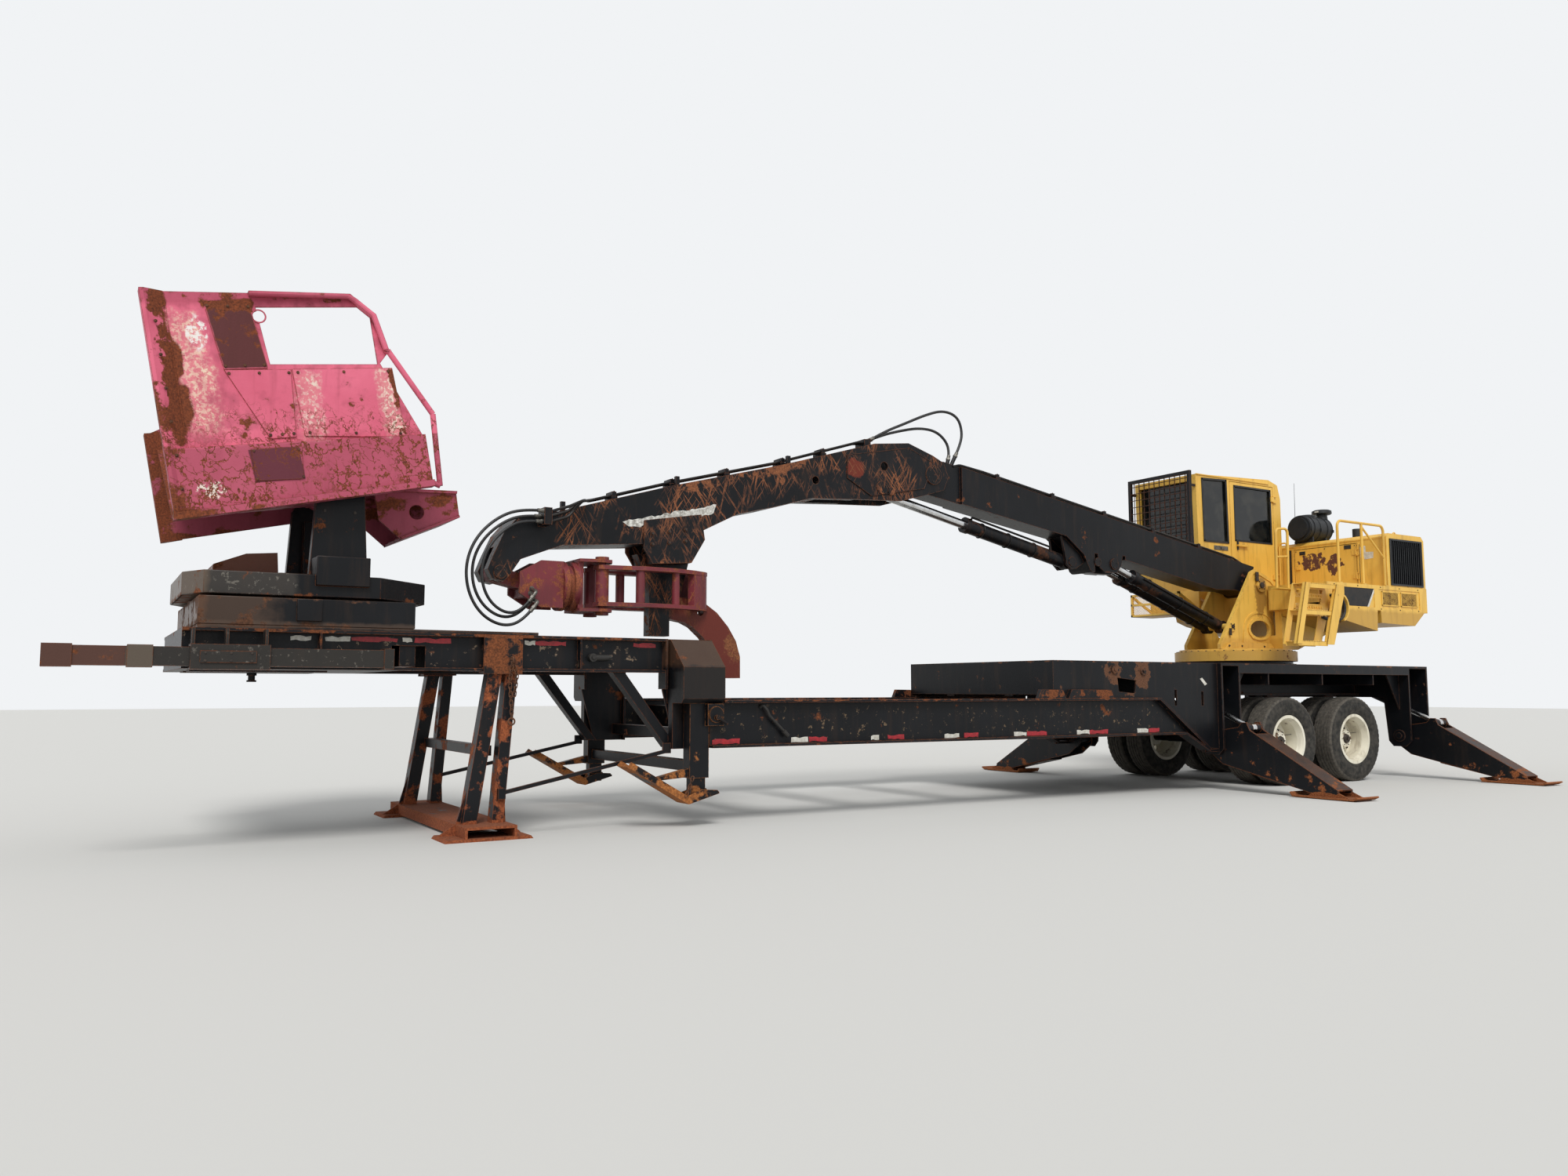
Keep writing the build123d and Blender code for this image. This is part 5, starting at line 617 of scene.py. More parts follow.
def matteSurface(name, look):
    # moulded or woven matter with a soft mottled tone and a fine grain
    material, tree, shader = startMaterial(name)
    place = addNode(tree, "TexCoord").outputs["Object"]
    tone = speckle(tree, place, look["patch"], 0.35, 0.7)
    tree.links.new(mixColour(tree, tone, hexLinear(look["light"]), hexLinear(look["dark"])),
                   shader.inputs["Base Color"])
    shader.inputs["Roughness"].default_value = look["rough"]
    shader.inputs["Metallic"].default_value = look.get("metal", 0.0)
    shader.inputs["Specular IOR Level"].default_value = look.get("shine", 0.5)
    grain = speckle(tree, place, look["grain"], 0.3, 0.7)
    bump = addNode(tree, "Bump", {"Strength": look["relief"], "Distance": 0.001, "Height": grain})
    tree.links.new(bump.outputs[0], shader.inputs["Normal"])
    return material


chrome = chromedSteel()
rubbers = {row: tyreRubber(f"tyreRubber_{row}", x) for row, x in axlePlaces.items()}
glass = tintedGlass()
# nitrile rubber cover: satin black, a little brown with dust
hoseRubber = matteSurface("hoseRubber", {"light": "#17181A", "dark": "#2A2826", "patch": 120,
                                         "rough": 0.5, "grain": 5, "relief": 0.2})
# moulded vinyl: matte charcoal with a leathery grain
vinyl = matteSurface("vinyl", {"light": "#191A1C", "dark": "#2B2A29", "patch": 90, "rough": 0.62,
                               "grain": 4, "relief": 0.4})
# moulded plastic: even dark grey with a soft sheen
mouldedBlack = matteSurface("mouldedBlack", {"light": "#1B1D20", "dark": "#26282A", "patch": 160,
                                             "rough": 0.5, "grain": 6, "relief": 0.3, "shine": 0.4})
# cast iron: near black and coarse
castIron = matteSurface("castIron", {"light": "#2A2724", "dark": "#15130F", "patch": 70, "rough": 0.7,
                                     "grain": 8, "relief": 0.6})
# zinc plate: dull mottled grey metal
galvanised = matteSurface("galvanised", {"light": "#7E7B74", "dark": "#4E4A43", "patch": 40,
                                         "rough": 0.5, "grain": 6, "relief": 0.3, "metal": 0.7})
# white reflective tape, yellowed
whiteTape = matteSurface("whiteTape", {"light": "#DDDAD0", "dark": "#B4AEA0", "patch": 30,
                                       "rough": 0.4, "grain": 3, "relief": 0.2})
# torn vinyl strip: pale with dirty patches
tornStrip = matteSurface("tornStrip", {"light": "#E4E2DA", "dark": "#6E675C", "patch": 34, "rough": 0.6,
                                       "grain": 3, "relief": 0.2})
# bare iron: brown rust, rough
rustyIron = matteSurface("rustyIron", {"light": "#6E4429", "dark": "#2B1D15", "patch": 40, "rough": 0.85,
                                       "grain": 5, "relief": 0.7})
# greased iron: dark brown with a wet sheen
greasyIron = matteSurface("greasyIron", {"light": "#3B2F26", "dark": "#15120F", "patch": 30, "rough": 0.55,
                                         "grain": 5, "relief": 0.5})
# painted steel pipe: smooth black with oily dust
blackPipe = matteSurface("blackPipe", {"light": "#121315", "dark": "#2B241E", "patch": 70, "rough": 0.38,
                                       "grain": 8, "relief": 0.2, "shine": 0.25})
# red reflective tape
redTape = matteSurface("redTape", {"light": "#B3202B", "dark": "#7F1A20", "patch": 30, "rough": 0.4,
                                   "grain": 3, "relief": 0.2})

for rowName in ("front", "rear"):
    for sideName in ("left", "right"):
        dress(f"tyres_{rowName}_{sideName}", rubbers[rowName])
        dress(f"rims_{rowName}_{sideName}", creamEnamel)
        dress(f"outrigger_rod_{rowName}_{sideName}", chrome)
dress("hoist_rods", chrome)
dress("stick_rod", chrome)
dress("cab_glass", glass)
dress("cab_door_glass", glass)
dress("cab_seat", vinyl)
dress("air_cleaner", mouldedBlack)
dress("radiator_grille", mouldedBlack)
dress("engine_block", castIron)
print("materials on every node")


# Small makers for the fittings that bolt on to the CAD pieces
def addBlock(shape, low, high):
    corners = [shape.verts.new((x, y, z)) for x in (low[0], high[0]) for y in (low[1], high[1])
               for z in (low[2], high[2])]
    for face in ((0, 1, 3, 2), (4, 6, 7, 5), (0, 4, 5, 1), (2, 3, 7, 6), (0, 2, 6, 4), (1, 5, 7, 3)):
        shape.faces.new([corners[k] for k in face])


def addRound(shape, start, end, radius, sides=16, endRadius=None):
    start, end = Vector(start), Vector(end)
    axis = end - start
    turned = Vector((0, 0, 1)).rotation_difference(axis).to_matrix().to_4x4()
    middle = Matrix.Translation((start + end) / 2) @ turned
    last = radius if endRadius is None else endRadius
    bmesh.ops.create_cone(shape, cap_ends=True, segments=sides, radius1=radius, radius2=last,
                          depth=axis.length, matrix=middle)


def addBolt(shape, spot, axis, size):
    # a washer and a hexagon head, standing on spot along axis
    spot, axis = Vector(spot), Vector(axis).normalized()
    addRound(shape, spot - axis * size * 0.2, spot + axis * size * 0.18, size * 0.95, 16)
    addRound(shape, spot, spot + axis * size * 0.75, size * 0.72, 6)


def addOutline(shape, points, depth):
    first = [shape.verts.new(point) for point in points]
    second = [shape.verts.new(Vector(point) + Vector(depth)) for point in points]
    shape.faces.new(first[::-1])
    shape.faces.new(second)
    count = len(points)
    for k in range(count):
        after = (k + 1) % count
        shape.faces.new((first[k], first[after], second[after], second[k]))


def addRing(shape, centre, axis, radius, thick, steps=40, sides=8, share=1.0):
    # a round bar bent into a ring, or into a share of one
    centre, axis = Vector(centre), Vector(axis).normalized()
    across = axis.orthogonal().normalized()
    other = axis.cross(across)
    loops = []
    closed = share >= 1.0
    for k in range(steps if closed else steps + 1):
        angle = 2 * pi * share * k / steps
        out = across * cos(angle) + other * sin(angle)
        loops.append([shape.verts.new(centre + out * (radius + thick * cos(2 * pi * j / sides))
                                      + axis * thick * sin(2 * pi * j / sides)) for j in range(sides)])
    pairs = zip(loops, loops[1:] + loops[:1]) if closed else zip(loops, loops[1:])
    for here, there in pairs:
        for j in range(sides):
            after = (j + 1) % sides
            shape.faces.new((here[j], there[j], there[after], here[after]))


def bentPoints(points, bend):
    spots = [Vector(point) for point in points]
    line = [spots[0]]
    for before, here, after in zip(spots, spots[1:], spots[2:]):
        inward, outward = (before - here).normalized(), (after - here).normalized()
        turn = acos(max(-1, min(1, -inward.dot(outward))))
        back = min(bend * tan(turn / 2), 0.45 * min((before - here).length, (after - here).length))
        for k in range(7):
            t = k / 6
            line.append((here + inward * back) * (1 - t) ** 2 + here * 2 * t * (1 - t)
                        + (here + outward * back) * t ** 2)
    return line + [spots[-1]]


def addPipe(shape, points, radius, bend=0.08, sides=10):
    # a steel pipe along straight runs with bent corners
    line = bentPoints(points, bend)
    side = (line[1] - line[0]).orthogonal().normalized()
    loops = []
    for k, spot in enumerate(line):
        ahead = (line[min(k + 1, len(line) - 1)] - line[max(k - 1, 0)]).normalized()
        side = (side - ahead * side.dot(ahead)).normalized()
        other = ahead.cross(side)
        loops.append([shape.verts.new(spot + (side * cos(2 * pi * j / sides)
                                              + other * sin(2 * pi * j / sides)) * radius)
                      for j in range(sides)])
    for here, there in zip(loops, loops[1:]):
        for j in range(sides):
            after = (j + 1) % sides
            shape.faces.new((here[j], here[after], there[after], there[j]))
    shape.faces.new(loops[0][::-1])
    shape.faces.new(loops[-1])


def placePiece(name, shape, material, body, bevel=0.0, replaced=()):
    bmesh.ops.recalc_face_normals(shape, faces=shape.faces)
    mesh = bpy.data.meshes.new(name)
    shape.to_mesh(mesh)
    shape.free()
    for polygon in mesh.polygons:
        polygon.use_smooth = True
    mesh.set_sharp_from_angle(angle=radians(32))
    mesh.materials.append(material)
    piece = bpy.data.objects.new(name, mesh)
    bpy.context.scene.collection.objects.link(piece)
    if bevel:
        rounded = piece.modifiers.new("edge", "BEVEL")
        rounded.width = bevel
        rounded.segments = 2
        rounded.limit_method = "ANGLE"
    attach(piece, body)
    if replaced:
        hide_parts(*replaced)
    return piece


for name, hose in hoses.items():
    hose.data.materials.append(hoseRubber)


def hoseEnds():
    # crimped sleeves on the hoses' ends, and the elbows that the grapple's hoses lead to
    look = {"sleeve": 0.055, "grow": 1.35, "elbow": 0.016}
    for group in (knuckleHoses, tipHoses):
        for number, route in enumerate(group["routes"], 1):
            name = f"{group['node']}_{number}"
            sleeves = bmesh.new()
            for end, neighbour in ((route[0], route[1]), (route[-1], route[-2])):
                inward = (Vector(neighbour) - Vector(end)).normalized()
                radius = group["diameter"] / 2 * look["grow"]
                addRound(sleeves, end, Vector(end) + inward * look["sleeve"], radius, 14)
                addRound(sleeves, Vector(end) - inward * 0.004, Vector(end) + inward * 0.018,
                         radius * 1.25, 6)
            piece = placePiece(f"sleeves_{name}", sleeves, galvanised, group["body"])
    elbows = bmesh.new()
    for route in tipHoses["routes"]:
        end = Vector(route[-1])
        up = (end - Vector(route[-2])).normalized()
        foot = end + up * 0.005
        addPipe(elbows, [foot, foot + up * 0.05, (foot.x + 0.03, -0.172, foot.z + 0.075)],
                look["elbow"], 0.03)
        addBolt(elbows, (foot.x + 0.03, -0.171, foot.z + 0.075), (0, -1, 0), 0.024)
    placePiece("grapple_hose_elbows", elbows, galvanised, "grapple")


hoseEnds()
print("hose fittings made")


# Wheels: treads, nuts, caps and valves
def tyreShape(shape, centre, side):
    look = {"steps": 150, "groove": 0.011, "grooveHalf": 0.005, "notch": 0.006}
    radius = 0.525
    rows = [(0.311, -0.104), (0.316, -0.116), (0.330, -0.124), (0.338, -0.127), (0.342, -0.124),
            (0.352, -0.129), (0.378, -0.1365), (0.404, -0.1395), (0.430, -0.1385), (0.452, -0.1345),
            (0.458, -0.1365), (0.466, -0.1335), (0.486, -0.128), (0.499, -0.1235), (0.513, -0.117),
            (0.5225, -0.108)]
    for groove in (-0.062, -0.021):
        rows += [(radius, groove - look["grooveHalf"] - 0.001), (radius - look["groove"], groove - 0.003),
                 (radius - look["groove"], groove + 0.003), (radius, groove + look["grooveHalf"] + 0.001)]
    rows += [(r, -y) for r, y in reversed(rows)]
    loops = []
    for k in range(look["steps"]):
        angle = 2 * pi * k / look["steps"]
        loop = []
        for r, y in rows:
            if r > 0.495 and abs(y) > 0.10 and k % 3 == 0:
                r -= look["notch"]
            loop.append(shape.verts.new((centre[0] + r * cos(angle), centre[1] + side * y,
                                         centre[2] + r * sin(angle))))
        loops.append(loop)
    for here, there in zip(loops, loops[1:] + loops[:1]):
        for j in range(len(rows) - 1):
            shape.faces.new((here[j], here[j + 1], there[j + 1], there[j]))
    # inner skin, from bead to bead
    for here, there in zip(loops, loops[1:] + loops[:1]):
        shape.faces.new((here[-1], here[0], there[0], there[-1]))


def dressWheels():
    hub = {"nuts": 10, "circle": 0.128, "face": 1.040, "cap": 1.0755, "capCircle": 0.086}
    for rowName, x in axlePlaces.items():
        for sideName, side in (("left", -1), ("right", 1)):
            body = wheelBodies[rowName, sideName]
            tyres = bmesh.new()
            for y in (1.080, 0.750):
                tyreShape(tyres, (x, side * y, axleHeight), side)
            placePiece(f"treaded_tyres_{rowName}_{sideName}", tyres, rubbers[rowName], body,
                       replaced=[f"tyres_{rowName}_{sideName}"])
            nuts = bmesh.new()
            for k in range(hub["nuts"]):
                angle = 2 * pi * (k + 0.3) / hub["nuts"]
                spot = (x + hub["circle"] * cos(angle), side * (hub["face"] - 0.004),
                        axleHeight + hub["circle"] * sin(angle))
                addBolt(nuts, spot, (0, side, 0), 0.017)
            for k in range(6):
                angle = 2 * pi * k / 6
                spot = (x + hub["capCircle"] * cos(angle), side * hub["cap"],
                        axleHeight + hub["capCircle"] * sin(angle))
                addBolt(nuts, spot, (0, side, 0), 0.008)
            addRound(nuts, (x, side * (hub["cap"] - 0.002), axleHeight),
                     (x, side * (hub["cap"] + 0.022), axleHeight), 0.062, 28, 0.050)
            addRound(nuts, (x, side * (hub["cap"] + 0.02), axleHeight),
                     (x, side * (hub["cap"] + 0.034), axleHeight), 0.02, 6)
            placePiece(f"wheel_nuts_{rowName}_{sideName}", nuts, greasyIron, body)
            stem = bmesh.new()
            addPipe(stem, [(x + 0.16, side * 0.968, 0.585), (x + 0.17, side * 1.02, 0.59),
                           (x + 0.215, side * 1.075, 0.60)], 0.005, 0.02, 8)
            placePiece(f"valve_{rowName}_{sideName}", stem, galvanised, body)


# Trailer: tape, patches, bolts, chain, lever and lamps
def trailerTrims():
    tapes = {"web": 1.1836, "low": 0.676, "high": 0.722, "thick": 0.0014}
    nearWeb = {"y": -0.9336, "low": 1.493, "high": 1.533, "thick": 0.0012}
    # start and end of each strip along the rail
    white = [(-2.289, -2.115), (-1.427, -1.334), (-0.562, -0.379), (0.333, 0.497), (1.207, 1.385),
             (2.109, 2.279)]
    red = [(-3.082, -2.813), (-2.107, -1.917), (-1.236, -1.043), (-0.314, -0.136), (0.507, 0.776),
           (1.385, 1.660), (2.290, 2.457)]
    for name, runs, material, slotName in (("white_tape", white, whiteTape, "cream_rim"),
                                           ("red_tape", red, redTape, "red_paint")):
        tape = bmesh.new()
        for side in (-1, 1):
            for start, end in runs:
                ragged(tape, start, end, tapes["low"], tapes["high"], side * tapes["web"], tapes["thick"])
        placePiece(name, tape, material, "trailer")
    streaks = bmesh.new()
    for start, end in ((-5.970, -5.640), (-5.512, -5.234), (-4.560, -4.300), (-3.700, -3.500)):
        ragged(streaks, start, end, nearWeb["low"], nearWeb["high"], nearWeb["y"], nearWeb["thick"])
    placePiece("faded_tape", streaks, redTape, "trailer")
    palePatch = bmesh.new()
    for start, end in ((-6.390, -6.252), (-6.155, -5.980), (-5.600, -5.530), (-4.645, -4.560)):
        ragged(palePatch, start, end, 1.492, 1.531, nearWeb["y"], nearWeb["thick"])
    addOutline(palePatch, [(3.145, -1.1914, 1.262), (3.182, -1.1914, 1.275), (3.262, -1.1914, 1.205),
                           (3.224, -1.1914, 1.188)], (0, 0.0016, 0))
    placePiece("pale_patches", palePatch, whiteTape, "trailer")
    # turned knob on the gooseneck's web
    knobs = bmesh.new()
    addRound(knobs, (-4.080, -0.932, 1.402), (-4.080, -0.985, 1.402), 0.034, 20)
    addRound(knobs, (-4.080, -0.962, 1.402), (-3.945, -0.962, 1.402), 0.026, 18)
    addRound(knobs, (-3.945, -0.962, 1.402), (-3.915, -0.962, 1.402), 0.020, 6)
    addBolt(knobs, (-4.080, -0.985, 1.402), (0, -1, 0), 0.020)
    # bent lever, hung on the rail's web
    addPipe(knobs, [(-2.611, -1.186, 0.985), (-2.600, -1.215, 1.010), (-2.560, -1.222, 0.960),
                    (-2.540, -1.222, 0.915), (-2.365, -1.222, 0.752)], 0.013, 0.05)
    addPipe(knobs, [(-2.395, -1.222, 0.780), (-2.350, -1.222, 0.735)], 0.021, 0.01)
    addPipe(knobs, [(-2.470, -1.183, 0.860), (-2.470, -1.222, 0.860)], 0.015, 0.01)
    placePiece("knob_and_lever", knobs, castIron, "trailer")


def ragged(shape, start, end, low, high, y, thick):
    # a strip of tape with chewed ends and nibbled edges, standing proud of a web
    count = max(4, int((end - start) / 0.035))
    upper = [(start + (end - start) * k / count, high - random.choice((0, 0, 0.003, 0.010)))
             for k in range(count + 1)]
    lower = [(start + (end - start) * k / count, low + random.choice((0, 0, 0.002, 0.008)))
             for k in range(count + 1)]
    points = [(x + random.uniform(-0.004, 0.004), y, z) for x, z in upper + lower[::-1]]
    addOutline(shape, points, (0, -thick if y < 0 else thick, 0))


def addLink(shape, centre, along, across, long, wide, thick):
    # one chain link: a stadium-shaped ring of round bar
    line = []
    straight = long / 2 - wide / 2
    for k in range(7):
        angle = -pi / 2 + pi * k / 6
        line.append(centre + along * (straight + wide / 2 * cos(angle)) + across * (wide / 2 * sin(angle)))
    for k in range(7):
        angle = pi / 2 + pi * k / 6
        line.append(centre - along * (straight - wide / 2 * cos(angle)) + across * (wide / 2 * sin(angle)))
    normal = along.cross(across)
    loops = []
    for k, spot in enumerate(line):
        ahead = (line[(k + 1) % len(line)] - line[k - 1]).normalized()
        other = ahead.cross(normal).normalized()
        loops.append([shape.verts.new(spot + (normal * cos(2 * pi * j / 6) + other * sin(2 * pi * j / 6))
                                      * thick) for j in range(6)])
    for here, there in zip(loops, loops[1:] + loops[:1]):
        for j in range(6):
            shape.faces.new((here[j], here[(j + 1) % 6], there[(j + 1) % 6], there[j]))


def hangChains():
    # short chains that hold the stand's leg and the landing gear's shoe
    look = {"pitch": 0.034, "long": 0.050, "wide": 0.026, "thick": 0.0042}
    chain = bmesh.new()
    runs = [[(-4.775, -1.024, 1.372), (-4.792, -1.026, 1.20), (-4.776, -1.03, 0.980),
             (-4.770, -1.028, 0.905)],
            [(-4.775, -1.024, 1.372), (-4.740, -1.036, 1.25), (-4.757, -1.034, 1.10)],
            [(-3.300, -1.250, 0.400), (-3.330, -1.262, 0.330), (-3.365, -1.262, 0.255)]]
    for run in runs:
        spots = [Vector(point) for point in run]
        count, spare = 0, 0.0
        for here, there in zip(spots, spots[1:]):
            along = (there - here).normalized()
            reach = (there - here).length
            at = spare
            while at < reach:
                turned = along.orthogonal().normalized()
                across = turned if count % 2 else along.cross(turned)
                addLink(chain, here + along * at, along, across, look["long"], look["wide"], look["thick"])
                at += look["pitch"]
                count += 1
            spare = at - reach
    placePiece("parking_chains", chain, rustyIron, "trailer")
    hooks = bmesh.new()
    addBolt(hooks, (-4.775, -1.018, 1.378), (0, -1, 0), 0.018)
    addRing(hooks, (-4.775, -1.03, 1.372), (1, 0, 0), 0.022, 0.006, 18, 6)
    addRing(hooks, (-4.775, -1.03, 0.890), (0, 1, 0), 0.026, 0.007, 18, 6)
    placePiece("chain_hooks", hooks, rustyIron, "trailer")


def boltRows():
    # bolt rings and rows, as spot, axis and size, gathered by the body that they ride on
    ring = [((turntableX + 0.727 * cos(a), 0.727 * sin(a), 1.630), (0, 0, 1), 0.014)
            for a in (2 * pi * k / 40 for k in range(40)) if abs(0.727 * sin(a)) > 0.33 or cos(a) < 0]
    flange = [((turntableX + 0.731 * cos(a), 0.731 * sin(a), 1.463), (0, 0, 1), 0.013)
              for a in (2 * pi * k / 36 for k in range(36))]
    drum = [((swivelX + 0.776 * cos(a), 0.776 * sin(a), 1.8098), (0, 0, 1), 0.011)
            for a in (2 * pi * k / 32 for k in range(32))]
    pins = []
    for side in (-1, 1):
        for x, z, y, circle in ((5.54, 2.51, 0.296, 0.066), (4.93, 1.95, 0.290, 0.043)):
            for k in range(4):
                a = pi / 4 + pi * k / 2
                pins.append(((x + circle * cos(a), side * y, z + circle * sin(a)), (0, side, 0), 0.010))
        for x, z in ((4.80, 1.70), (5.05, 1.70), (5.50, 1.70)):
            pins.append(((x, side * 0.33, z), (0, side, 0), 0.014))
    stickBolts = []
    for side in (-1, 1):
        for x, z, face, circle, count in ((0.13, 3.46, 0.216, 0.072, 6), (-0.56, 3.26, 0.216, 0.045, 3),
                                          (-4.63, 2.15, 0.214, 0.036, 3)):
            for k in range(count):
                a = 2 * pi * k / count + 0.4
                spot = (x + circle * cos(a), side * face, z + circle * sin(a))
                stickBolts.append((spot, (0, side, 0), 0.009))
    heelBolts = [((x, side * 0.2365, z), (0, side, 0), 0.014)
                 for side in (-1, 1) for x, z in ((-3.21, 2.58), (-3.04, 2.61), (-2.87, 2.64), (-3.21, 2.48),
                                                  (-3.04, 2.505), (-2.87, 2.53))]
    boomBolts = [((x + 0.045 * cos(a), side * face, z + 0.045 * sin(a)), (0, side, 0), 0.010)
                 for side in (-1, 1) for x, z, face in ((2.92, 2.65, 0.186), (2.64, 2.66, 0.182))
                 for a in (0.3, 2.4, 4.5)]
    columns = [((x, side * 0.6408, z), (0, side, 0), 0.013) for side in (-1, 1)
               for x, z in ((-6.14, 2.02), (-5.92, 2.02), (-6.14, 2.50), (-5.92, 2.50))]
    sleeve = [((x, -1.1890, z), (0, -1, 0), 0.010) for x in (-6.96, -6.80, -6.67) for z in (1.335, 1.389)]
    for name, bolts, body in (("turntable_bolts", ring + pins, "upper"),
                              ("flange_bolts", flange + drum + sleeve, "trailer"),
                              ("stick_bolts", stickBolts + heelBolts, "stick"),
                              ("boom_bolts", boomBolts, "boom"),
                              ("column_bolts", columns, "delimber_yoke")):
        heads = bmesh.new()
        for spot, axis, size in bolts:
            addBolt(heads, spot, axis, size)
        placePiece(name, heads, greasyIron, body)


def rearLamps():
    # plain round lamps in rubber rings on the deck's rear end
    look = {"places": (0.62, 0.78), "height": 1.30, "lens": 0.052, "ring": 0.062}
    lamps, rings = bmesh.new(), bmesh.new()
    for side in (-1, 1):
        for place in look["places"]:
            y, z = side * place, look["height"]
            addRound(lamps, (7.612, y, z), (7.634, y, z), look["lens"], 28, 0.046)
            addRound(rings, (7.606, y, z), (7.622, y, z), look["ring"], 28)
    placePiece("rear_lamps", lamps, redTape, "trailer")
    placePiece("lamp_rings", rings, vinyl, "trailer")


# Boom and stick: hydraulic pipes, clamps and the hose run on top
def pipeRuns():
    look = {"radius": 0.0135, "lift": 0.040}
    stickTop = [(-0.74, 3.745), (-1.81, 3.370), (-3.01, 3.050), (-3.75, 2.828)]
    stickPipes, stickClamps = bmesh.new(), bmesh.new()
    ends = [(-0.262, 2.650), (-0.300, 2.600), (-0.338, 2.690)]
    for k, (endY, endZ) in enumerate(ends):
        y = -0.092 + 0.046 * k
        top = [(x, y, z + look["lift"]) for x, z in stickTop]
        top[0] = (-0.716, y, 3.745)
        run = [top[0], (-0.80, y, 3.735), *top[1:], (-3.93, endY, 2.815), (-4.06, endY, endZ + 0.06),
               (-4.231, endY, endZ)]
        addPipe(stickPipes, run, look["radius"], 0.10)
    # saddle clamps on welded pads, at shares of the stick's top
    for x, z in ((-1.24, 3.545), (-1.73, 3.395), (-2.37, 3.222), (-2.957, 3.064), (-3.55, 2.890)):
        addBlock(stickClamps, (x - 0.030, -0.128, z - 0.006), (x + 0.030, 0.036, z + 0.026))
        addBlock(stickClamps, (x - 0.022, -0.120, z + 0.022), (x + 0.022, 0.028, z + 0.070))
        for y in (-0.115, 0.023):
            addBolt(stickClamps, (x, y, z + 0.070), (0, 0, 1), 0.009)
    # tall bracket plates on the stick's top
    for x, z in ((-1.715, 3.395), (-2.95, 3.066), (-4.08, 2.728)):
        addBlock(stickClamps, (x - 0.006, -0.190, z - 0.02), (x + 0.034, -0.150, z + 0.085))
    placePiece("stick_pipes", stickPipes, blackPipe, "stick")
    placePiece("stick_pipe_clamps", stickClamps, blackEnamel, "stick", 0.002)
    boomPipes, boomClamps = bmesh.new(), bmesh.new()
    slope = (2.765 - 3.570) / (5.560 - 0.730)
    for y in (-0.135, -0.080, -0.025, 0.030):
        addPipe(boomPipes, [(0.46, y, 3.600), (0.56, y, 3.625), (0.90, y, 3.572 + slope * 0.17 + 0.038),
                            (5.18, y, 2.829 + 0.038), (5.40, y * 0.8, 2.800), (5.47, y * 0.8, 2.765)],
                look["radius"], 0.12)
    for x in (1.10, 1.95, 2.80, 3.65, 4.50):
        z = 3.570 + slope * (x - 0.730)
        addBlock(boomClamps, (x - 0.032, -0.168, z - 0.010), (x + 0.032, 0.066, z + 0.022))
        addBlock(boomClamps, (x - 0.024, -0.158, z + 0.018), (x + 0.024, 0.056, z + 0.064))
        for side in (-0.150, 0.048):
            addBolt(boomClamps, (x, side, z + 0.064), (0, 0, 1), 0.009)
    placePiece("boom_pipes", boomPipes, blackPipe, "boom")
    placePiece("boom_pipe_clamps", boomClamps, blackEnamel, "boom", 0.002)
    # pipe and clips on the stick cylinder's barrel
    foot, eye = Vector((2.280, 0, 2.650)), Vector((-0.560, 0, 3.260))
    along = (eye - foot).normalized()
    lift = Vector((-along.z, 0, along.x)) * -1
    line = bmesh.new()
    near, far = foot + along * 0.30 + lift * 0.105, foot + along * 1.52 + lift * 0.105
    addPipe(line, [near + Vector((0, -0.03, 0)) - lift * 0.03, near + Vector((0, -0.03, 0)),
                   far + Vector((0, -0.03, 0)), far + Vector((0, -0.03, 0)) - lift * 0.03], 0.012, 0.03)
    for share in (0.55, 0.95, 1.35):
        middle = foot + along * share
        addRing(line, middle, along, 0.084, 0.006, 40, 6)
    placePiece("stick_cylinder_line", line, blackPipe, "stick_barrel")
    hoistLines = bmesh.new()
    foot, eye = Vector((4.930, 0, 1.950)), Vector((2.920, 0, 2.650))
    along = (eye - foot).normalized()
    for side in (-1, 1):
        base = foot + Vector((0, side * 0.105, 0))
        for share in (0.35, 0.85, 1.45):
            addRing(hoistLines, base + along * share, along, 0.079, 0.006, 40, 6)
        out = Vector((0, side * 0.086, 0.02))
        addPipe(hoistLines, [base + along * 0.25 + out, base + along * 1.60 + out], 0.011, 0.02)
    placePiece("hoist_cylinder_lines", hoistLines, blackPipe, "hoist_barrels")
    # torn pale strip along the stick's side
    strip = bmesh.new()
    random.seed(11)
    steps = 30
    upper = [(-3.50 + 0.97 * k / steps, 2.672 + 0.240 * k / steps + random.uniform(-0.010, 0.012))
             for k in range(steps + 1)]
    lower = [(-3.44 + 0.88 * k / steps,
              2.630 + 0.200 * k / steps + random.uniform(-0.012, 0.014) - 0.045 * sin(pi * k / steps))
             for k in range(steps + 1)]
    addOutline(strip, [(x, -0.2004, z) for x, z in upper + lower[::-1]], (0, -0.0012, 0))
    placePiece("torn_pale_strip", strip, tornStrip, "stick")


def boomEdges():
    # weld beads along the lower chord's lugs and the knuckle's doubler plates
    beads = bmesh.new()
    outline = [(-1.0, 3.56), (-1.0, 3.32), (-0.7, 3.16), (0.0, 3.30), (0.13, 3.59), (-0.2, 3.72)]
    for side in (-1, 1):
        line = [(x, side * 0.2075, z) for x, z in outline]
        for start, end in zip(line, line[1:] + line[:1]):
            addRound(beads, start, end, 0.005, 6)
    placePiece("doubler_welds", beads, blackEnamel, "stick")


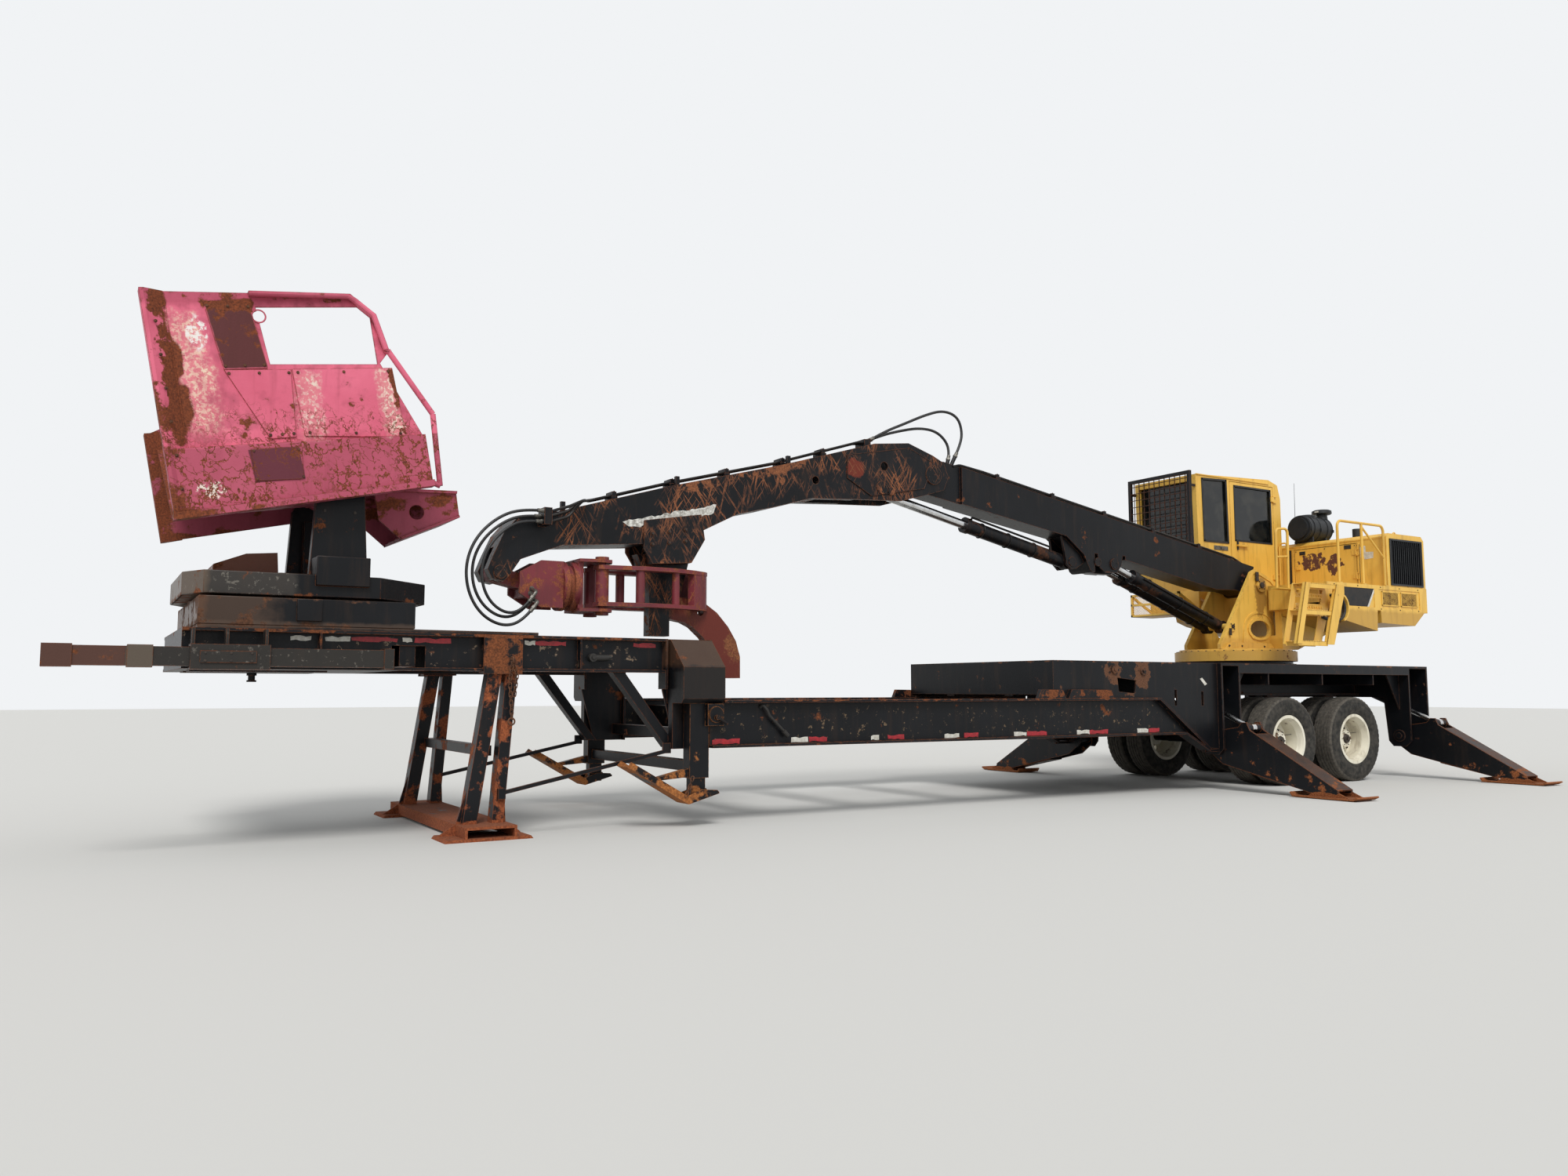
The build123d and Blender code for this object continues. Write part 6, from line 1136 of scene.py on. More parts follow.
# Upper structure: mast lips, hood, vents, ring guard and cab trim
def mastTrim():
    lips = bmesh.new()
    for side in (-1, 1):
        y = side * 0.270
        # thick lip along the mast's front edge
        edge = [(4.690, 1.662), (4.690, 1.720), (5.360, 2.680), (5.440, 2.715), (5.760, 2.600),
                (5.820, 2.550)]
        inner = [(4.732, 1.662), (4.732, 1.707), (5.388, 2.646), (5.446, 2.672), (5.744, 2.564),
                 (5.792, 2.524)]
        addOutline(lips, [(x, y, z) for x, z in edge + inner[::-1]], (0, side * 0.012, 0))
        # arch pressed round the window
        arch = [(5.145, 1.747)] + [(5.49 + 0.315 * cos(a), 1.93 + 0.235 * sin(a))
                                  for a in (pi - pi * k / 24 for k in range(25))] + [(5.800, 1.747)]
        small = [(5.175, 1.747)] + [(5.49 + 0.285 * cos(a), 1.93 + 0.205 * sin(a))
                                   for a in (pi - pi * k / 24 for k in range(25))] + [(5.770, 1.747)]
        addOutline(lips, [(x, y, z) for x, z in arch + small[::-1]], (0, side * 0.010, 0))
        rim = [(Vector((5.49 + 0.238 * cos(a), y, 1.93 + 0.146 * sin(a))),
                Vector((5.49 + 0.196 * cos(a), y, 1.93 + 0.112 * sin(a)))) for a in
               (2 * pi * k / 48 for k in range(48))]
        for (outer, inner), (nextOuter, nextInner) in zip(rim, rim[1:] + rim[:1]):
            addOutline(lips, [outer, nextOuter, nextInner, inner], (0, side * 0.016, 0))
    placePiece("mast_lips", lips, baseEnamel, "upper")
    grime = bmesh.new()
    for side in (-1, 1):
        # keeper plates and the pins' ends
        addBlock(grime, (5.425, side * 0.2965 - 0.008, 2.560), (5.475, side * 0.2965 + 0.008, 2.680))
        addBlock(grime, (4.865, side * 0.2905 - 0.006, 1.835), (4.905, side * 0.2905 + 0.006, 1.925))
        addRound(grime, (5.54, side * 0.2955, 2.51), (5.54, side * 0.312, 2.51), 0.040, 26)
        addRound(grime, (4.93, side * 0.2895, 1.95), (4.93, side * 0.306, 1.95), 0.026, 22)
    placePiece("pin_keepers", grime, greasyIron, "upper", 0.001)


def meshPanel(shape, low, high, pitch, thick, axis):
    # expanded metal: slanting strands both ways inside a rectangle; axis 0 lies across x, 1 across y
    first, second = (1, 2) if axis == 0 else (0, 2)
    flat = low[axis]
    wide, tall = high[first] - low[first], high[second] - low[second]
    count = int((wide + tall) / pitch)
    for k in range(1, count):
        reach = k * pitch
        for flip in (False, True):
            a0, b0 = (reach, 0.0) if reach <= wide else (wide, reach - wide)
            a1, b1 = (0.0, reach) if reach <= tall else (reach - tall, tall)
            if flip:
                a0, a1 = wide - a0, wide - a1
            start, end = [0.0] * 3, [0.0] * 3
            start[axis] = end[axis] = flat + (thick if flip else 0.0)
            start[first], start[second] = low[first] + a0, low[second] + b0
            end[first], end[second] = low[first] + a1, low[second] + b1
            if (Vector(end) - Vector(start)).length > 0.02:
                addRound(shape, start, end, thick, 4)


def platformTrim():
    near = -1.150
    deep = near + 0.0078
    band = bmesh.new()
    # bare dark band with its slanting end
    addOutline(band, [(5.762, deep, 2.212), (5.762, deep, 2.448), (6.655, deep, 2.448), (6.500, deep, 2.212)],
               (0, -0.004, 0))
    placePiece("bare_dark_band", band, blackPipe, "upper")
    stripe = bmesh.new()
    addOutline(stripe, [(6.500, deep, 2.212), (6.655, deep, 2.448), (6.659, deep, 2.448), (6.659, deep, 2.400),
                        (6.540, deep, 2.212)], (0, -0.0045, 0))
    placePiece("slanting_stripe", stripe, whiteTape, "upper")
    back, mesh, frame = bmesh.new(), bmesh.new(), bmesh.new()
    for x0, x1 in ((6.840, 7.190), (7.270, 7.620)):
        # painted shade: a dark cast-iron sheet behind each vent's mesh stands for the shade inside the vent
        addBlock(back, (x0, near + 0.004, 2.250), (x1, deep, 2.412))
        meshPanel(mesh, (x0, near - 0.001, 2.250), (x1, near - 0.001, 2.412), 0.017, 0.0018, 1)
        x2, x3 = x0 - 0.014, x1 + 0.014
        for low, high in (((x2, 2.236), (x3, 2.250)), ((x2, 2.412), (x3, 2.426)),
                          ((x2, 2.236), (x0, 2.426)), ((x1, 2.236), (x3, 2.426))):
            addBlock(frame, (low[0], near - 0.004, low[1]), (high[0], deep, high[1]))
    placePiece("vent_shade_backs", back, castIron, "upper")
    placePiece("vent_mesh", mesh, platformEnamel, "upper")
    placePiece("vent_frames", frame, platformEnamel, "upper", 0.002)
    bolts = bmesh.new()
    for x in (5.80, 6.30, 6.80, 7.23, 7.66):
        for z in (2.190, 2.475):
            addBolt(bolts, (x, near, z), (0, -1, 0), 0.009)
    placePiece("platform_bolts", bolts, greasyIron, "upper")
    # ring guard of flat bar and the stiff hose loop behind it
    guard = bmesh.new()
    centre = Vector((5.800, -1.235, 2.170))
    for k in range(22):
        first, second = (radians(-70 + 11.5 * j) for j in (k, k + 1))
        inner, outer = 0.150, 0.172
        ringPart = [centre + Vector((r * cos(a), 0, r * sin(a) * 1.05)) for r, a in
                    ((outer, first), (outer, second), (inner, second), (inner, first))]
        addOutline(guard, ringPart, (0, 0.055, 0))
    addBlock(guard, (5.700, -1.182, 2.300), (5.760, -1.149, 2.340))
    addBlock(guard, (5.840, -1.182, 2.010), (5.880, -1.149, 2.050))
    placePiece("hose_ring_guard", guard, yellowEnamel, "upper")
    loop = bmesh.new()
    for y, size in ((-1.205, 0.120), (-1.172, 0.136)):
        arc = [(5.800 + size * cos(a), y, 2.160 + size * 1.15 * sin(a)) for a in
               (radians(118 - 20 * k) for k in range(13))]
        addPipe(loop, [(5.660, y, 2.330), (5.700, y, 2.310)] + arc + [(5.560, y, 2.020), (5.470, y, 2.040)],
                0.016, 0.05)
    placePiece("stiff_hose_loop", loop, hoseRubber, "upper")


def hoodTrim():
    face, near = 7.000, -1.140
    seams, plates, dark = bmesh.new(), bmesh.new(), bmesh.new()
    # folded edge strips, latch plates and the roof's lip
    addBlock(seams, (face - 0.006, near + 0.012, 3.150), (face + 0.002, 1.225, 3.166))
    addBlock(seams, (face - 0.005, near, 2.502), (face + 0.002, near + 0.030, 3.150))
    addBlock(seams, (face - 0.004, 0.232, 2.54), (face + 0.002, 0.252, 3.12))
    addBlock(seams, (face - 0.004, -0.752, 2.54), (face + 0.002, -0.732, 3.12))
    placePiece("hood_edge_strips", seams, yellowEnamel, "upper", 0.002)
    # painted shade: dark cast-iron sheets on the hood's face stand for the shade in the slots beside the
    # service door
    addBlock(dark, (face - 0.003, 0.262, 2.60), (face + 0.002, 0.318, 3.12))
    addBlock(dark, (face - 0.0025, -0.762, 2.58), (face + 0.002, -0.756, 3.10))
    addBlock(dark, (face - 0.003, -0.640, 3.050), (face + 0.001, -0.540, 3.105))
    placePiece("hood_slot_shade", dark, castIron, "upper")
    latches = bmesh.new()
    addBlock(latches, (face - 0.004, 0.045, 3.035), (face + 0.001, 0.135, 3.085))
    addBlock(latches, (face - 0.016, 0.075, 3.048), (face - 0.002, 0.105, 3.072))
    for y, z in ((0.19, 2.56), (0.19, 3.09), (-0.69, 2.56), (-0.69, 3.09), (-0.25, 2.56), (-0.25, 3.09)):
        addBolt(latches, (face, y, z), (-1, 0, 0), 0.008)
    placePiece("hood_door_latches", latches, castIron, "hood_door", 0.001)
    labels = bmesh.new()
    torn = [(-0.770, 3.062), (-0.845, 3.070), (-0.850, 2.985), (-0.955, 2.978), (-0.950, 2.895),
            (-0.830, 2.885), (-0.822, 2.920), (-0.775, 2.915)]
    addOutline(labels, [(face - 0.0005, y, z) for y, z in torn], (-0.0014, 0, 0))
    placePiece("bare_label", labels, whiteTape, "upper")
    for k in range(9):
        y0 = -0.700 + 0.170 * k
        addBlock(plates, (7.858, y0 + 0.004, 2.98), (7.868, y0 + 0.116, 3.0))
    for x in (7.10, 7.45, 7.78):
        addBolt(plates, (x, near, 2.510), (0, -1, 0), 0.007)
    placePiece("hood_louvre_lips", plates, yellowEnamel, "upper")
    # seams, lifting eyes and a filler cap on the hood's roof
    roof = bmesh.new()
    for y in (-0.70, 0.45):
        addBlock(roof, (7.05, y, 3.208), (7.80, y + 0.012, 3.214))
    for y in (-1.0, 1.05):
        addRing(roof, (7.42, y, 3.225), (0, 1, 0), 0.032, 0.009, 24, 8)
    addRound(roof, (7.70, -0.90, 3.205), (7.70, -0.90, 3.236), 0.055, 28)
    placePiece("hood_roof_fittings", roof, yellowEnamel, "upper")
    # grab rail at the head of the ladder, on its bracket plate
    grab = bmesh.new()
    addPipe(grab, [(5.285, -0.700, 2.430), (5.300, -0.700, 3.190), (5.540, -0.700, 3.214),
                   (5.520, -0.700, 2.430)], 0.017, 0.07, 12)
    addPipe(grab, [(5.290, -0.700, 2.830), (5.528, -0.700, 2.850)], 0.013, 0.02)
    addBlock(grab, (5.250, -0.760, 2.418), (5.652, -0.640, 2.432))
    placePiece("ladder_grab_rail", grab, yellowEnamel, "upper")
    whip = bmesh.new()
    addRound(whip, (7.020, 0.200, 3.205), (7.020, 0.200, 3.245), 0.016, 12)
    addRound(whip, (7.020, 0.200, 3.240), (7.020, 0.192, 4.080), 0.0045, 8, 0.0022)
    placePiece("whip_aerial", whip, vinyl, "upper")
    # clamp bands, end bolts and the capped inlet of the air cleaner
    can = {"y": 0.10, "z": 3.415, "band": 0.182, "boltCircle": 0.120, "neckX": 7.500}
    filterBands = bmesh.new()
    for x in (6.985, 7.20, 7.47):
        addRing(filterBands, (x, can["y"], can["z"]), (1, 0, 0), can["band"], 0.006, 56, 6)
        addBlock(filterBands, (x - 0.010, -0.095, 3.368), (x + 0.010, -0.072, 3.408))
    for k in range(10):
        a = 2 * pi * k / 10
        y, z = can["y"] + can["boltCircle"] * cos(a), can["z"] + can["boltCircle"] * sin(a)
        addRound(filterBands, (6.926, y, z), (6.936, y, z), 0.007, 8)
    addRound(filterBands, (7.150, can["y"], 3.598), (7.150, can["y"], 3.616), 0.112, 36, 0.085)
    # neck and rain cap: low and high ends, radii and facets
    stack = ((3.555, 3.655, 0.082, 36, 0.070), (3.650, 3.664, 0.118, 40, 0.134),
             (3.664, 3.704, 0.134, 40, 0.130), (3.704, 3.716, 0.122, 40, 0.104))
    x, y = can["neckX"], can["y"]
    for low, high, radius, facets, upper in stack:
        addRound(filterBands, (x, y, low), (x, y, high), radius, facets, upper)
    placePiece("air_cleaner_bands", filterBands, mouldedBlack, "upper")
    patch = bmesh.new()
    addBlock(patch, (7.362, 0.060, 3.672), (7.368, 0.118, 3.694))
    placePiece("small_bare_patch", patch, whiteTape, "upper")


def windowFrame(shape, outline, y, width, thick):
    # rubber gasket of one window: a closed band inside its outline
    middle = Vector((sum(p[0] for p in outline) / len(outline), 0, sum(p[1] for p in outline) / len(outline)))
    for start, end in zip(outline, outline[1:] + outline[:1]):
        a, b = Vector((start[0], 0, start[1])), Vector((end[0], 0, end[1]))
        inward = middle - (a + b) / 2
        side = (b - a).normalized()
        inward = (inward - side * inward.dot(side)).normalized() * width
        band = [a, b, b + inward - side * width * 0.2, a + inward + side * width * 0.2]
        addOutline(shape, [(p.x, y, p.z) for p in band], (0, -thick, 0))


def cabTrim():
    gaskets = bmesh.new()
    side = [(5.293, 3.152), (5.275, 4.030), (5.800, 4.048), (5.815, 3.152)]
    for y in (0.402, 1.452):
        windowFrame(gaskets, side, y, 0.026, 0.012 if y < 1 else -0.004)
    rearPane = [(5.950, 3.200), (5.950, 4.030), (6.765, 4.030), (6.765, 3.200)]
    windowFrame(gaskets, rearPane, 1.452, 0.026, 0.004)
    placePiece("window_gaskets", gaskets, vinyl, "upper")
    doorGasket = bmesh.new()
    doorPane = [(5.950, 3.200), (5.950, 3.990), (6.765, 3.990), (6.765, 3.200)]
    windowFrame(doorGasket, doorPane, 0.402, 0.024, 0.008)
    addBlock(doorGasket, (5.985, 0.383, 3.080), (6.010, 0.400, 3.200))
    placePiece("door_gasket", doorGasket, vinyl, "cab_door")
    trims = bmesh.new()
    # rolled edge at the roof, the sill's seam and a round plug in the roof
    addBlock(trims, (5.165, 0.386, 4.064), (6.720, 0.402, 4.078))
    addBlock(trims, (5.190, 0.390, 2.520), (5.860, 0.402, 2.540))
    addRound(trims, (6.0, 0.925, 4.152), (6.0, 0.925, 4.158), 0.060, 32, 0.052)
    placePiece("cab_edge_strips", trims, yellowEnamel, "upper", 0.002)
    plates = bmesh.new()
    addBlock(plates, (5.500, 0.394, 3.052), (5.790, 0.4005, 3.112))
    for x in (5.52, 5.77):
        addBolt(plates, (x, 0.394, 3.082), (0, -1, 0), 0.008)
    addBlock(plates, (5.64, 0.380, 3.062), (5.70, 0.396, 3.098))
    placePiece("cab_grab_plate", plates, galvanised, "upper", 0.002)
    # levers and console inside, seen through the glass
    levers = bmesh.new()
    for y in (0.62, 1.225):
        addBlock(levers, (6.02, y - 0.045, 3.100), (6.42, y + 0.045, 3.135))
        addRound(levers, (6.08, y, 3.130), (6.06, y, 3.300), 0.009, 10)
        addRound(levers, (6.062, y, 3.285), (6.052, y, 3.370), 0.024, 14, 0.018)
    placePiece("control_levers", levers, vinyl, "upper", 0.003)


def cabSeat():
    # crowned cushion and backrest on a pedestal, with side consoles
    floor = 2.5456
    base = bmesh.new()
    addBlock(base, (6.080, 0.780, floor), (6.420, 1.060, floor + 0.300))
    addBlock(base, (6.000, 0.690, floor + 0.285), (6.460, 1.150, floor + 0.312))
    for y in (0.580, 1.190):
        addBlock(base, (6.020, y, floor), (6.430, y + 0.070, floor + 0.560))
    placePiece("seat_base", base, castIron, "upper", 0.006, ["cab_seat"])
    cushion = cushionShape((6.230, 0.920, floor + 0.365), (0.250, 0.250, 0.062), 0.0)
    seat = placePiece("seat_cushion", cushion, vinyl, "upper", 0, ["cab_seat"])
    back = cushionShape((6.520, 0.920, floor + 0.770), (0.060, 0.230, 0.345), radians(8))
    rest = placePiece("seat_backrest", back, vinyl, "upper", 0, ["cab_seat"])


def cushionShape(centre, radii, lean):
    # padded form whose crown swells between pulled-in corners, with two sewn channels
    shape = bmesh.new()
    rings, steps = 20, 40
    soft = 0.30
    centre = Vector(centre)
    turned = Matrix.Rotation(lean, 3, "Y")
    thin = min(range(3), key=lambda k: radii[k])

    def power(value):
        return abs(value) ** soft * (1 if value >= 0 else -1)

    loops = []
    for j in range(1, rings):
        polar = pi * j / rings
        loop = []
        for k in range(steps):
            angle = 2 * pi * k / steps
            spot = [power(sin(polar)) * power(cos(angle)), power(sin(polar)) * power(sin(angle)),
                    power(cos(polar))]
            if thin == 0:
                spot = [spot[2], spot[0], spot[1]]
            across = spot[1]
            sewn = 1 - 0.12 * max(0, 1 - (abs(abs(across) - 0.34) / 0.06) ** 2)
            crown = 1 + 0.10 * (1 - max(abs(v) for n, v in enumerate(spot) if n != thin) ** 2)
            spot[thin] *= sewn * crown
            loop.append(shape.verts.new(centre + turned @ Vector([s * r for s, r in zip(spot, radii)])))
        loops.append(loop)
    for here, there in zip(loops, loops[1:]):
        for k in range(steps):
            shape.faces.new((here[k], here[(k + 1) % steps], there[(k + 1) % steps], there[k]))
    shape.faces.new(loops[0][::-1])
    shape.faces.new(loops[-1])
    return shape


def cabLanding():
    # landing of angle bar and expanded metal ahead of the cab's sill
    low, high = Vector((4.760, 0.400, 2.140)), Vector((5.1897, 1.230, 2.450))
    frame = bmesh.new()
    bar = 0.030
    addBlock(frame, (low.x, low.y, low.z), (high.x, high.y, low.z + 0.006))
    for y0, y1 in ((low.y, low.y + bar), (high.y - bar, high.y)):
        addBlock(frame, (low.x, y0, low.z), (high.x, y1, low.z + 0.030))
        addBlock(frame, (low.x, y0, low.z), (low.x + bar, y1, high.z))
        addOutline(frame, [(low.x, y0, high.z), (low.x, y0, high.z - 0.035), (5.150, y0, 2.205),
                           (5.150, y0, 2.240)], (0, y1 - y0, 0))
    for z in (low.z, high.z - bar, 2.290):
        addBlock(frame, (low.x, low.y, z), (low.x + bar * 0.8, high.y, z + bar))
    addBlock(frame, (5.160, low.y, 2.140), (high.x, high.y, 2.480))
    placePiece("landing_frame", frame, yellowEnamel, "upper", 0.002, ["cab_step"])
    mesh = bmesh.new()
    meshX = low.x + 0.006
    for lowZ, highZ in ((low.z + bar, 2.290), (2.320, high.z - bar)):
        meshPanel(mesh, (meshX, low.y + bar, lowZ), (meshX, high.y - bar, highZ), 0.030, 0.0028, 0)
    placePiece("landing_mesh", mesh, yellowEnamel, "upper", 0, ["cab_step"])


def boardingLadder():
    # leaning stringers with folded treads of raised studs between them
    nearY, farY, thick = -1.350, -1.160, 0.012
    front = [(4.707, 1.690), (4.812, 1.690), (5.020, 2.440), (4.925, 2.440)]
    rear = [(5.300, 1.690), (5.450, 1.690), (5.696, 2.330), (5.696, 2.440), (5.540, 2.440)]
    frame = bmesh.new()
    for outline in (front, rear):
        for y in (nearY, farY - thick):
            addOutline(frame, [(x, y, z) for x, z in outline], (0, thick, 0))
    for (x0, z0), (x1, z1) in (((4.707, 1.690), (4.925, 2.440)), ((5.300, 1.690), (5.540, 2.440))):
        # folded edge that ties the near cheek to the far one
        foldY = nearY + 0.045
        addOutline(frame, [(x0, nearY, z0), (x1, nearY, z1), (x1, foldY, z1), (x0, foldY, z0)], (0.010, 0, 0))
    for x0, x1, z in ((4.750, 5.330, 1.700), (4.850, 5.440, 2.079), (4.925, 5.560, 2.407)):
        addBlock(frame, (x0, nearY + 0.010, z + 0.018), (x1, farY - 0.002, z + 0.024))
        addBlock(frame, (x0, nearY + 0.010, z - 0.030), (x1, nearY + 0.016, z + 0.024))
        addBlock(frame, (x0, farY - 0.014, z - 0.030), (x1, farY - 0.008, z + 0.024))
    # riser plates between the two upper treads
    addBlock(frame, (4.960, farY - 0.016, 2.120), (5.500, farY - 0.010, 2.200))
    addBlock(frame, (4.975, farY - 0.016, 2.270), (5.520, farY - 0.010, 2.330))
    # landing that ties the ladder to the platform
    addBlock(frame, (5.400, farY - 0.001, 2.407), (5.645, -0.950, 2.431))
    addBlock(frame, (5.450, farY - 0.001, 2.200), (5.645, -0.990, 2.230))
    addBlock(frame, (5.450, farY - 0.001, 2.200), (5.470, -0.990, 2.431))
    addBlock(frame, (5.630, farY - 0.001, 2.200), (5.645, -0.990, 2.431))
    addBlock(frame, (5.020, nearY + 0.012, 2.407), (5.560, farY, 2.431))
    placePiece("ladder_frame", frame, yellowEnamel, "upper", 0.002, ["ladder"])
    treads = bmesh.new()
    for x0, x1, z in ((4.770, 5.320, 1.724), (4.870, 5.430, 2.103), (5.040, 5.550, 2.431)):
        for k in range(int((x1 - x0) / 0.048)):
            for row, y in enumerate((-1.320, -1.270, -1.220)):
                x = x0 + 0.012 + k * 0.048 + (0.024 if row == 1 else 0)
                if x < x1:
                    addRound(treads, (x, y, z - 0.001), (x, y, z + 0.008), 0.013, 10, 0.009)
    for k in range(11):
        x = 5.000 + k * 0.048
        addRound(treads, (x, farY - 0.017, 2.160), (x, farY - 0.024, 2.160), 0.014, 10)
        addRound(treads, (x, farY - 0.017, 2.300), (x, farY - 0.024, 2.300), 0.012, 10)
    placePiece("ladder_tread_studs", treads, yellowEnamel, "upper", 0, ["ladder"])


def pivotPins():
    # welded pin bosses with their keeper bolts, on the frame beside each outrigger arm
    look = {"places": (3.605, 7.370), "half": 0.165, "y": 1.100, "z": 0.540}
    bosses, pins = bmesh.new(), bmesh.new()
    for x in look["places"]:
        for side in (-1, 1):
            y, z = side * look["y"], look["z"]
            for face, way in ((x - look["half"], -1), (x + look["half"], 1)):
                addRing(bosses, (face + way * 0.006, y, z), (1, 0, 0), 0.062, 0.012, 30, 8)
                addRound(pins, (face, y, z), (face + way * 0.022, y, z), 0.040, 26)
                addBlock(pins, (face - 0.004, y - 0.012, 0.500),
                         (face + way * 0.012 + 0.004, y + 0.012, 0.640))
    placePiece("pivot_bosses", bosses, armEnamel, "trailer")
    placePiece("pivot_pins", pins, rustyIron, "trailer")


def delimberTrim():
    look = {"proud": -0.7595, "weld": -0.752, "tube": -0.800, "toothStep": 0.055, "toothA": -1.1962}
    # bolts at the corners of the three pressed panels
    bolts = bmesh.new()
    panels = [[(-0.789, 1.351), (-0.722, 0.855), (-0.429, 0.856), (-0.483, 1.339)],
              [(-0.722, 0.851), (-0.483, 0.330), (-0.303, 0.331), (-0.268, 0.840)],
              [(-0.260, 0.842), (-0.240, 0.335), (0.499, 0.279), (0.474, 0.827)]]
    for panel in panels:
        middle = Vector((sum(p[0] for p in panel) / 4, sum(p[1] for p in panel) / 4))
        corners = [Vector(p) for p in panel]
        spots = [c.lerp(middle, 0.10) for c in corners]
        spots += [(a + b) / 2 for a, b in ((spots[0], spots[3]), (spots[1], spots[2]))]
        for spot in spots:
            addBolt(bolts, wallPoint(spot.x, spot.y, look["proud"]), (0, -1, 0), 0.012)
    for a, b in ((-0.625, 0.03), (-0.62, 0.235), (-0.31, 0.02), (-0.31, 0.225)):
        addBolt(bolts, wallPoint(a, b, -0.829), (0, -1, 0), 0.010)
    for k in range(6):
        addBolt(bolts, wallPoint(-1.12, 0.24 * k, -0.822), (-0.6, -0.8, 0), 0.013)
    placePiece("delimber_bolts", bolts, rustyIron, "delimber_body")
    welds = bmesh.new()
    for start, end in (((-1.17, 0.292), (0.628, 0.284)), ((-1.04, -0.13), (-1.04, 1.42)),
                       ((0.628, -0.10), (0.628, 0.28))):
        addRound(welds, wallPoint(*start, look["weld"]), wallPoint(*end, look["weld"]), 0.007, 6)
    placePiece("delimber_welds", welds, fadedRedEnamel, "delimber_body")
    # grab rail tube along the top, rim round the window's ear hole
    tube = bmesh.new()
    corners = [(-0.483, 1.402), (0.215, 1.380), (0.262, 1.350), (0.388, 1.228), (0.440, 0.960)]
    addPipe(tube, [wallPoint(a, b, look["tube"]) for a, b in corners], 0.020, 0.06)
    addRing(tube, wallPoint(-0.432, 1.245, look["weld"]), (0, 1, 0), 0.047, 0.006, 30, 6)
    placePiece("delimber_rim_tube", tube, fadedRedEnamel, "delimber_body")
    # serrated edge of the infeed flange, eaten by logs
    teeth = bmesh.new()
    random.seed(3)
    for k in range(28):
        a, b, step = look["toothA"], -0.15 + look["toothStep"] * k, look["toothStep"]
        deep = random.uniform(0.004, 0.020)
        points = [wallPoint(a, b, -0.838), wallPoint(a - 0.004, b + step * 0.5, -0.838),
                  wallPoint(a, b + step, -0.838)]
        points = [p + alongWall * 0.004 for p in points]
        addOutline(teeth, points, (0, 0.02 + deep, 0))
    placePiece("flange_teeth", teeth, rustyIron, "delimber_body")


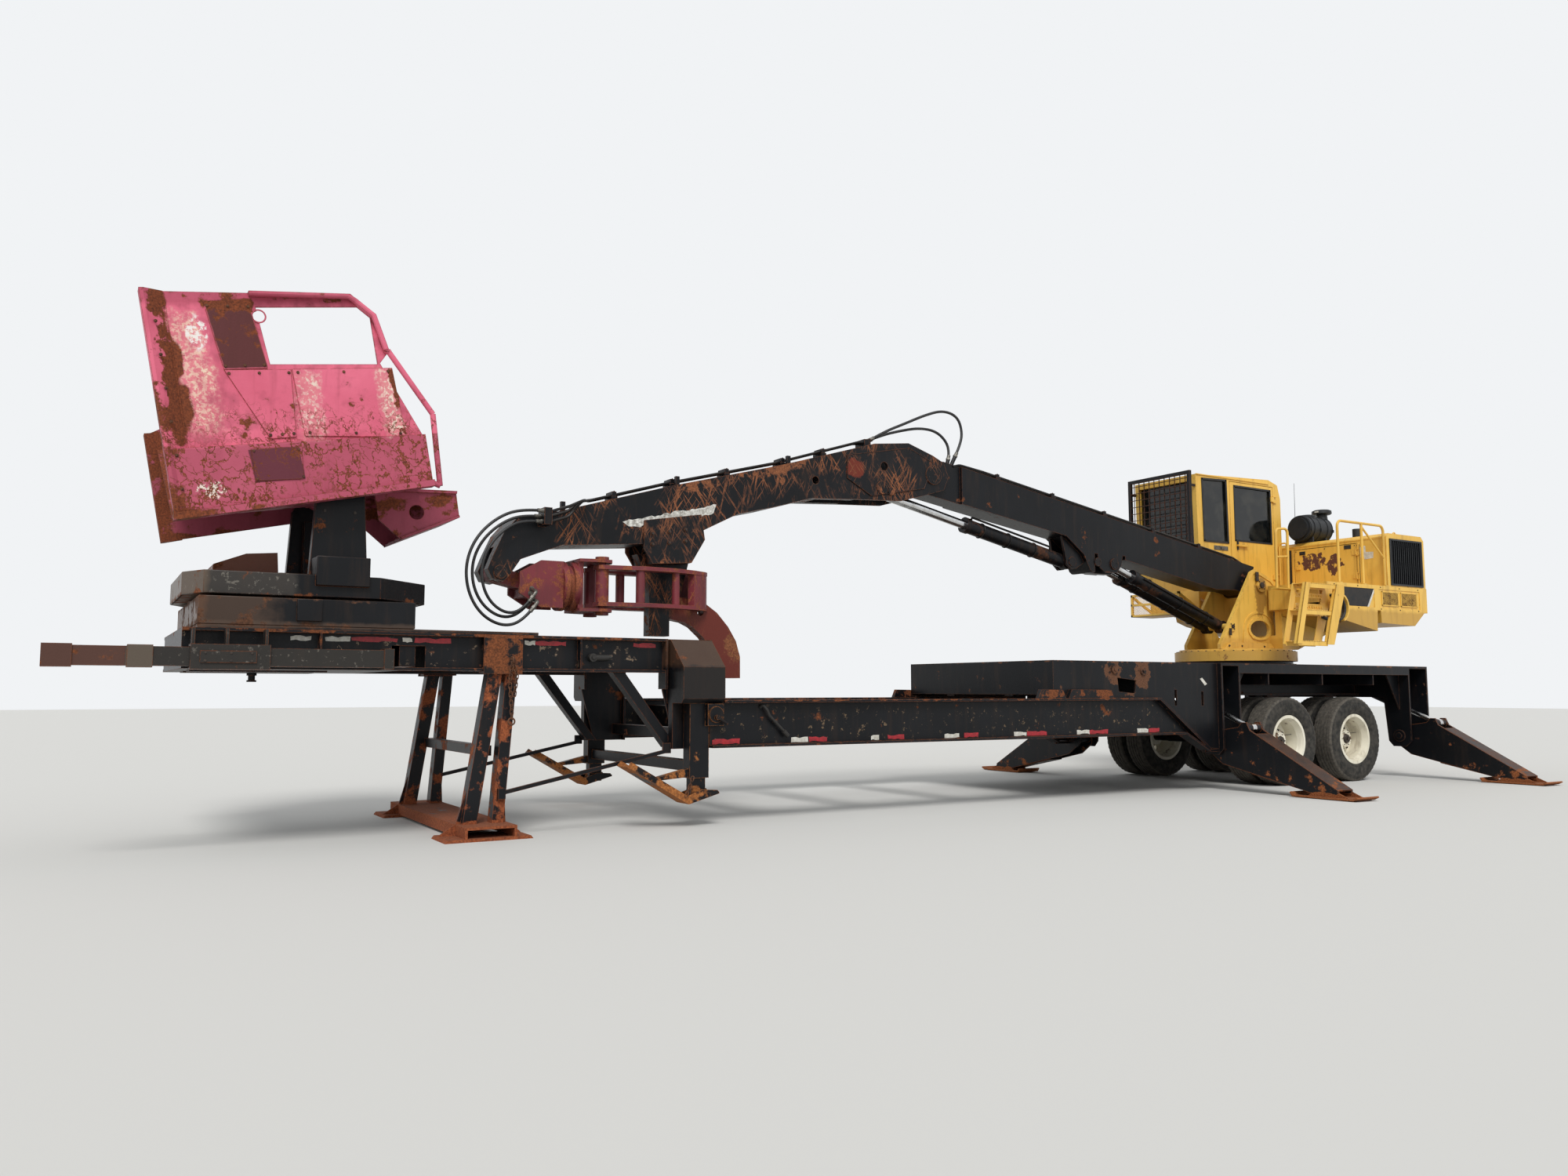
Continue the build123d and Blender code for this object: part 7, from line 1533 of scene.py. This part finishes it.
def drumFascia():
    # a plate box around the drum on the gooseneck, open at the rear
    fascia = {"front": -7.000, "rear": -5.520, "half": 0.972, "low": 1.5965, "high": 1.796, "thick": 0.018}
    outer, inner = fascia["half"], fascia["half"] - fascia["thick"]
    low, high = fascia["low"], fascia["high"]
    plates = bmesh.new()
    for side in (-1, 1):
        addBlock(plates, (fascia["front"], min(side * outer, side * inner), low),
                 (fascia["rear"], max(side * outer, side * inner), high))
        addBlock(plates, (fascia["rear"] - 0.016, min(side * inner, side * 0.60), low),
                 (fascia["rear"], max(side * inner, side * 0.60), high))
    addBlock(plates, (fascia["front"], -inner, low), (fascia["front"] + fascia["thick"], inner, high))
    # lug on the near plate
    addBlock(plates, (-6.362, -0.996, 1.632), (-6.190, -0.971, 1.792))
    placePiece("drum_fascia", plates, fasciaEnamel, "trailer", 0.005)
    # eight-sided tray that turns with the yoke
    tray = {"low": 1.819, "high": 1.985, "floor": 0.012, "wall": 0.02}
    frame = bmesh.new()
    outline = [(-7.085, -0.600), (-6.965, -0.868), (-5.760, -0.868), (-5.325, -0.450), (-5.325, 0.450),
               (-5.760, 0.868), (-6.965, 0.868), (-7.085, 0.600)]
    addOutline(frame, [(x, y, tray["low"]) for x, y in outline], (0, 0, tray["floor"]))
    for (x, y), (nextX, nextY) in zip(outline, outline[1:] + outline[:1]):
        inward = Vector((swivelX - (x + nextX) / 2, -(y + nextY) / 2, 0)).normalized() * tray["wall"]
        addOutline(frame, [(x, y, tray["low"]), (nextX, nextY, tray["low"]), (nextX, nextY, tray["high"]),
                           (x, y, tray["high"])], inward)
    # feet of the two columns
    for side in (-1, 1):
        footY = sorted((side * 0.641, side * 0.905))
        addBlock(frame, (-6.225, footY[0], 1.905), (-5.845, footY[1], 2.125))
    placePiece("swivel_frame", frame, swivelEnamel, "delimber_yoke", 0.006)


dressWheels()
trailerTrims()
hangChains()
boltRows()
rearLamps()
print("wheels and trailer details made")
pipeRuns()
boomEdges()
print("pipes made")
mastTrim()
platformTrim()
hoodTrim()
cabTrim()
cabSeat()
cabLanding()
boardingLadder()
pivotPins()
print("upper structure details made")
delimberTrim()
drumFascia()
print("delimber details made")


# Floor, backdrop and light: an overcast sky as a plain studio
def layFloor():
    mesh = bpy.data.meshes.new("floor")
    half = 70.0
    mesh.from_pydata([(-half, -half, 0), (half, -half, 0), (half, half, 0), (-half, half, 0)], [],
                     [(0, 1, 2, 3)])
    floor = bpy.data.objects.new("floor", mesh)
    bpy.context.scene.collection.objects.link(floor)
    material, tree, shader = startMaterial("paleFloor")
    shader.inputs["Base Color"].default_value = hexLinear("#C9C7C2")
    shader.inputs["Roughness"].default_value = 0.9
    floor.data.materials.append(material)


def lightRoom():
    world = bpy.data.worlds.new("paleSky")
    bpy.context.scene.world = world
    world.use_nodes = True
    tree = world.node_tree
    lit = tree.nodes["Background"]
    lit.inputs["Color"].default_value = hexLinear("#EEF2F6")
    lit.inputs["Strength"].default_value = 0.75
    seen = addNode(tree, "Background", {"Color": hexLinear("#F1F3F5"), "Strength": 1.0})
    path = addNode(tree, "LightPath")
    rays = combine(tree, "MAXIMUM", path.outputs["Is Camera Ray"], path.outputs["Is Glossy Ray"])
    rays = combine(tree, "MAXIMUM", rays, path.outputs["Is Transmission Ray"])
    both = addNode(tree, "MixShader", {0: rays, 1: lit.outputs[0], 2: seen.outputs[0]})
    tree.links.new(both.outputs[0], tree.nodes["World Output"].inputs["Surface"])
    sun = bpy.data.lights.new("softSun", "SUN")
    sun.energy = 2.2
    sun.angle = radians(22)
    lamp = bpy.data.objects.new("softSun", sun)
    lamp.rotation_euler = (radians(42), 0, radians(-28))
    bpy.context.scene.collection.objects.link(lamp)


layFloor()
lightRoom()
bpy.context.scene.view_settings.view_transform = "Standard"
print("floor and light ready")
